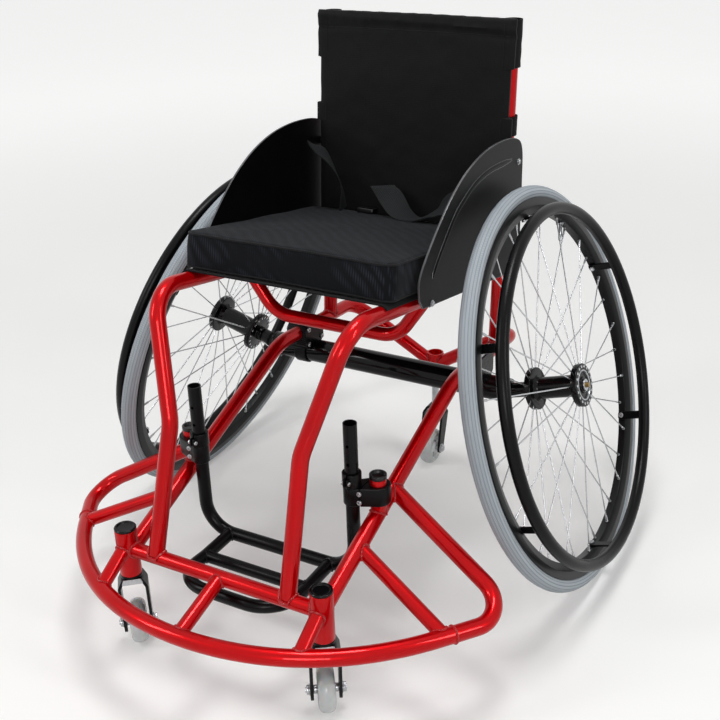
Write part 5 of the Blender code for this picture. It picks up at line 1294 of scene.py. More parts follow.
@dataclass(frozen=True)
class AxleGroup:
    """The black axle tube under the lower rails, its clamp blocks, camber plugs and quick-release axles."""

    tube_z: float = 0.26513
    half_length: float = 0.2090
    radius: float = 0.0190
    wall: float = 0.0025
    block: float = 0.0560
    block_wall: float = 0.0055
    saddle: float = 0.0366
    saddle_lift: float = 0.0100
    band: float = 0.0030
    band_half: float = 0.0100
    block_corner: float = 0.0080
    rail_z: float = 0.30113
    plug_flange: float = 0.0030
    nose: float = 0.0115
    offset: float = 0.0833
    axle: float = 0.0060
    head: float = 0.0090
    head_thickness: float = 0.0030
    button: float = 0.0038
    button_proud: float = 0.0040
    rib_pitch: float = 0.0035
    rib_depth: float = 0.0008

    def build(self) -> None:
        """Build the axle tube and each side's fittings."""
        across = shift(0.0, 0.0, self.tube_z) @ Matrix.Rotation(math.pi / 2, 4, "Y")
        wall = ring_profile(-self.half_length, self.half_length, self.radius - self.wall, self.radius)
        settle("axle_cross_tube", spun(wall, 0.0006, 64, across, closed=True), BLACK_ENAMEL, "axle_tube")
        for side in Side:
            self.build_block(side)
            self.build_plug(side)
            self.build_release(side)

    def build_block(self, side: Side) -> None:
        """Build a clamp: a ribbed saddle block on the rail and a band under it round the axle tube."""
        x = side.value * LINES.rail_bend_x
        low = self.tube_z + self.saddle_lift
        high = self.rail_z + LINES.tube + self.block_wall
        half = self.block / 2
        reach = self.saddle / 2
        ribs = []
        z = low + self.block_corner
        while z < high - self.block_corner:
            ribs += [(half, z), (half, z + self.rib_pitch * 0.6), (half - self.rib_depth,
                                                                   z + self.rib_pitch * 0.7),
                     (half - self.rib_depth, z + self.rib_pitch * 0.9)]
            z += self.rib_pitch
        back = [(-y, z) for y, z in reversed(ribs)]
        outline = [(-half + self.block_corner, low), (half - self.block_corner, low), *ribs,
                   (half - self.block_corner, high), (-half + self.block_corner, high), *back]
        block = prism(outline, self.saddle, shift(x - reach, 0.0, 0.0) @ UPRIGHT, 0.0006)
        inside = self.radius + 0.0002
        outside = self.radius + self.band
        ring = ring_profile(-self.band_half, self.band_half, inside, outside)
        along = shift(x, 0.0, self.tube_z) @ Matrix.Rotation(math.pi / 2, 4, "Y")
        band = spun(ring, 0.0008, 64, along, closed=True)
        settle("clamp_block", gathered([block, band]), BLACK_POWDER, "axle_clamp", side=side)
        plate = rectangle(x - reach + 0.003, -half + 0.009, x + reach - 0.003, half - 0.009)
        top = prism(filleted(plate, 0.003), 0.0012, shift(0.0, 0.0, high - 0.0006), 0.0003)
        settle("clamp_plate", top, ZINC_STEEL, side=side)
        screws = []
        inner = x - side.value * reach
        for y, z in ((-0.0200, 0.2840), (0.0200, 0.2840), (-0.0200, 0.3100), (0.0200, 0.3100)):
            place = axes_frame(Vector((inner, y, z)), UP, Vector((-side.value, 0.0, 0.0)))
            screws.append(screw(place, 0.0038, 0.0032))
        settle("clamp_screws", gathered(screws), ZINC_STEEL, side=side)

    def build_plug(self, side: Side) -> None:
        """Build the camber plug: a flange on the tube's end and a nose along the wheel's axle."""
        x = side.value * self.half_length
        straight = axes_frame(Vector((x, 0.0, self.tube_z)), UP, side.out)
        flange = [(-0.0350, 0.0), (-0.0350, self.radius - self.wall - GAP),
                  (GAP, self.radius - self.wall - GAP), (GAP, self.radius),
                  (self.plug_flange, self.radius), (self.plug_flange, 0.0)]
        turned = spun(flange, 0.0008, 64, straight)
        end = WHEELS.hub_inner - GAP
        nose = ring_profile(-self.offset - 0.004, end, 0.0, self.nose)
        cone = spun(nose, 0.0012, 48, WHEELS.frame(side))
        settle("camber_insert", gathered([turned, cone]), BLACK_ENAMEL, "camber_plug", side=side)

    def build_release(self, side: Side) -> None:
        """Build the quick-release axle's bright head and its brass button."""
        head = WHEELS.hub_outer + GAP
        top = head + self.head_thickness
        bore = self.button + GAP
        outline = [(-self.offset - 0.018, 0.0), (-self.offset - 0.018, self.axle), (head, self.axle),
                   (head, self.head), (top, self.head), (top, bore), (top - 0.006, bore), (top - 0.006, 0.0)]
        settle("release_axle", spun(outline, 0.0007, 40, WHEELS.frame(side)), ZINC_STEEL,
               "quick_release_axle", side=side)
        face = top + self.button_proud
        dish = [(face - 0.0120, 0.0), (face - 0.0120, self.button), (face, self.button), (face - 0.0004, 0.0)]
        settle("axle_button", spun(dish, 0.0006, 32, WHEELS.frame(side)), BRASS, "release_button",
               body="button", side=side)


@dataclass(frozen=True)
class MainWheels:
    """The two cambered wheels: grey tyre, black rim, 36 radial spokes, black hub and pushrim."""

    centre_x: float = 0.28883
    centre_z: float = 0.28893
    camber: float = math.radians(16.6)
    tyre_radius: float = 0.3010
    tyre_tube: float = 0.0113
    rim_edge: float = 0.2826
    rim_bed: float = 0.2588
    rim_half: float = 0.0105
    rim_wall: float = 0.0016
    rim_floor: float = 0.2789
    rim_shoulder: float = 0.2708
    bed_half: float = 0.0060
    spoke_count: int = 36
    spoke: float = 0.0010
    spoke_offset: float = 0.0030
    hole_radius: float = 0.0275
    flange_radius: float = 0.0320
    flange_thickness: float = 0.0095
    inner_flange: float = -0.0381
    outer_flange: float = 0.0351
    boss: float = 0.0120
    boss_length: float = 0.0090
    body: float = 0.0165
    neck: float = 0.0200
    neck_length: float = 0.0060
    ring: float = 0.0220
    dish: float = 0.0025
    pushrim_radius: float = 0.2618
    pushrim_tube: float = 0.0090
    standoff: float = 0.0368
    tab_count: int = 6
    tab_first: float = math.radians(25)
    tab_width: float = 0.0130
    tab_thickness: float = 0.0030
    tab_under: float = 0.0060
    valve_angle: float = math.radians(55)
    valve_length: float = 0.0300
    steps: int = 192

    @property
    def hub_inner(self) -> float:
        """Station of the hub's inner end along the axle."""
        return self.inner_flange - self.flange_thickness / 2 - self.boss_length

    @property
    def hub_outer(self) -> float:
        """Station of the hub's outer end along the axle."""
        return self.outer_flange + self.flange_thickness / 2

    def frame(self, side: Side) -> Matrix:
        """Return the wheel's frame: its middle, with Z along the axle outwards."""
        place = shift(side.value * self.centre_x, 0.0, self.centre_z)
        lean = Matrix.Rotation(-side.value * self.camber, 4, "Y")
        return place @ lean @ Matrix.Rotation(side.value * math.pi / 2, 4, "Y")

    @staticmethod
    def direction(side: Side, angle: float) -> Vector:
        """Return the direction in the wheel's frame at an angle that starts at the rear and turns upwards."""
        return Vector((-side.value * math.sin(angle), math.cos(angle), 0.0))

    def build(self) -> None:
        """Build both wheels."""
        for side in Side:
            self.build_tyre(side)
            self.build_rim(side)
            self.build_hub(side)
            self.build_spokes(side)
            self.build_pushrim(side)

    def build_tyre(self, side: Side) -> None:
        """Turn the tyre and map it: U round the wheel, V across the tread, in metres."""
        ring = self.tyre_radius - self.tyre_tube
        bm = lathe(round_profile(0.0, ring, self.tyre_tube, 40), self.steps, closed=True)
        layer = bm.loops.layers.uv.new(TREAD_MAP)
        ribs = round(2 * math.pi * self.tyre_radius / GREY_TYRE.rib)
        per_radian = ribs * GREY_TYRE.rib / (2 * math.pi)
        for face in bm.faces:
            middle = face.calc_center_median()
            face_angle = math.atan2(middle.y, middle.x)
            face_lean = math.atan2(middle.z, middle.xy.length - ring)
            for loop in face.loops:
                point = loop.vert.co
                angle = math.atan2(point.y, point.x)
                angle += 2 * math.pi * round((face_angle - angle) / (2 * math.pi))
                lean = math.atan2(point.z, point.xy.length - ring)
                lean += 2 * math.pi * round((face_lean - lean) / (2 * math.pi))
                loop[layer].uv = (angle * per_radian, lean * self.tyre_tube)
        settle("wheel_tyre", moved(bm, self.frame(side)), GREY_TYRE, "tyre", body="wheel", side=side)

    def build_rim(self, side: Side) -> None:
        """Turn the rim, with the tyre's valve."""
        groove = self.rim_half - self.rim_wall
        section = [(-self.rim_half, self.rim_edge), (-groove, self.rim_edge), (-groove, self.rim_floor),
                   (groove, self.rim_floor), (groove, self.rim_edge), (self.rim_half, self.rim_edge),
                   (self.rim_half, self.rim_shoulder), (self.bed_half, self.rim_bed),
                   (-self.bed_half, self.rim_bed), (-self.rim_half, self.rim_shoulder)]
        settle("wheel_rim", spun(section, 0.0012, self.steps, self.frame(side), closed=True), BLACK_ANODISED,
               "rim", body="wheel", side=side)
        out = self.direction(side, self.valve_angle)
        place = self.frame(side) @ axes_frame(out * self.rim_bed, UP, -out)
        stem = [(-0.004, 0.0030), (0.0015, 0.0046), (0.0030, 0.0046), (0.0030, 0.0026), (0.0190, 0.0026),
                (0.0190, 0.0036), (self.valve_length - 0.002, 0.0034), (self.valve_length, 0.0022),
                (self.valve_length, 0.0)]
        settle("valve_stem", spun(stem, 0.0004, 20, place, chords=2), ZINC_STEEL, body="wheel", side=side)

    def build_hub(self, side: Side) -> None:
        """Turn the hub with its two spoke flanges and the bright ring in its outer dish."""
        half = self.flange_thickness / 2
        bore = 0.0063
        dish = self.hub_outer - self.dish
        section = [
            (self.hub_inner, bore), (self.hub_inner, self.boss), (self.inner_flange - half, self.boss),
            (self.inner_flange - half, self.flange_radius), (self.inner_flange + half, self.flange_radius),
            (self.inner_flange + half, self.neck), (self.inner_flange + half + self.neck_length, self.body),
            (self.outer_flange - half - self.neck_length, self.body), (self.outer_flange - half, self.neck),
            (self.outer_flange - half, self.flange_radius), (self.hub_outer, self.flange_radius),
            (self.hub_outer, self.ring), (dish, self.ring), (dish, self.boss), (self.hub_outer, self.boss),
            (self.hub_outer, bore),
        ]
        settle("wheel_hub", spun(section, 0.0014, 72, self.frame(side), closed=True), BLACK_ENAMEL, "hub",
               body="wheel", side=side)
        lip = [(dish, self.ring - 0.0016), (self.hub_outer + 0.0004, self.ring - 0.0012),
               (self.hub_outer + 0.0004, self.ring + 0.0008), (dish, self.ring + 0.0008)]
        settle("hub_ring", spun(lip, 0.0004, 72, self.frame(side), closed=True, chords=2), ZINC_STEEL,
               body="wheel", side=side)

    def build_spokes(self, side: Side) -> None:
        """Build the spokes with their heads in the flanges and their nipples in the rim."""
        parts = []
        nipples = []
        half = self.flange_thickness / 2
        for index in range(self.spoke_count):
            out = self.direction(side, 2 * math.pi * index / self.spoke_count)
            outer = index % 2 == 0
            lean = 1 if outer else -1
            flange = self.outer_flange - half / 2 if outer else self.inner_flange + half / 2
            start = out * self.hole_radius + Vector((0.0, 0.0, flange))
            end = out * (self.rim_bed - 0.0004) + Vector((0.0, 0.0, lean * self.spoke_offset))
            line = (end - start).normalized()
            parts.append(tube([start, start.lerp(end, 0.5), end], self.spoke, 10))
            face = lean * (abs(self.outer_flange if outer else self.inner_flange) + half)
            head_at = Matrix.Translation(out * self.hole_radius + Vector((0.0, 0.0, face)))
            if not outer:
                head_at = head_at @ Matrix.Rotation(math.pi, 4, "X")
            head = [(-0.0010, 0.0021), (0.0006, 0.0021), (0.0012, 0.0013), (0.0014, 0.0)]
            parts.append(lathe(head, 12, place=head_at))
            place = axes_frame(end + line * 0.002, UP, -line)
            nipple = [(0.0, 0.0023), (0.0030, 0.0023), (0.0034, 0.0019), (0.0125, 0.0017), (0.0130, 0.0010)]
            nipples.append(lathe(nipple, 12, place=place))
        spokes = moved(gathered(parts), self.frame(side))
        settle("wheel_spokes", spokes, SPOKE_STEEL, body="wheel", side=side)
        settle("spoke_nipples", moved(gathered(nipples), self.frame(side)), ZINC_STEEL, body="wheel",
               side=side)

    def build_pushrim(self, side: Side) -> None:
        """Turn the pushrim and stand it on its tabs, each with its bolt."""
        section = round_profile(self.standoff, self.pushrim_radius, self.pushrim_tube, 28)
        parts = [lathe(section, self.steps, closed=True)]
        bolts = []
        top = self.rim_bed - GAP
        for index in range(self.tab_count):
            angle = self.tab_first + 2 * math.pi * index / self.tab_count
            out = self.direction(side, angle)
            across = UP.cross(out)
            half = self.tab_width / 2
            plan = rectangle(-self.tab_under, -half, self.standoff, half)
            turn = Matrix((UP, across, -out)).transposed().to_4x4()
            place = Matrix.Translation(out * top) @ turn
            parts.append(prism(filleted(plan, 0.0045, 4), self.tab_thickness, place, 0.0006))
            nut_at = axes_frame(out * (top - self.tab_thickness), across, -out)
            bolts.append(screw(nut_at, 0.0040, 0.0034))
        settle("hand_rim", moved(gathered(parts), self.frame(side)), BLACK_POWDER, "pushrim", body="wheel",
               side=side)
        settle("tab_bolts", moved(gathered(bolts), self.frame(side)), ZINC_STEEL, body="wheel", side=side)


WHEELS = MainWheels()


# Casters


@dataclass(frozen=True)
class CasterSize:
    """What differs between the front casters and the rear one."""

    name: str
    body: str
    roller: str
    at: tuple[float, float]
    yaw: float
    trail: float
    span: float
    crown_half: float
    top: float
    top_depth: float
    foot_depth: float
    stem: float
    stem_top: float
    nut: tuple[float, float, float]
    fork_node: str
    wheel_node: str
    axle_node: str

    @property
    def front(self) -> bool:
        """Whether it is one of the two front casters."""
        return self.body != "rear_swivel"


@dataclass(frozen=True)
class Casters:
    """Small grey wheels in black forks: two at the front and an anti-tip one at the rear."""

    wheel_radius: float = 0.0321
    wheel_half: float = 0.0115
    shoulder: float = 0.0235
    rim: float = 0.0215
    web_half: float = 0.0050
    hub: float = 0.0100
    axle: float = 0.0040
    centre_z: float = 0.0321
    leg: float = 0.0042
    shoulder_drop: float = 0.0150
    foot_drop: float = 0.0170
    rear_foot_drop: float = 0.0100
    spacer: float = 0.0058
    nut: float = 0.0070
    nut_thickness: float = 0.0045
    cap_thickness: float = 0.0035
    cap_edge: float = 0.0012
    cap_dish: float = 0.0015

    def sizes(self) -> list[CasterSize]:
        """List the three casters."""
        front_top = LINES.barrel_low - 0.0040
        cases = []
        for side, degrees in ((Side.LEFT, 35), (Side.RIGHT, 40)):
            cases.append(CasterSize(
                side.named("front_caster"), side.named("caster"), side.named("front_wheel"),
                (side.value * LINES.barrel_x, LINES.barrel_y), math.radians(degrees), 0.0100, 0.0420, 0.0135,
                front_top, 0.0280, 0.0125, 0.0112, LINES.barrel_high - 0.0053,
                (LINES.barrel_radius, front_top - 0.0010, LINES.barrel_low - GAP),
                side.named("caster_fork"), side.named("caster_wheel"), side.named("caster_axle")))
        cases.append(CasterSize(
            "rear_caster", "rear_swivel", "rear_roller", (0.0, LINES.rear_barrel_y), math.pi, 0.0190, 0.0400,
            0.0110, 0.1080, 0.0240, 0.0180, 0.0062, LINES.rear_barrel_low + 0.0350,
            (0.0095, 0.1455, LINES.rear_barrel_low - GAP), "rear_fork", "rear_caster_wheel",
            "rear_caster_axle"))
        return cases

    def build(self) -> None:
        """Build the casters and the caps of the front barrels."""
        for case in self.sizes():
            self.build_fork(case)
            self.build_stem(case)
            self.build_wheel(case)
            self.build_bolt(case)
        for side in Side:
            self.build_cap(side)

    @staticmethod
    def frame(case: CasterSize) -> Matrix:
        """Return a caster's frame: on the floor under its stem, Y trailing."""
        return Matrix.Translation((*case.at, 0.0)) @ Matrix.Rotation(case.yaw, 4, "Z")

    def build_fork(self, case: CasterSize) -> None:
        """Bend the fork from strap: crown, sloping shoulders and legs that narrow to round feet."""
        inset = self.leg / 2
        half = case.span / 2 - inset
        foot = self.centre_z - (self.foot_drop if case.front else self.rear_foot_drop)
        shoulder = case.top - self.shoulder_drop
        line = [(-half, foot), (-half, shoulder), (-case.crown_half + inset * 0.4, case.top - inset),
                (case.crown_half - inset * 0.4, case.top - inset), (half, shoulder), (half, foot)]
        line = filleted(line, 0.0060, 4, closed=False)
        route = []
        for (x0, z0), (x1, z1) in zip(line, line[1:]):
            count = max(1, round(math.hypot(x1 - x0, z1 - z0) / 0.0025))
            route += [(x0 + (x1 - x0) * k / count, z0 + (z1 - z0) * k / count) for k in range(count)]
        route.append(line[-1])
        points = [Vector((x, 0.0, z)) for x, z in route]
        frames = []
        for flat_frame, point in zip(transported(points), points):
            share = min(max((shoulder - point.z) / (shoulder - foot), 0.0), 1.0)
            depth = case.top_depth + (case.foot_depth - case.top_depth) * share
            below = foot + case.foot_depth / 2 - point.z
            if below > 0:
                radius = case.foot_depth / 2
                depth = 2 * math.sqrt(max(radius ** 2 - below ** 2, (0.12 * radius) ** 2))
            tangent = flat_frame.to_3x3() @ UP
            place = axes_frame(point + Vector((0.0, case.trail * share, 0.0)), Vector((0.0, 1.0, 0.0)),
                               tangent)
            frames.append(place @ Matrix.Diagonal((depth, 1.0, 1.0, 1.0)))
        edge = 0.06
        section = filleted(rectangle(-0.5, -inset, 0.5, inset), edge * self.leg * 3, 2)
        fork = moved(loft(section, frames), self.frame(case))
        settle(case.name + "_fork", fork, BLACK_POWDER, case.fork_node, body=case.body)

    def build_stem(self, case: CasterSize) -> None:
        """Turn the stem and its collar, and hang the crown nut below the fork's crown."""
        radius, low, high = case.nut
        under = case.top - self.leg
        place = self.frame(case)
        collar = ring_profile(low, high, 0.0, radius)
        stem = ring_profile(case.top - 0.001, case.stem_top, 0.0, case.stem)
        stem_skin = spun(stem, 0.0006, 36, place, chords=2)
        finish = BLACK_POWDER if case.front else ZINC_STEEL
        if case.front:
            collar_skin = spun(collar, 0.0008, 48, place)
        else:
            base = shift(0.0, 0.0, low)
            collar_skin = moved(prism(circle(radius, 6), high - low, base, radius * 0.08), place)
        settle(case.name + "_stem", gathered([collar_skin, stem_skin]), finish, body=case.body)
        plate = rectangle(-0.0115, -0.0095, 0.0115, 0.0095)
        seat = shift(0.0, 0.0, under - 0.0014)
        parts = [prism(filleted(plate, 0.0025), 0.0014, seat, 0.0003), hex_nut(shift(0.0, 0.0,
                                                                                     under - 0.0072), 0.0072,
                                                                               0.0058, 0.0036),
                 lathe([(under - 0.0100, 0.0), (under - 0.0100, 0.0032), (under - 0.0094, 0.0037),
                        (under, 0.0037)], 24)]
        if case.front:
            lip = filleted([(-0.0150, -0.0085), (0.0150, -0.0085), (0.0120, 0.0), (-0.0120, 0.0)], 0.0020)
            ahead = shift(0.0, -case.top_depth / 2, case.top) @ Matrix.Rotation(math.pi / 2, 4, "X")
            parts.append(prism(lip, 0.0012, ahead, 0.0003))
        settle(case.name + "_crown_nut", moved(gathered(parts), place), ZINC_STEEL, body=case.body)

    def axis(self, case: CasterSize) -> Matrix:
        """Return the frame on the wheel's axle, Z along it."""
        middle = shift(0.0, case.trail, self.centre_z)
        return self.frame(case) @ middle @ Matrix.Rotation(math.pi / 2, 4, "Y")

    def build_wheel(self, case: CasterSize) -> None:
        """Turn the clear grey tyre and the paler hub disc with its pockets."""
        crown = self.wheel_radius - self.shoulder
        tyre = [(-self.wheel_half, self.rim)]
        for step in range(17):
            angle = math.pi * (1 - step / 16)
            tyre.append((self.wheel_half * math.cos(angle), self.shoulder + crown * math.sin(angle)))
        tyre.append((self.wheel_half, self.rim))
        tread = lathe(tyre, 96, closed=True, place=self.axis(case))
        settle(case.name + "_tyre", tread, URETHANE, case.wheel_node, body=case.roller)
        bore = self.axle + GAP
        disc = [(-self.wheel_half, bore), (-self.wheel_half, self.hub), (-self.web_half, self.hub + 0.0012),
                (-self.web_half, self.rim - 0.0030), (-self.wheel_half + 0.0008, self.rim - 0.0016),
                (-self.wheel_half + 0.0008, self.rim + 0.0002), (self.wheel_half - 0.0008, self.rim + 0.0002),
                (self.wheel_half - 0.0008, self.rim - 0.0016), (self.web_half, self.rim - 0.0030),
                (self.web_half, self.hub + 0.0012), (self.wheel_half, self.hub), (self.wheel_half, bore)]
        hub = spun(disc, 0.0010, 72, closed=True)
        if not case.front:
            holes = []
            for index in range(5):
                angle = 2 * math.pi * index / 5
                spot = Vector((math.cos(angle), math.sin(angle), 0.0)) * (self.hub + self.rim) / 2
                holes.append(prism(circle(0.0030, 20), 0.03, Matrix.Translation(spot - UP * 0.015)))
            hub = carved(hub, holes)
        settle(case.name + "_hub", moved(hub, self.axis(case)), CASTER_HUB, body=case.roller)

    def build_bolt(self, case: CasterSize) -> None:
        """Build the axle bolt: a button head, a lock nut, washers and the spacers beside the wheel."""
        out = case.span / 2 + GAP
        inner = case.span / 2 - self.leg - GAP
        near = self.wheel_half + GAP
        parts = [lathe(ring_profile(-out - 0.006, out + 0.006, 0.0, self.axle * 0.9), 28)]
        for sign in (1, -1):
            turn = Matrix.Identity(4) if sign > 0 else Matrix.Rotation(math.pi, 4, "X")
            spacer = ring_profile(near, inner, self.axle, self.spacer)
            parts.append(spun(spacer, 0.0004, 36, turn, closed=True, chords=2))
            parts.append(washer(turn @ shift(0.0, 0.0, out), self.nut + 0.0010, self.axle, 0.0010))
        parts.append(hex_nut(shift(0.0, 0.0, out + 0.0010), self.nut, self.nut_thickness, self.axle))
        head = Matrix.Rotation(math.pi, 4, "X") @ shift(0.0, 0.0, out + 0.0010)
        parts.append(screw(head, self.nut - 0.0004, 0.0036))
        settle(case.name + "_bolt", moved(gathered(parts), self.axis(case)), ZINC_STEEL, case.axle_node,
               body=case.body)

    def build_cap(self, side: Side) -> None:
        """Turn the glossy dished cap that closes a front barrel."""
        low = LINES.barrel_high + GAP
        top = low + self.cap_thickness
        plug = LINES.barrel_bore - GAP
        outline = [(LINES.barrel_high - 0.0050, 0.0), (LINES.barrel_high - 0.0050, plug), (low, plug),
                   (low, LINES.barrel_radius), (top - self.cap_edge, LINES.barrel_radius),
                   (top, LINES.barrel_radius - self.cap_edge), (top, LINES.barrel_radius - 0.0032),
                   (top - self.cap_dish, LINES.barrel_radius - 0.0050), (top - self.cap_dish, 0.0)]
        place = shift(side.value * LINES.barrel_x, LINES.barrel_y, 0.0)
        settle("barrel_cap", spun(outline, 0.0010, 56, place), BLACK_ENAMEL, "caster_cap", side=side)


# Footrest


@dataclass(frozen=True)
class Footrest:
    """The black footrest: a U of tube with a loop in front, held by clamps and stop collars."""

    post_x: float = 0.1240
    post_y: float = -0.3403
    post_top: float = 0.35666
    post: float = 0.0095
    post_wall: float = 0.0018
    bore_depth: float = 0.0900
    hole: float = 0.0024
    hole_pitch: float = 0.0272
    hole_count: int = 3
    first_hole_drop: float = 0.0310
    foot_z: float = 0.1242
    foot_bend: float = 0.0447
    side_x: float = 0.0840
    front_y: float = -0.4750
    front_rise: float = 0.0060
    front_radius: float = 0.0510
    side_bend: float = 0.0800
    bar: float = 0.0090
    mid_bar: float = 0.0087
    mid_y: float = -0.4036
    clamp_z: float = 0.24996
    clamp_height: float = 0.0270
    clamp_wall: float = 0.0060
    clamp_post_wall: float = 0.0028
    collar_height: float = 0.0200
    collar_wall: float = 0.0030
    collar_slot: float = 0.0022
    ear: float = 0.0050
    ear_drop: float = 0.0040
    plug: float = 0.0120
    plug_height: float = 0.0060

    def build(self) -> None:
        """Build the sliding frame and each side's fittings."""
        self.build_frame()
        for side in Side:
            self.build_clamp(side)
            self.build_collar(side)
            self.build_plug(side)

    def build_frame(self) -> None:
        """Bend the U and the foot loop, bore the posts from above and drill their front holes."""
        posts = [Vector((self.post_x, self.post_y, self.post_top)), Vector((self.post_x, self.post_y,
                                                                            self.foot_z)),
                 Vector((-self.post_x, self.post_y, self.foot_z)), Vector((-self.post_x, self.post_y,
                                                                           self.post_top))]
        cutters = []
        for side in Side:
            x = side.value * self.post_x
            low = self.post_top - self.bore_depth
            cutters.append(prism(circle(self.post - self.post_wall, 28), self.bore_depth + 0.01,
                                 shift(x, self.post_y, low)))
            for index in range(self.hole_count):
                z = self.post_top - self.first_hole_drop - index * self.hole_pitch
                place = axes_frame(Vector((x, self.post_y, z)), UP, AHEAD)
                cutters.append(prism(circle(self.hole, 20), 0.03, place))
        frame_u = carved(tube(bent(posts, [self.foot_bend] * 2), self.post), cutters)
        front_z = self.foot_z + self.front_rise
        loop = [Vector((self.side_x, self.post_y, self.foot_z)), Vector((self.side_x, self.mid_y,
                                                                         self.foot_z)),
                Vector((self.side_x, self.front_y, front_z)), Vector((-self.side_x, self.front_y, front_z)),
                Vector((-self.side_x, self.mid_y, self.foot_z)), Vector((-self.side_x, self.post_y,
                                                                         self.foot_z))]
        radii = [self.side_bend, self.front_radius, self.front_radius, self.side_bend]
        bar = [Vector((-self.side_x, self.mid_y, self.foot_z)), Vector((self.side_x, self.mid_y,
                                                                        self.foot_z))]
        parts = [frame_u, tube(bent(loop, radii), self.bar), tube(bar, self.mid_bar)]
        settle("footrest_tubes", gathered(parts), BLACK_POWDER, "footrest_frame", body="footrest")
        beads = []
        for side in Side:
            joint = Vector((side.value * self.side_x, self.post_y, self.foot_z))
            mid = Vector((side.value * self.side_x, self.mid_y, self.foot_z))
            beads.append(weld_bead(Bar(joint, AHEAD, self.bar), Bar(joint, ACROSS, self.post), 0.0016))
            beads.append(weld_bead(Bar(mid, -side.out, self.mid_bar), Bar(mid, AHEAD, self.bar), 0.0014))
        settle("footrest_beads", gathered(beads), BLACK_POWDER, body="footrest")

    def clamp_outline(self) -> list[tuple[float, float]]:
        """Return the left clamp's plan: the hull of a circle round the post and one round the stub."""
        post = Vector((self.post_x, self.post_y))
        stub = Vector((LINES.stub_x, LINES.stub_y))
        post_radius = self.post + self.clamp_post_wall
        stub_radius = LINES.tube + self.clamp_wall
        between = stub - post
        heading = math.atan2(between.y, between.x)
        spread = math.acos((post_radius - stub_radius) / between.length)
        outline = arc(tuple(post), post_radius, heading + spread, 2 * math.pi - 2 * spread, 20)
        return outline + arc(tuple(stub), stub_radius, heading - spread, 2 * spread, 24)

    def build_clamp(self, side: Side) -> None:
        """Mill the clamp that ties a post to its stub, with its two front screws."""
        low = self.clamp_z - self.clamp_height / 2
        outline = [(side.value * x, y) for x, y in self.clamp_outline()]
        block = prism(outline, self.clamp_height, shift(0.0, 0.0, low), 0.0014, 3)
        cutters = []
        for x, y, radius in ((self.post_x, self.post_y, self.post), (LINES.stub_x, LINES.stub_y, LINES.tube)):
            place = shift(side.value * x, y, low - 0.01)
            cutters.append(prism(circle(radius + 0.0002, 36), self.clamp_height + 0.02, place))
        middle = Vector((side.value * (self.post_x + LINES.stub_x) / 2, (self.post_y + LINES.stub_y) / 2,
                         low))
        slit = prism(rectangle(-0.0008, -0.03, 0.0008, 0.03), self.clamp_height + 0.02,
                     Matrix.Translation(middle - UP * 0.01))
        cutters.append(slit)
        settle("post_clamp", carved(block, cutters), BLACK_POWDER, "footrest_clamp", side=side)
        screws = []
        face_y = (self.post_y - self.post - self.clamp_post_wall
                  + LINES.stub_y - LINES.tube - self.clamp_wall) / 2
        for drop in (0.0068, 0.0202):
            at = Vector((side.value * (self.post_x + LINES.stub_x) / 2, face_y - 0.0006,
                         low + self.clamp_height - drop))
            place = axes_frame(at, UP, Vector((side.value * -0.12, -1.0, 0.0)))
            screws.append(screw(place, 0.0036, 0.0030))
        settle("post_clamp_screws", gathered(screws), ZINC_STEEL, side=side)

    def build_collar(self, side: Side) -> None:
        """Cut the split stop collar with its two ears, and put the screw through them."""
        x = side.value * self.post_x
        low = self.clamp_z + self.clamp_height / 2 + GAP
        radius = self.post + GAP + self.collar_wall + 0.0004
        ring = prism(circle(radius, 48), self.collar_height, shift(x, self.post_y, low), 0.0009, 3)
        front = self.post_y - radius - self.ear
        bore = prism(circle(self.post + 0.0002, 36), self.collar_height + 0.02, shift(x, self.post_y,
                                                                                      low - 0.01))
        half = self.collar_slot / 2
        slot = prism(rectangle(x - half, front - 0.01, x + half, self.post_y), self.collar_height + 0.02,
                     shift(0.0, 0.0, low - 0.01))
        parts = [carved(ring, [bore, slot])]
        for sign in (1, -1):
            near = x + sign * half
            far = x + sign * (half + self.collar_wall)
            outline = rectangle(near, front, far, self.post_y - self.post)
            place = shift(0.0, 0.0, low + self.ear_drop)
            parts.append(prism(outline, self.collar_height - 2 * self.ear_drop, place, 0.0009, 3))
        settle("stop_collar", gathered(parts), BLACK_POWDER, "footrest_collar", side=side)
        reach = half + self.collar_wall
        at = Vector((x - reach, front + self.ear * 0.5, low + self.collar_height / 2))
        head = screw(axes_frame(at, UP, Vector((-1.0, 0.0, 0.0))), 0.0030, 0.0026)
        far_at = at + Vector((2 * reach, 0.0, 0.0))
        nut = hex_nut(axes_frame(far_at, UP, ACROSS), 0.0030, 0.0022, 0.0010)
        settle("collar_screw", gathered([head, nut]), ZINC_STEEL, side=side)

    def build_plug(self, side: Side) -> None:
        """Turn the hollow-topped plug that closes a stub."""
        top = LINES.rail_z(LINES.stub_y) + LINES.stub_height + GAP
        nose = LINES.stub_bore - GAP
        outline = [(top - 0.0110, 0.0), (top - 0.0110, nose), (top, nose), (top, self.plug),
                   (top + self.plug_height, self.plug), (top + self.plug_height, self.plug - 0.0030),
                   (top + self.plug_height - 0.0035, self.plug - 0.0042), (top + self.plug_height - 0.0035,
                                                                           0.0)]
        place = shift(side.value * LINES.stub_x, LINES.stub_y, 0.0)
        settle("stub_cap", spun(outline, 0.0010, 44, place), NYLON, "stub_plug", side=side)


# Side guards


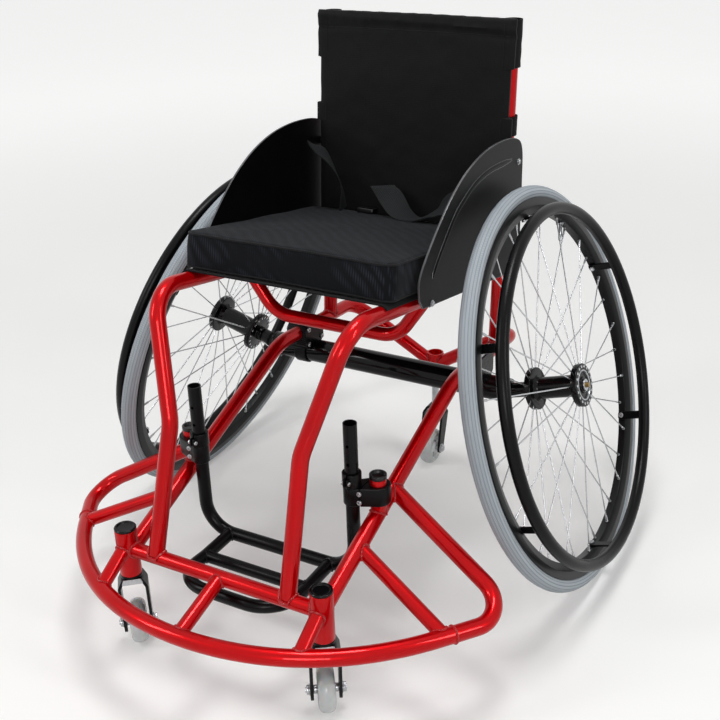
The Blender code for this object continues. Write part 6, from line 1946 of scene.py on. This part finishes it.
@dataclass(frozen=True)
class SideGuards:
    """Arched sheets beside the seat, each with a pressed rib edged with painted highlights, a lighter grey
    cut edge and its screws.
    """

    inner: float = 0.1695
    thickness: float = 0.0025
    rib: float = 0.0040
    rib_height: float = 0.0019
    rib_edge: float = 0.0005
    boss: float = 0.0060
    rail_screw_y: float = -0.1940
    cane_screw_z: float = 0.5920
    front_y: float = -0.2210
    back_y: float = 0.1225
    below_rail: float = 0.0027
    arch: tuple = ((0.1245, 0.5500), (0.1215, 0.6080), (0.0945, 0.6300), (0.0340, 0.6390), (-0.0290, 0.6370),
                   (-0.0850, 0.6240), (-0.1330, 0.6020), (-0.1720, 0.5750), (-0.2080, 0.5450), (-0.2300,
                                                                                                0.5200),
                   (-0.2305, 0.4930))
    rib_line: tuple = ((-0.1930, 0.5110), (-0.1740, 0.5320), (-0.1250, 0.5730), (-0.0890, 0.5905),
                       (-0.0480, 0.6030), (0.0030, 0.6070), (0.0800, 0.6020))

    def outline(self) -> list[tuple[float, float]]:
        """Return the sheet's outline in (y, z)."""
        top = smooth_route([Vector((*point, 0.0)) for point in self.arch], 8)
        front = LINES.seat_point(Side.LEFT, self.front_y)
        back = LINES.seat_point(Side.LEFT, self.back_y)
        foot = [(self.front_y, front.z - self.below_rail), (self.back_y, back.z - self.below_rail)]
        return [(point.x, point.y) for point in top] + foot

    def build(self) -> None:
        """Build both guards."""
        for side in Side:
            self.build_sheet(side)
            self.build_fittings(side)

    def build_sheet(self, side: Side) -> None:
        """Press the sheet and its rib, edge the rib with lines of painted highlight and lay a lighter grey
        strip round the sheet's cut edge.
        """
        low = self.inner if side is Side.LEFT else -self.inner - self.thickness
        sheet_place = shift(low, 0.0, 0.0) @ UPRIGHT
        outline = filleted(self.outline(), 0.0030, 2)
        parts = [prism(outline, self.thickness, sheet_place, 0.0004, 2)]
        face = side.value * (self.inner + self.thickness)
        route = smooth_route([Vector((face, y, z)) for y, z in self.rib_line], 12)
        frames = []
        borders = ([], [])
        last = len(route) - 1
        for index, point in enumerate(route):
            along = route[min(index + 1, last)] - route[max(index - 1, 0)]
            taper = math.sqrt(min(1.0, (index + 0.4) / 5, (last - index + 0.4) / 5))
            place = axes_frame(point, side.out, along)
            frames.append(place @ Matrix.Diagonal((self.rib_height * taper, self.rib * taper, 1.0, 1.0)))
            for border, edge in zip(borders, (1, -1)):
                border.append(place @ Vector((self.rib_edge * 0.4, edge * self.rib * taper, 0.0)))
        parts.append(loft(circle(1.0, 20), frames))
        settle("guard_sheet", gathered(parts), GUARD_SHEET, "side_guard", side=side)
        # Painted highlights: pale lines laid along both borders of the rib
        rib_highlights = [tube(border, self.rib_edge, 8) for border in borders]
        settle("guard_rib_highlights", gathered(rib_highlights), GUARD_EDGE_AND_RIB_HIGHLIGHT, side=side)
        edge = [Vector((side.value * (self.inner + self.thickness / 2), y, z)) for y, z in outline]
        half = self.thickness / 2 + 0.0001
        strip = filleted(rectangle(-half, -0.0004, half, 0.0004), 0.0002, 2)
        settle("guard_edge", loft(strip, loop_frames(edge, ACROSS), closed=True), GUARD_EDGE_AND_RIB_HIGHLIGHT, side=side)

    def build_fittings(self, side: Side) -> None:
        """Build the stand-offs to the rail and the cane, and the screws through them."""
        outer = self.inner + self.thickness
        bosses = []
        screws = []
        for middle in (LINES.seat_point(side, self.rail_screw_y), LINES.cane_point(side, self.cane_screw_z)):
            reach = self.inner - abs(middle.x)
            place = axes_frame(Vector((middle.x, middle.y, middle.z)), UP, side.out)
            outline = ring_profile(LINES.tube * 0.6, reach, 0.0, self.boss)
            bosses.append(lathe(outline, 28, place=place))
            head = axes_frame(Vector((side.value * outer, middle.y, middle.z)), UP, side.out)
            screws.append(washer(head, 0.0048, 0.0020, 0.0008))
            screws.append(screw(head @ shift(0.0, 0.0, 0.0008), 0.0034, 0.0020))
        settle("guard_bosses", gathered(bosses), NYLON, side=side)
        settle("guard_screws", gathered(screws), ZINC_STEEL, side=side)


# Seat, back and belt


def soft_noise(point: Vector, size: float) -> float:
    """Return smooth noise from -1 to 1 whose bumps are about a size apart."""
    return noise.noise(point / size)


def fold(distance: float, width: float) -> float:
    """Height of a crease at a distance from its line: 1 on it, 0 a width away."""
    t = min(abs(distance) / width, 1.0)
    return (1 - t * t) ** 2


@dataclass(frozen=True)
class Cushion:
    """The cushion on its sling: a foam block in a ribbed cover with a welt round its top and bottom edges."""

    half_width: float = 0.1620
    front: float = -0.2955
    rear: float = 0.0523
    corner: float = 0.0180
    thickness: float = 0.0500
    crown: float = 0.0035
    draw: float = 0.0030
    edge: float = 0.0050
    welt: float = 0.0014
    sling_thickness: float = 0.0020
    sling_front: float = -0.2990
    sling_rear: float = 0.0600
    sling_wrap: float = math.radians(35)
    rail_clearance: float = 0.0119
    lift: float = 0.01531

    def frame(self) -> Matrix:
        """Return the frame midway along the cushion, Y to the rear along the rails, Z square to them."""
        middle = LINES.seat_point(Side.LEFT, (self.front + self.rear) / 2)
        origin = Vector((0.0, middle.y, middle.z))
        return axes_frame(origin, ACROSS, LINES.seat_normal())

    @property
    def half_length(self) -> float:
        """Half of the cushion's length along the rails."""
        return (self.rear - self.front) / 2 / math.cos(math.atan(LINES.seat_slope))

    def plan(self, inset: float) -> list[tuple[float, float]]:
        """Return the rounded plan outline, with stations along its sides, drawn in between the corners."""
        half = self.half_width - inset
        length = self.half_length - inset
        corner = max(self.corner - inset, 0.004)
        outline = []
        corners = ((half - corner, length - corner, 0), (corner - half, length - corner, 1),
                   (corner - half, corner - length, 2), (half - corner, corner - length, 3))
        for index, (x, y, quarter) in enumerate(corners):
            outline += arc((x, y), corner, quarter * math.pi / 2, math.pi / 2, 8)
            after_x, after_y, after_quarter = corners[(index + 1) % 4]
            turn = after_quarter * math.pi / 2
            target = (after_x + corner * math.cos(turn), after_y + corner * math.sin(turn))
            last = outline[-1]
            count = 36
            for step in range(1, count):
                t = step / count
                outline.append((last[0] + (target[0] - last[0]) * t, last[1] + (target[1] - last[1]) * t))
        drawn = []
        for x, y in outline:
            in_x = self.draw * (1 - (y / length) ** 2) * abs(x / half) ** 6
            in_y = self.draw * (1 - (x / half) ** 2) * abs(y / length) ** 6
            drawn.append((x - math.copysign(in_x, x), y - math.copysign(in_y, y)))
        return drawn

    def build(self) -> None:
        """Build the cushion, its welts and the sling."""
        self.build_cushion()
        self.build_sling()

    def ring(self, inset: float, height: float) -> list[Vector]:
        """Return one level of the cover in the seat's frame, softened by slow noise."""
        points = []
        for x, y in self.plan(inset):
            point = Vector((x, y, height))
            out = Vector((x / self.half_width, y / self.half_length, 0.0))
            swell = 0.0013 * soft_noise(point, 0.050) + 0.0006 * soft_noise(point, 0.018)
            side = 1.0 if 0.0 < height < self.thickness else 0.2
            points.append(point + out * swell * side + Vector((0.0, 0.0, 0.0010 * soft_noise(point, 0.06))))
        return points

    def build_cushion(self) -> None:
        """Loft the foam's cover level by level and lay the two welts."""
        height = self.thickness
        levels = [(0.060, 0.0), (0.020, 0.0), (self.edge, 0.0), (self.edge * 0.4, self.edge * 0.25),
                  (0.0008, self.edge * 0.8)]
        steps = 14
        for index in range(1, steps):
            t = index / steps
            bulge = -0.0010 * math.sin(math.pi * t)
            levels.append((0.0008 + bulge, self.edge * 0.8 + (height - 1.6 * self.edge) * t))
        levels += [(0.0008, height - self.edge * 0.8), (self.edge * 0.4, height - self.edge * 0.25),
                   (self.edge, height)]
        for inset in (0.010, 0.018, 0.030, 0.045, 0.062, 0.080, 0.100, 0.120, 0.138, 0.150):
            share = 1 - inset / self.half_width
            levels.append((inset, height + self.crown * (1 - share ** 2)))
        rings = [self.ring(inset, level) for inset, level in levels]
        cover = moved(skin(rings), self.frame() @ shift(0.0, 0.0, self.lift))
        settle("seat_cushion", cover, CUSHION_CLOTH, "cushion")
        welts = []
        for level in (self.edge * 0.45, height - self.edge * 0.45):
            path = self.ring(self.edge * 0.28, level)
            welts.append(loft(circle(self.welt, 10), loop_frames(path, UP), closed=True))
        piping = moved(gathered(welts), self.frame() @ shift(0.0, 0.0, self.lift))
        settle("cushion_welts", piping, WELT_CLOTH)

    def build_sling(self) -> None:
        """Stretch the sling over both rails, wrapped round their outer sides."""
        place = self.frame()
        length = (self.sling_rear - self.sling_front) / math.cos(math.atan(LINES.seat_slope))
        start = -self.half_length - (self.front - self.sling_front) / math.cos(math.atan(LINES.seat_slope))
        stations = 40
        rings = []
        for index in range(stations + 1):
            y = start + length * index / stations
            world_y = (place @ Vector((0.0, y, 0.0))).y
            rail = LINES.seat_point(Side.LEFT, world_y).x
            inner = self.rail_clearance
            outer = inner + self.sling_thickness
            turn = math.pi / 2 - self.sling_wrap
            right = arc((rail, 0.0), outer, math.pi / 2, -turn, 6) + arc((rail, 0.0), inner, self.sling_wrap,
                                                                         turn, 6)
            over = right[:7]
            under = right[7:]
            sag = 0.0012 * math.sin(math.pi * index / stations)
            across = [(x, h - sag) for x, h in self.between(under[-1], inner)]
            left_under = [(-x, h) for x, h in reversed(under)]
            left_over = [(-x, h) for x, h in reversed(over)]
            back = [(x, h - sag) for x, h in reversed(self.between(over[0], outer))]
            outline = [*over, *under, *across, *left_under, *left_over, *back]
            rings.append([place @ Vector((x, y, h)) for x, h in outline])
        sling = settle("sling_seat", skin(rings), BACK_CLOTH, "seat_sling")
        wrap = 2 * (math.pi / 2 - self.sling_wrap) * (self.rail_clearance + self.sling_thickness / 2)
        width = 2 * LINES.seat_point(Side.LEFT, self.front).x + wrap

    @staticmethod
    def between(edge: tuple[float, float], height: float) -> list[tuple[float, float]]:
        """Return stations between the two rails at a height, from the right-hand one to the left-hand one."""
        count = 24
        return [(edge[0] * (1 - 2 * k / count), height) for k in range(1, count)]


@dataclass(frozen=True)
class BackRest:
    """The upholstered back: a padded panel with sleeves round the canes, a gap and a flap below."""

    top: float = 0.7980
    bottom: float = 0.4600
    pad: float = 0.0120
    window_low: float = 0.6585
    window_high: float = 0.7280
    flap_low: float = 0.6300
    narrow: float = 0.1590
    flap: float = 0.1655
    wide: float = 0.1640
    sag: float = 0.0060
    sleeve: float = 0.0146
    behind: float = 0.0120

    def half_width(self, z: float) -> float:
        """Half width of the panel at a height."""
        if z < self.flap_low:
            return self.narrow
        if z < self.window_low:
            return self.flap
        return self.narrow if z < self.window_high else self.wide

    def build(self) -> None:
        """Build the panel, the sleeves with their seams, and the flap."""
        panel = settle("back_panel", self.panel(), BACK_CLOTH, "back_upholstery")
        parts = []
        for side in Side:
            parts.append(self.sleeve_skin(side, self.window_high, self.top - 0.003, 1.0))
            parts.append(self.sleeve_skin(side, self.flap_low, self.window_low, 0.5))
        sleeves = settle("back_sleeves", gathered(parts), BACK_CLOTH)
        settle("back_seams", gathered(self.seams()), WELT_CLOTH)

    def front_point(self, u: float, z: float) -> Vector:
        """Return a point of the panel's front face: u runs across it from -1 to 1."""
        cane = LINES.cane_point(Side.LEFT, z)
        x = self.half_width(z) * u
        y = cane.y - self.behind - self.pad + self.sag * (1 - (x / self.wide) ** 2)
        wave = Vector((x, 0.0, z))
        y += 0.0014 * soft_noise(wave, 0.060) + 0.0007 * soft_noise(wave + UP, 0.022)
        near_top = max(0.0, 1 - (self.top - z) / 0.045)
        y += near_top * (0.0022 * soft_noise(Vector((x * 2.2, 3.0, z)),
                                             0.020) + 0.0010 * math.sin(x * 240 + z * 90))
        y -= 0.0016 * fold(z - (self.top - 0.011 - 0.004 * u), 0.005)
        y += 0.00175 * fold(z - (self.top - 0.020 - 0.006 * u * u), 0.006)
        return Vector((x, y, z))

    def panel(self) -> bmesh.types.BMesh:
        """Loft the panel from its foot to its folded top edge."""
        levels = [self.bottom + (self.top - 0.006 - self.bottom) * k / 84 for k in range(85)]
        for edge in (self.flap_low, self.window_low, self.window_high):
            levels += [edge - 0.0006, edge + 0.0006]
        levels.sort()
        rings = [self.level(z, 0.0) for z in levels]
        for k in range(1, 6):
            t = k / 5
            z = self.top - 0.006 + 0.006 * math.sin(t * math.pi / 2)
            rings.append(self.level(z, 1 - math.cos(t * math.pi / 2)))
        return skin(rings)

    def level(self, z: float, closing: float) -> list[Vector]:
        """Return one closed level of the panel, its faces drawn together by a share."""
        across = 72
        front = [self.front_point(2 * k / across - 1, z) for k in range(across + 1)]
        thickness = self.pad * 0.86
        ring = []
        for sign, order in ((-1, range(across + 1)), (1, range(across, -1, -1))):
            for k in order:
                edge = min(1.0, (1 - abs(2 * k / across - 1)) / 0.05 + 0.15)
                half = thickness / 2 * (1 - 0.55 * closing) * math.sqrt(edge)
                ring.append(Vector((front[k].x, front[k].y + thickness / 2 + sign * half, z)))
        return ring

    def sleeve_skin(self, side: Side, low: float, high: float, slack: float) -> bmesh.types.BMesh:
        """Wrap a sleeve round a cane, slightly creased, open at both ends."""
        faces = 40
        levels = 30
        rings = []
        for wall in (0.0, 0.0013):
            order = range(levels + 1) if wall == 0.0 else range(levels, -1, -1)
            for index in order:
                z = low + (high - low) * index / levels
                middle = LINES.cane_point(side, z)
                ring = []
                for k in range(faces):
                    angle = 2 * math.pi * k / faces
                    out = Vector((math.cos(angle), math.sin(angle), 0.0))
                    crease = 0.0006 * slack * soft_noise(Vector((angle * 2, z * 90, side.value * 5.0)), 1.0)
                    radius = self.sleeve - wall + crease
                    ring.append(middle + out * radius)
                rings.append(ring)
        return skin(rings, closed=True)

    def seams(self) -> list[bmesh.types.BMesh]:
        """Lay a fine stitched seam beside each sleeve and under the folded top edge."""
        beads = []
        for side in Side:
            for low, high in ((self.window_high + 0.002, self.top - 0.006), (self.flap_low + 0.002,
                                                                         self.window_low - 0.002)):
                line = [self.front_point(side.value * 0.90, low + (high - low) * k / 12) for k in range(13)]
                beads.append(tube([point - Vector((0.0, 0.0002, 0.0)) for point in line], 0.0007, 8))
        top = [self.front_point(-0.95 + 1.9 * k / 60, self.top - 0.024) for k in range(61)]
        beads.append(tube([point - Vector((0.0, 0.0002, 0.0)) for point in top], 0.0007, 8))
        return beads


@dataclass(frozen=True)
class LapBelt:
    """The lap belt as it lies: a folded strap from the left, a thin one from the right and the adjuster."""

    width: float = 0.0380
    thickness: float = 0.0016
    cushion_top: float = 0.0500
    left: tuple = ((0.1500, 0.0330, 0.0620), (0.0850, 0.0400, 0.0330), (0.0600, 0.0370, 0.0150),
                   (0.0340, 0.0260, 0.0047), (0.0080, 0.0280, 0.0100), (-0.0160, 0.0370, 0.0300),
                   (-0.0350, 0.0410, 0.0470))
    left_across: tuple = ((0.0, 0.30, 1.0), (0.0, 0.60, 0.80), (0.20, 0.90, 0.20), (0.35, 0.92, -0.10),
                          (0.60, 0.75, 0.0), (0.90, 0.40, 0.10), (1.0, 0.15, 0.05))
    right: tuple = ((-0.1560, 0.0190, 0.1030), (-0.1400, 0.0210, 0.0930), (-0.1180, 0.0260, 0.0700),
                    (-0.1060, 0.0350, 0.0400), (-0.1030, 0.0410, 0.0020))
    right_across: tuple = ((-0.35, 0.85, -0.35), (-0.10, 0.95, -0.10), (-0.30, 0.85, -0.35), (-0.40, 0.75,
                                                                                              -0.45),
                           (-0.20, 0.90, -0.20))
    buckle_spot: tuple = (-0.0600, 0.0420, 0.0048)
    buckle: tuple = (0.0300, 0.0180, 0.0080)
    steps: int = 14
    fold_steps: int = 16
    fold_line: tuple = (0.87, 0.49, 0.02)

    def over_cushion(self, x: float, y: float, lift: float) -> Vector:
        """Return a point above the cushion's top."""
        rail = LINES.seat_point(Side.LEFT, y)
        height = CUSHION.lift + self.cushion_top + lift
        return Vector((x, rail.y, rail.z)) + LINES.seat_normal() * height

    def build(self) -> None:
        """Build both straps and the adjuster."""
        self.build_strap("lap_strap_left", self.left, self.left_across, "belt_strap_left",
                         Vector(self.fold_line))
        self.build_strap("lap_strap_right", self.right, self.right_across, "belt_strap_right")
        self.build_adjuster()

    def build_strap(self, name: str, spots: tuple, across: tuple, node: str, fold_edge: Vector | None = None
                    ) -> None:
        """Lay one strap of webbing along its route and map it: U along, V across, in metres.

        Args:
            name: the piece's name.
            spots: stations of its middle line: x, y and the height over the cushion.
            across: the direction of its width at each station.
            node: the node that it replaces.
            fold_edge: the line of the fold where the strap doubles back, if it ends in one.
        """
        path = smooth_route([self.over_cushion(*spot) for spot in spots], self.steps)
        wides = smooth_route([Vector(value) for value in across], self.steps)
        half = self.width / 2
        thick = self.thickness / 2
        section = []
        lines = 16
        for k in range(lines + 1):
            section.append((half * (1 - 2 * k / lines), thick))
        for k in range(lines, -1, -1):
            section.append((half * (1 - 2 * k / lines), -thick))
        frames = []
        last = len(path) - 1
        for index, point in enumerate(path):
            along = path[min(index + 1, last)] - path[max(index - 1, 0)]
            place = axes_frame(point, wides[index], along)
            reach = max((index - last + self.fold_steps) / self.fold_steps, 0.0)
            if fold_edge is not None and reach > 0.0:
                skewed = place.col[0].to_3d().lerp(fold_edge.normalized(), reach * reach * (3 - 2 * reach))
                place.col[0] = (*skewed, 0.0)
            frames.append(place)
        bm = loft(section, frames)
        layer = bm.loops.layers.uv.new(STRAP_MAP)
        travelled = [0.0]
        for before, after in zip(path, path[1:]):
            travelled.append(travelled[-1] + (after - before).length)
        for face in bm.faces:
            for loop in face.loops:
                nearest = min(range(len(path)), key=lambda k: (path[k] - loop.vert.co).length_squared)
                offset = frames[nearest].inverted() @ loop.vert.co
                loop[layer].uv = (travelled[nearest], offset.x)
        strap = settle(name, bm, WEBBING, node)

    def build_adjuster(self) -> None:
        """Cut the adjuster: a small frame with two slots."""
        long, wide, high = self.buckle
        middle = self.over_cushion(*self.buckle_spot)
        tilt = Matrix.Rotation(math.atan(LINES.seat_slope), 4, "X")
        place = Matrix.Translation(middle) @ tilt @ shift(0.0, 0.0, -high / 2)
        plan = filleted(rectangle(-long / 2, -wide / 2, long / 2, wide / 2), 0.0035, 4)
        body = prism(plan, high, bevel=0.0012, segments=3)
        slots = []
        for x in (-0.0065, 0.0065):
            slot = rectangle(x - 0.0028, -wide / 2 + 0.0035, x + 0.0028, wide / 2 - 0.0035)
            slots.append(prism(filleted(slot, 0.0010, 2), 0.02, shift(0.0, 0.0, -0.006)))
        settle("belt_buckle", moved(carved(body, slots), place), NYLON, "belt_adjuster")


CUSHION = Cushion()

SEAT_TILT = math.atan(LINES.seat_slope)
# Spacer-mesh cover of the cushion: fine cords over charcoal polyester
CUSHION_CLOTH = Cloth("cushion_cover", "cushion_cloth", roughness=0.85, specular=0.1, colour="#0D0F12",
                      thread="#282C34", spacing=0.0036,
                      tilt=-SEAT_TILT, watered=True, height=0.0004, fold=0.0008)
# Bias tape of the welts
WELT_CLOTH = Cloth("welt_tape", "cushion_cloth", roughness=0.8, specular=0.2, colour="#0B0B0D",
                   thread="#1B1C20", spacing=0.0018, height=0.0001)
# Coated nylon of the back and the sling
BACK_CLOTH = Cloth("back_nylon", "back_cloth", roughness=0.72, specular=0.15, colour="#050506",
                   thread="#121316", spacing=0.0024,
                   height=0.0002, fold=0.0016)


# Room, light and camera


@dataclass(frozen=True)
class Studio:
    """A pale floor under soft light, and the camera where the photograph was taken from."""

    camera_at: tuple = (0.754883, -1.275749, 1.040592)
    yaw: float = math.radians(-29.58182808)
    pitch: float = math.radians(-25.44636711)
    roll: float = math.radians(-1.87776499)
    lens: float = 55.17825
    sensor: float = 36.0
    floor_half: float = 30.0
    backdrop_light: float = 0.85
    wall_light: float = 0.08
    ceiling_light: float = 0.50

    def build(self) -> None:
        """Build the floor, the lights, the sky and the camera."""
        self.build_floor()
        self.build_lights()
        self.build_sky()
        self.build_camera()

    def build_floor(self) -> None:
        """Lay a wide pale floor."""
        bm = bmesh.new()
        bmesh.ops.create_grid(bm, x_segments=8, y_segments=8, size=self.floor_half)
        floor = loose_object("studio_floor", bm)
        floor.data.materials.append(FLOOR_PAPER.material())
        floor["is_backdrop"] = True

    def lamp(self, name: str, at: tuple, aim: tuple, size: tuple, power: float) -> None:
        """Hang one soft rectangular lamp that faces a point."""
        data = bpy.data.lights.new(name, "AREA")
        data.shape = "RECTANGLE"
        data.size, data.size_y = size
        data.energy = power
        lamp = bpy.data.objects.new(name, data)
        lamp.location = at
        lamp.rotation_euler = (Vector(aim) - Vector(at)).to_track_quat("-Z", "Y").to_euler()
        bpy.context.scene.collection.objects.link(lamp)
        lamp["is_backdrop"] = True

    def build_lights(self) -> None:
        """Hang the overhead softbox, the key strip, the front softbox by the camera and the fill strip."""
        middle = (0.0, 0.0, 0.35)
        self.lamp("overhead_softbox", (0.1, 0.1, 2.7), middle, (0.8, 0.8), 27.0)
        self.lamp("key_strip", (-1.9, -1.9, 2.0), middle, (0.5, 1.5), 21.0)
        self.lamp("front_softbox", (1.3, -2.6, 1.5), middle, (1.0, 0.9), 20.0)
        self.lamp("fill_strip", (2.4, -0.3, 1.7), middle, (0.3, 1.5), 12.0)

    def build_sky(self) -> None:
        """Light the room from a ceiling that is brighter than its walls, before an even pale backdrop.

        The camera and mirror-like surfaces see the backdrop; only matt surfaces take the ceiling's glow.
        """
        world = bpy.data.worlds.new("studio_sky")
        world.use_nodes = True
        pattern = Pattern(world.node_tree, world.node_tree.nodes["Background"])
        heading = pattern.add("TexCoord").outputs["Generated"]
        height = pattern.add("SeparateXYZ", {"Vector": heading}).outputs["Z"]
        glow = pattern.ramp(height, 0.0, 1.0, self.wall_light, self.ceiling_light)
        path = pattern.add("LightPath").outputs
        mirrored = pattern.combine("MAXIMUM", path["Is Glossy Ray"], path["Is Transmission Ray"])
        seen = pattern.combine("MAXIMUM", path["Is Camera Ray"], mirrored)
        strength = pattern.add("Mix", {MIX_FACTOR: seen, GREY_MIX_A: glow, GREY_MIX_B: self.backdrop_light})
        pattern.fill(pattern.shader, {"Strength": strength.outputs[0], "Color": WHITE})
        bpy.context.scene.world = world

    def build_camera(self) -> None:
        """Stand the camera where the photograph's was."""
        data = bpy.data.cameras.new("photo_camera")
        data.sensor_width = self.sensor
        data.lens = self.lens
        data.clip_end = 200.0
        forward = Vector((math.sin(self.yaw) * math.cos(self.pitch),
                          math.cos(self.yaw) * math.cos(self.pitch),
                          math.sin(self.pitch)))
        level = Vector((math.cos(self.yaw), -math.sin(self.yaw), 0.0))
        upward = level.cross(forward)
        right = level * math.cos(self.roll) + upward * math.sin(self.roll)
        top = -level * math.sin(self.roll) + upward * math.cos(self.roll)
        camera = bpy.data.objects.new("photo_camera", data)
        turn = Matrix((right, top, -forward)).transposed().to_4x4()
        camera.matrix_world = Matrix.Translation(self.camera_at) @ turn
        bpy.context.scene.collection.objects.link(camera)
        bpy.context.scene.camera = camera
        bpy.context.scene.view_settings.view_transform = "Standard"


def corners() -> list[list[float]]:
    """Return the lowest and the highest corner of the shown object as plain lists."""
    low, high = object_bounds()
    return [list(low), list(high)]


def main() -> None:
    """Build the chair from the frame outwards."""
    logging.basicConfig(level=logging.INFO, format="%(name)s: %(message)s")
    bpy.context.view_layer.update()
    for piece in (RedFrame(), AxleGroup(), WHEELS, Casters(), Footrest(), SideGuards(), CUSHION, BackRest(),
                  LapBelt(), Studio()):
        piece.build()
        LOG.info("%s built", type(piece).__name__)
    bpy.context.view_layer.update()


if __name__ == "__main__":
    main()
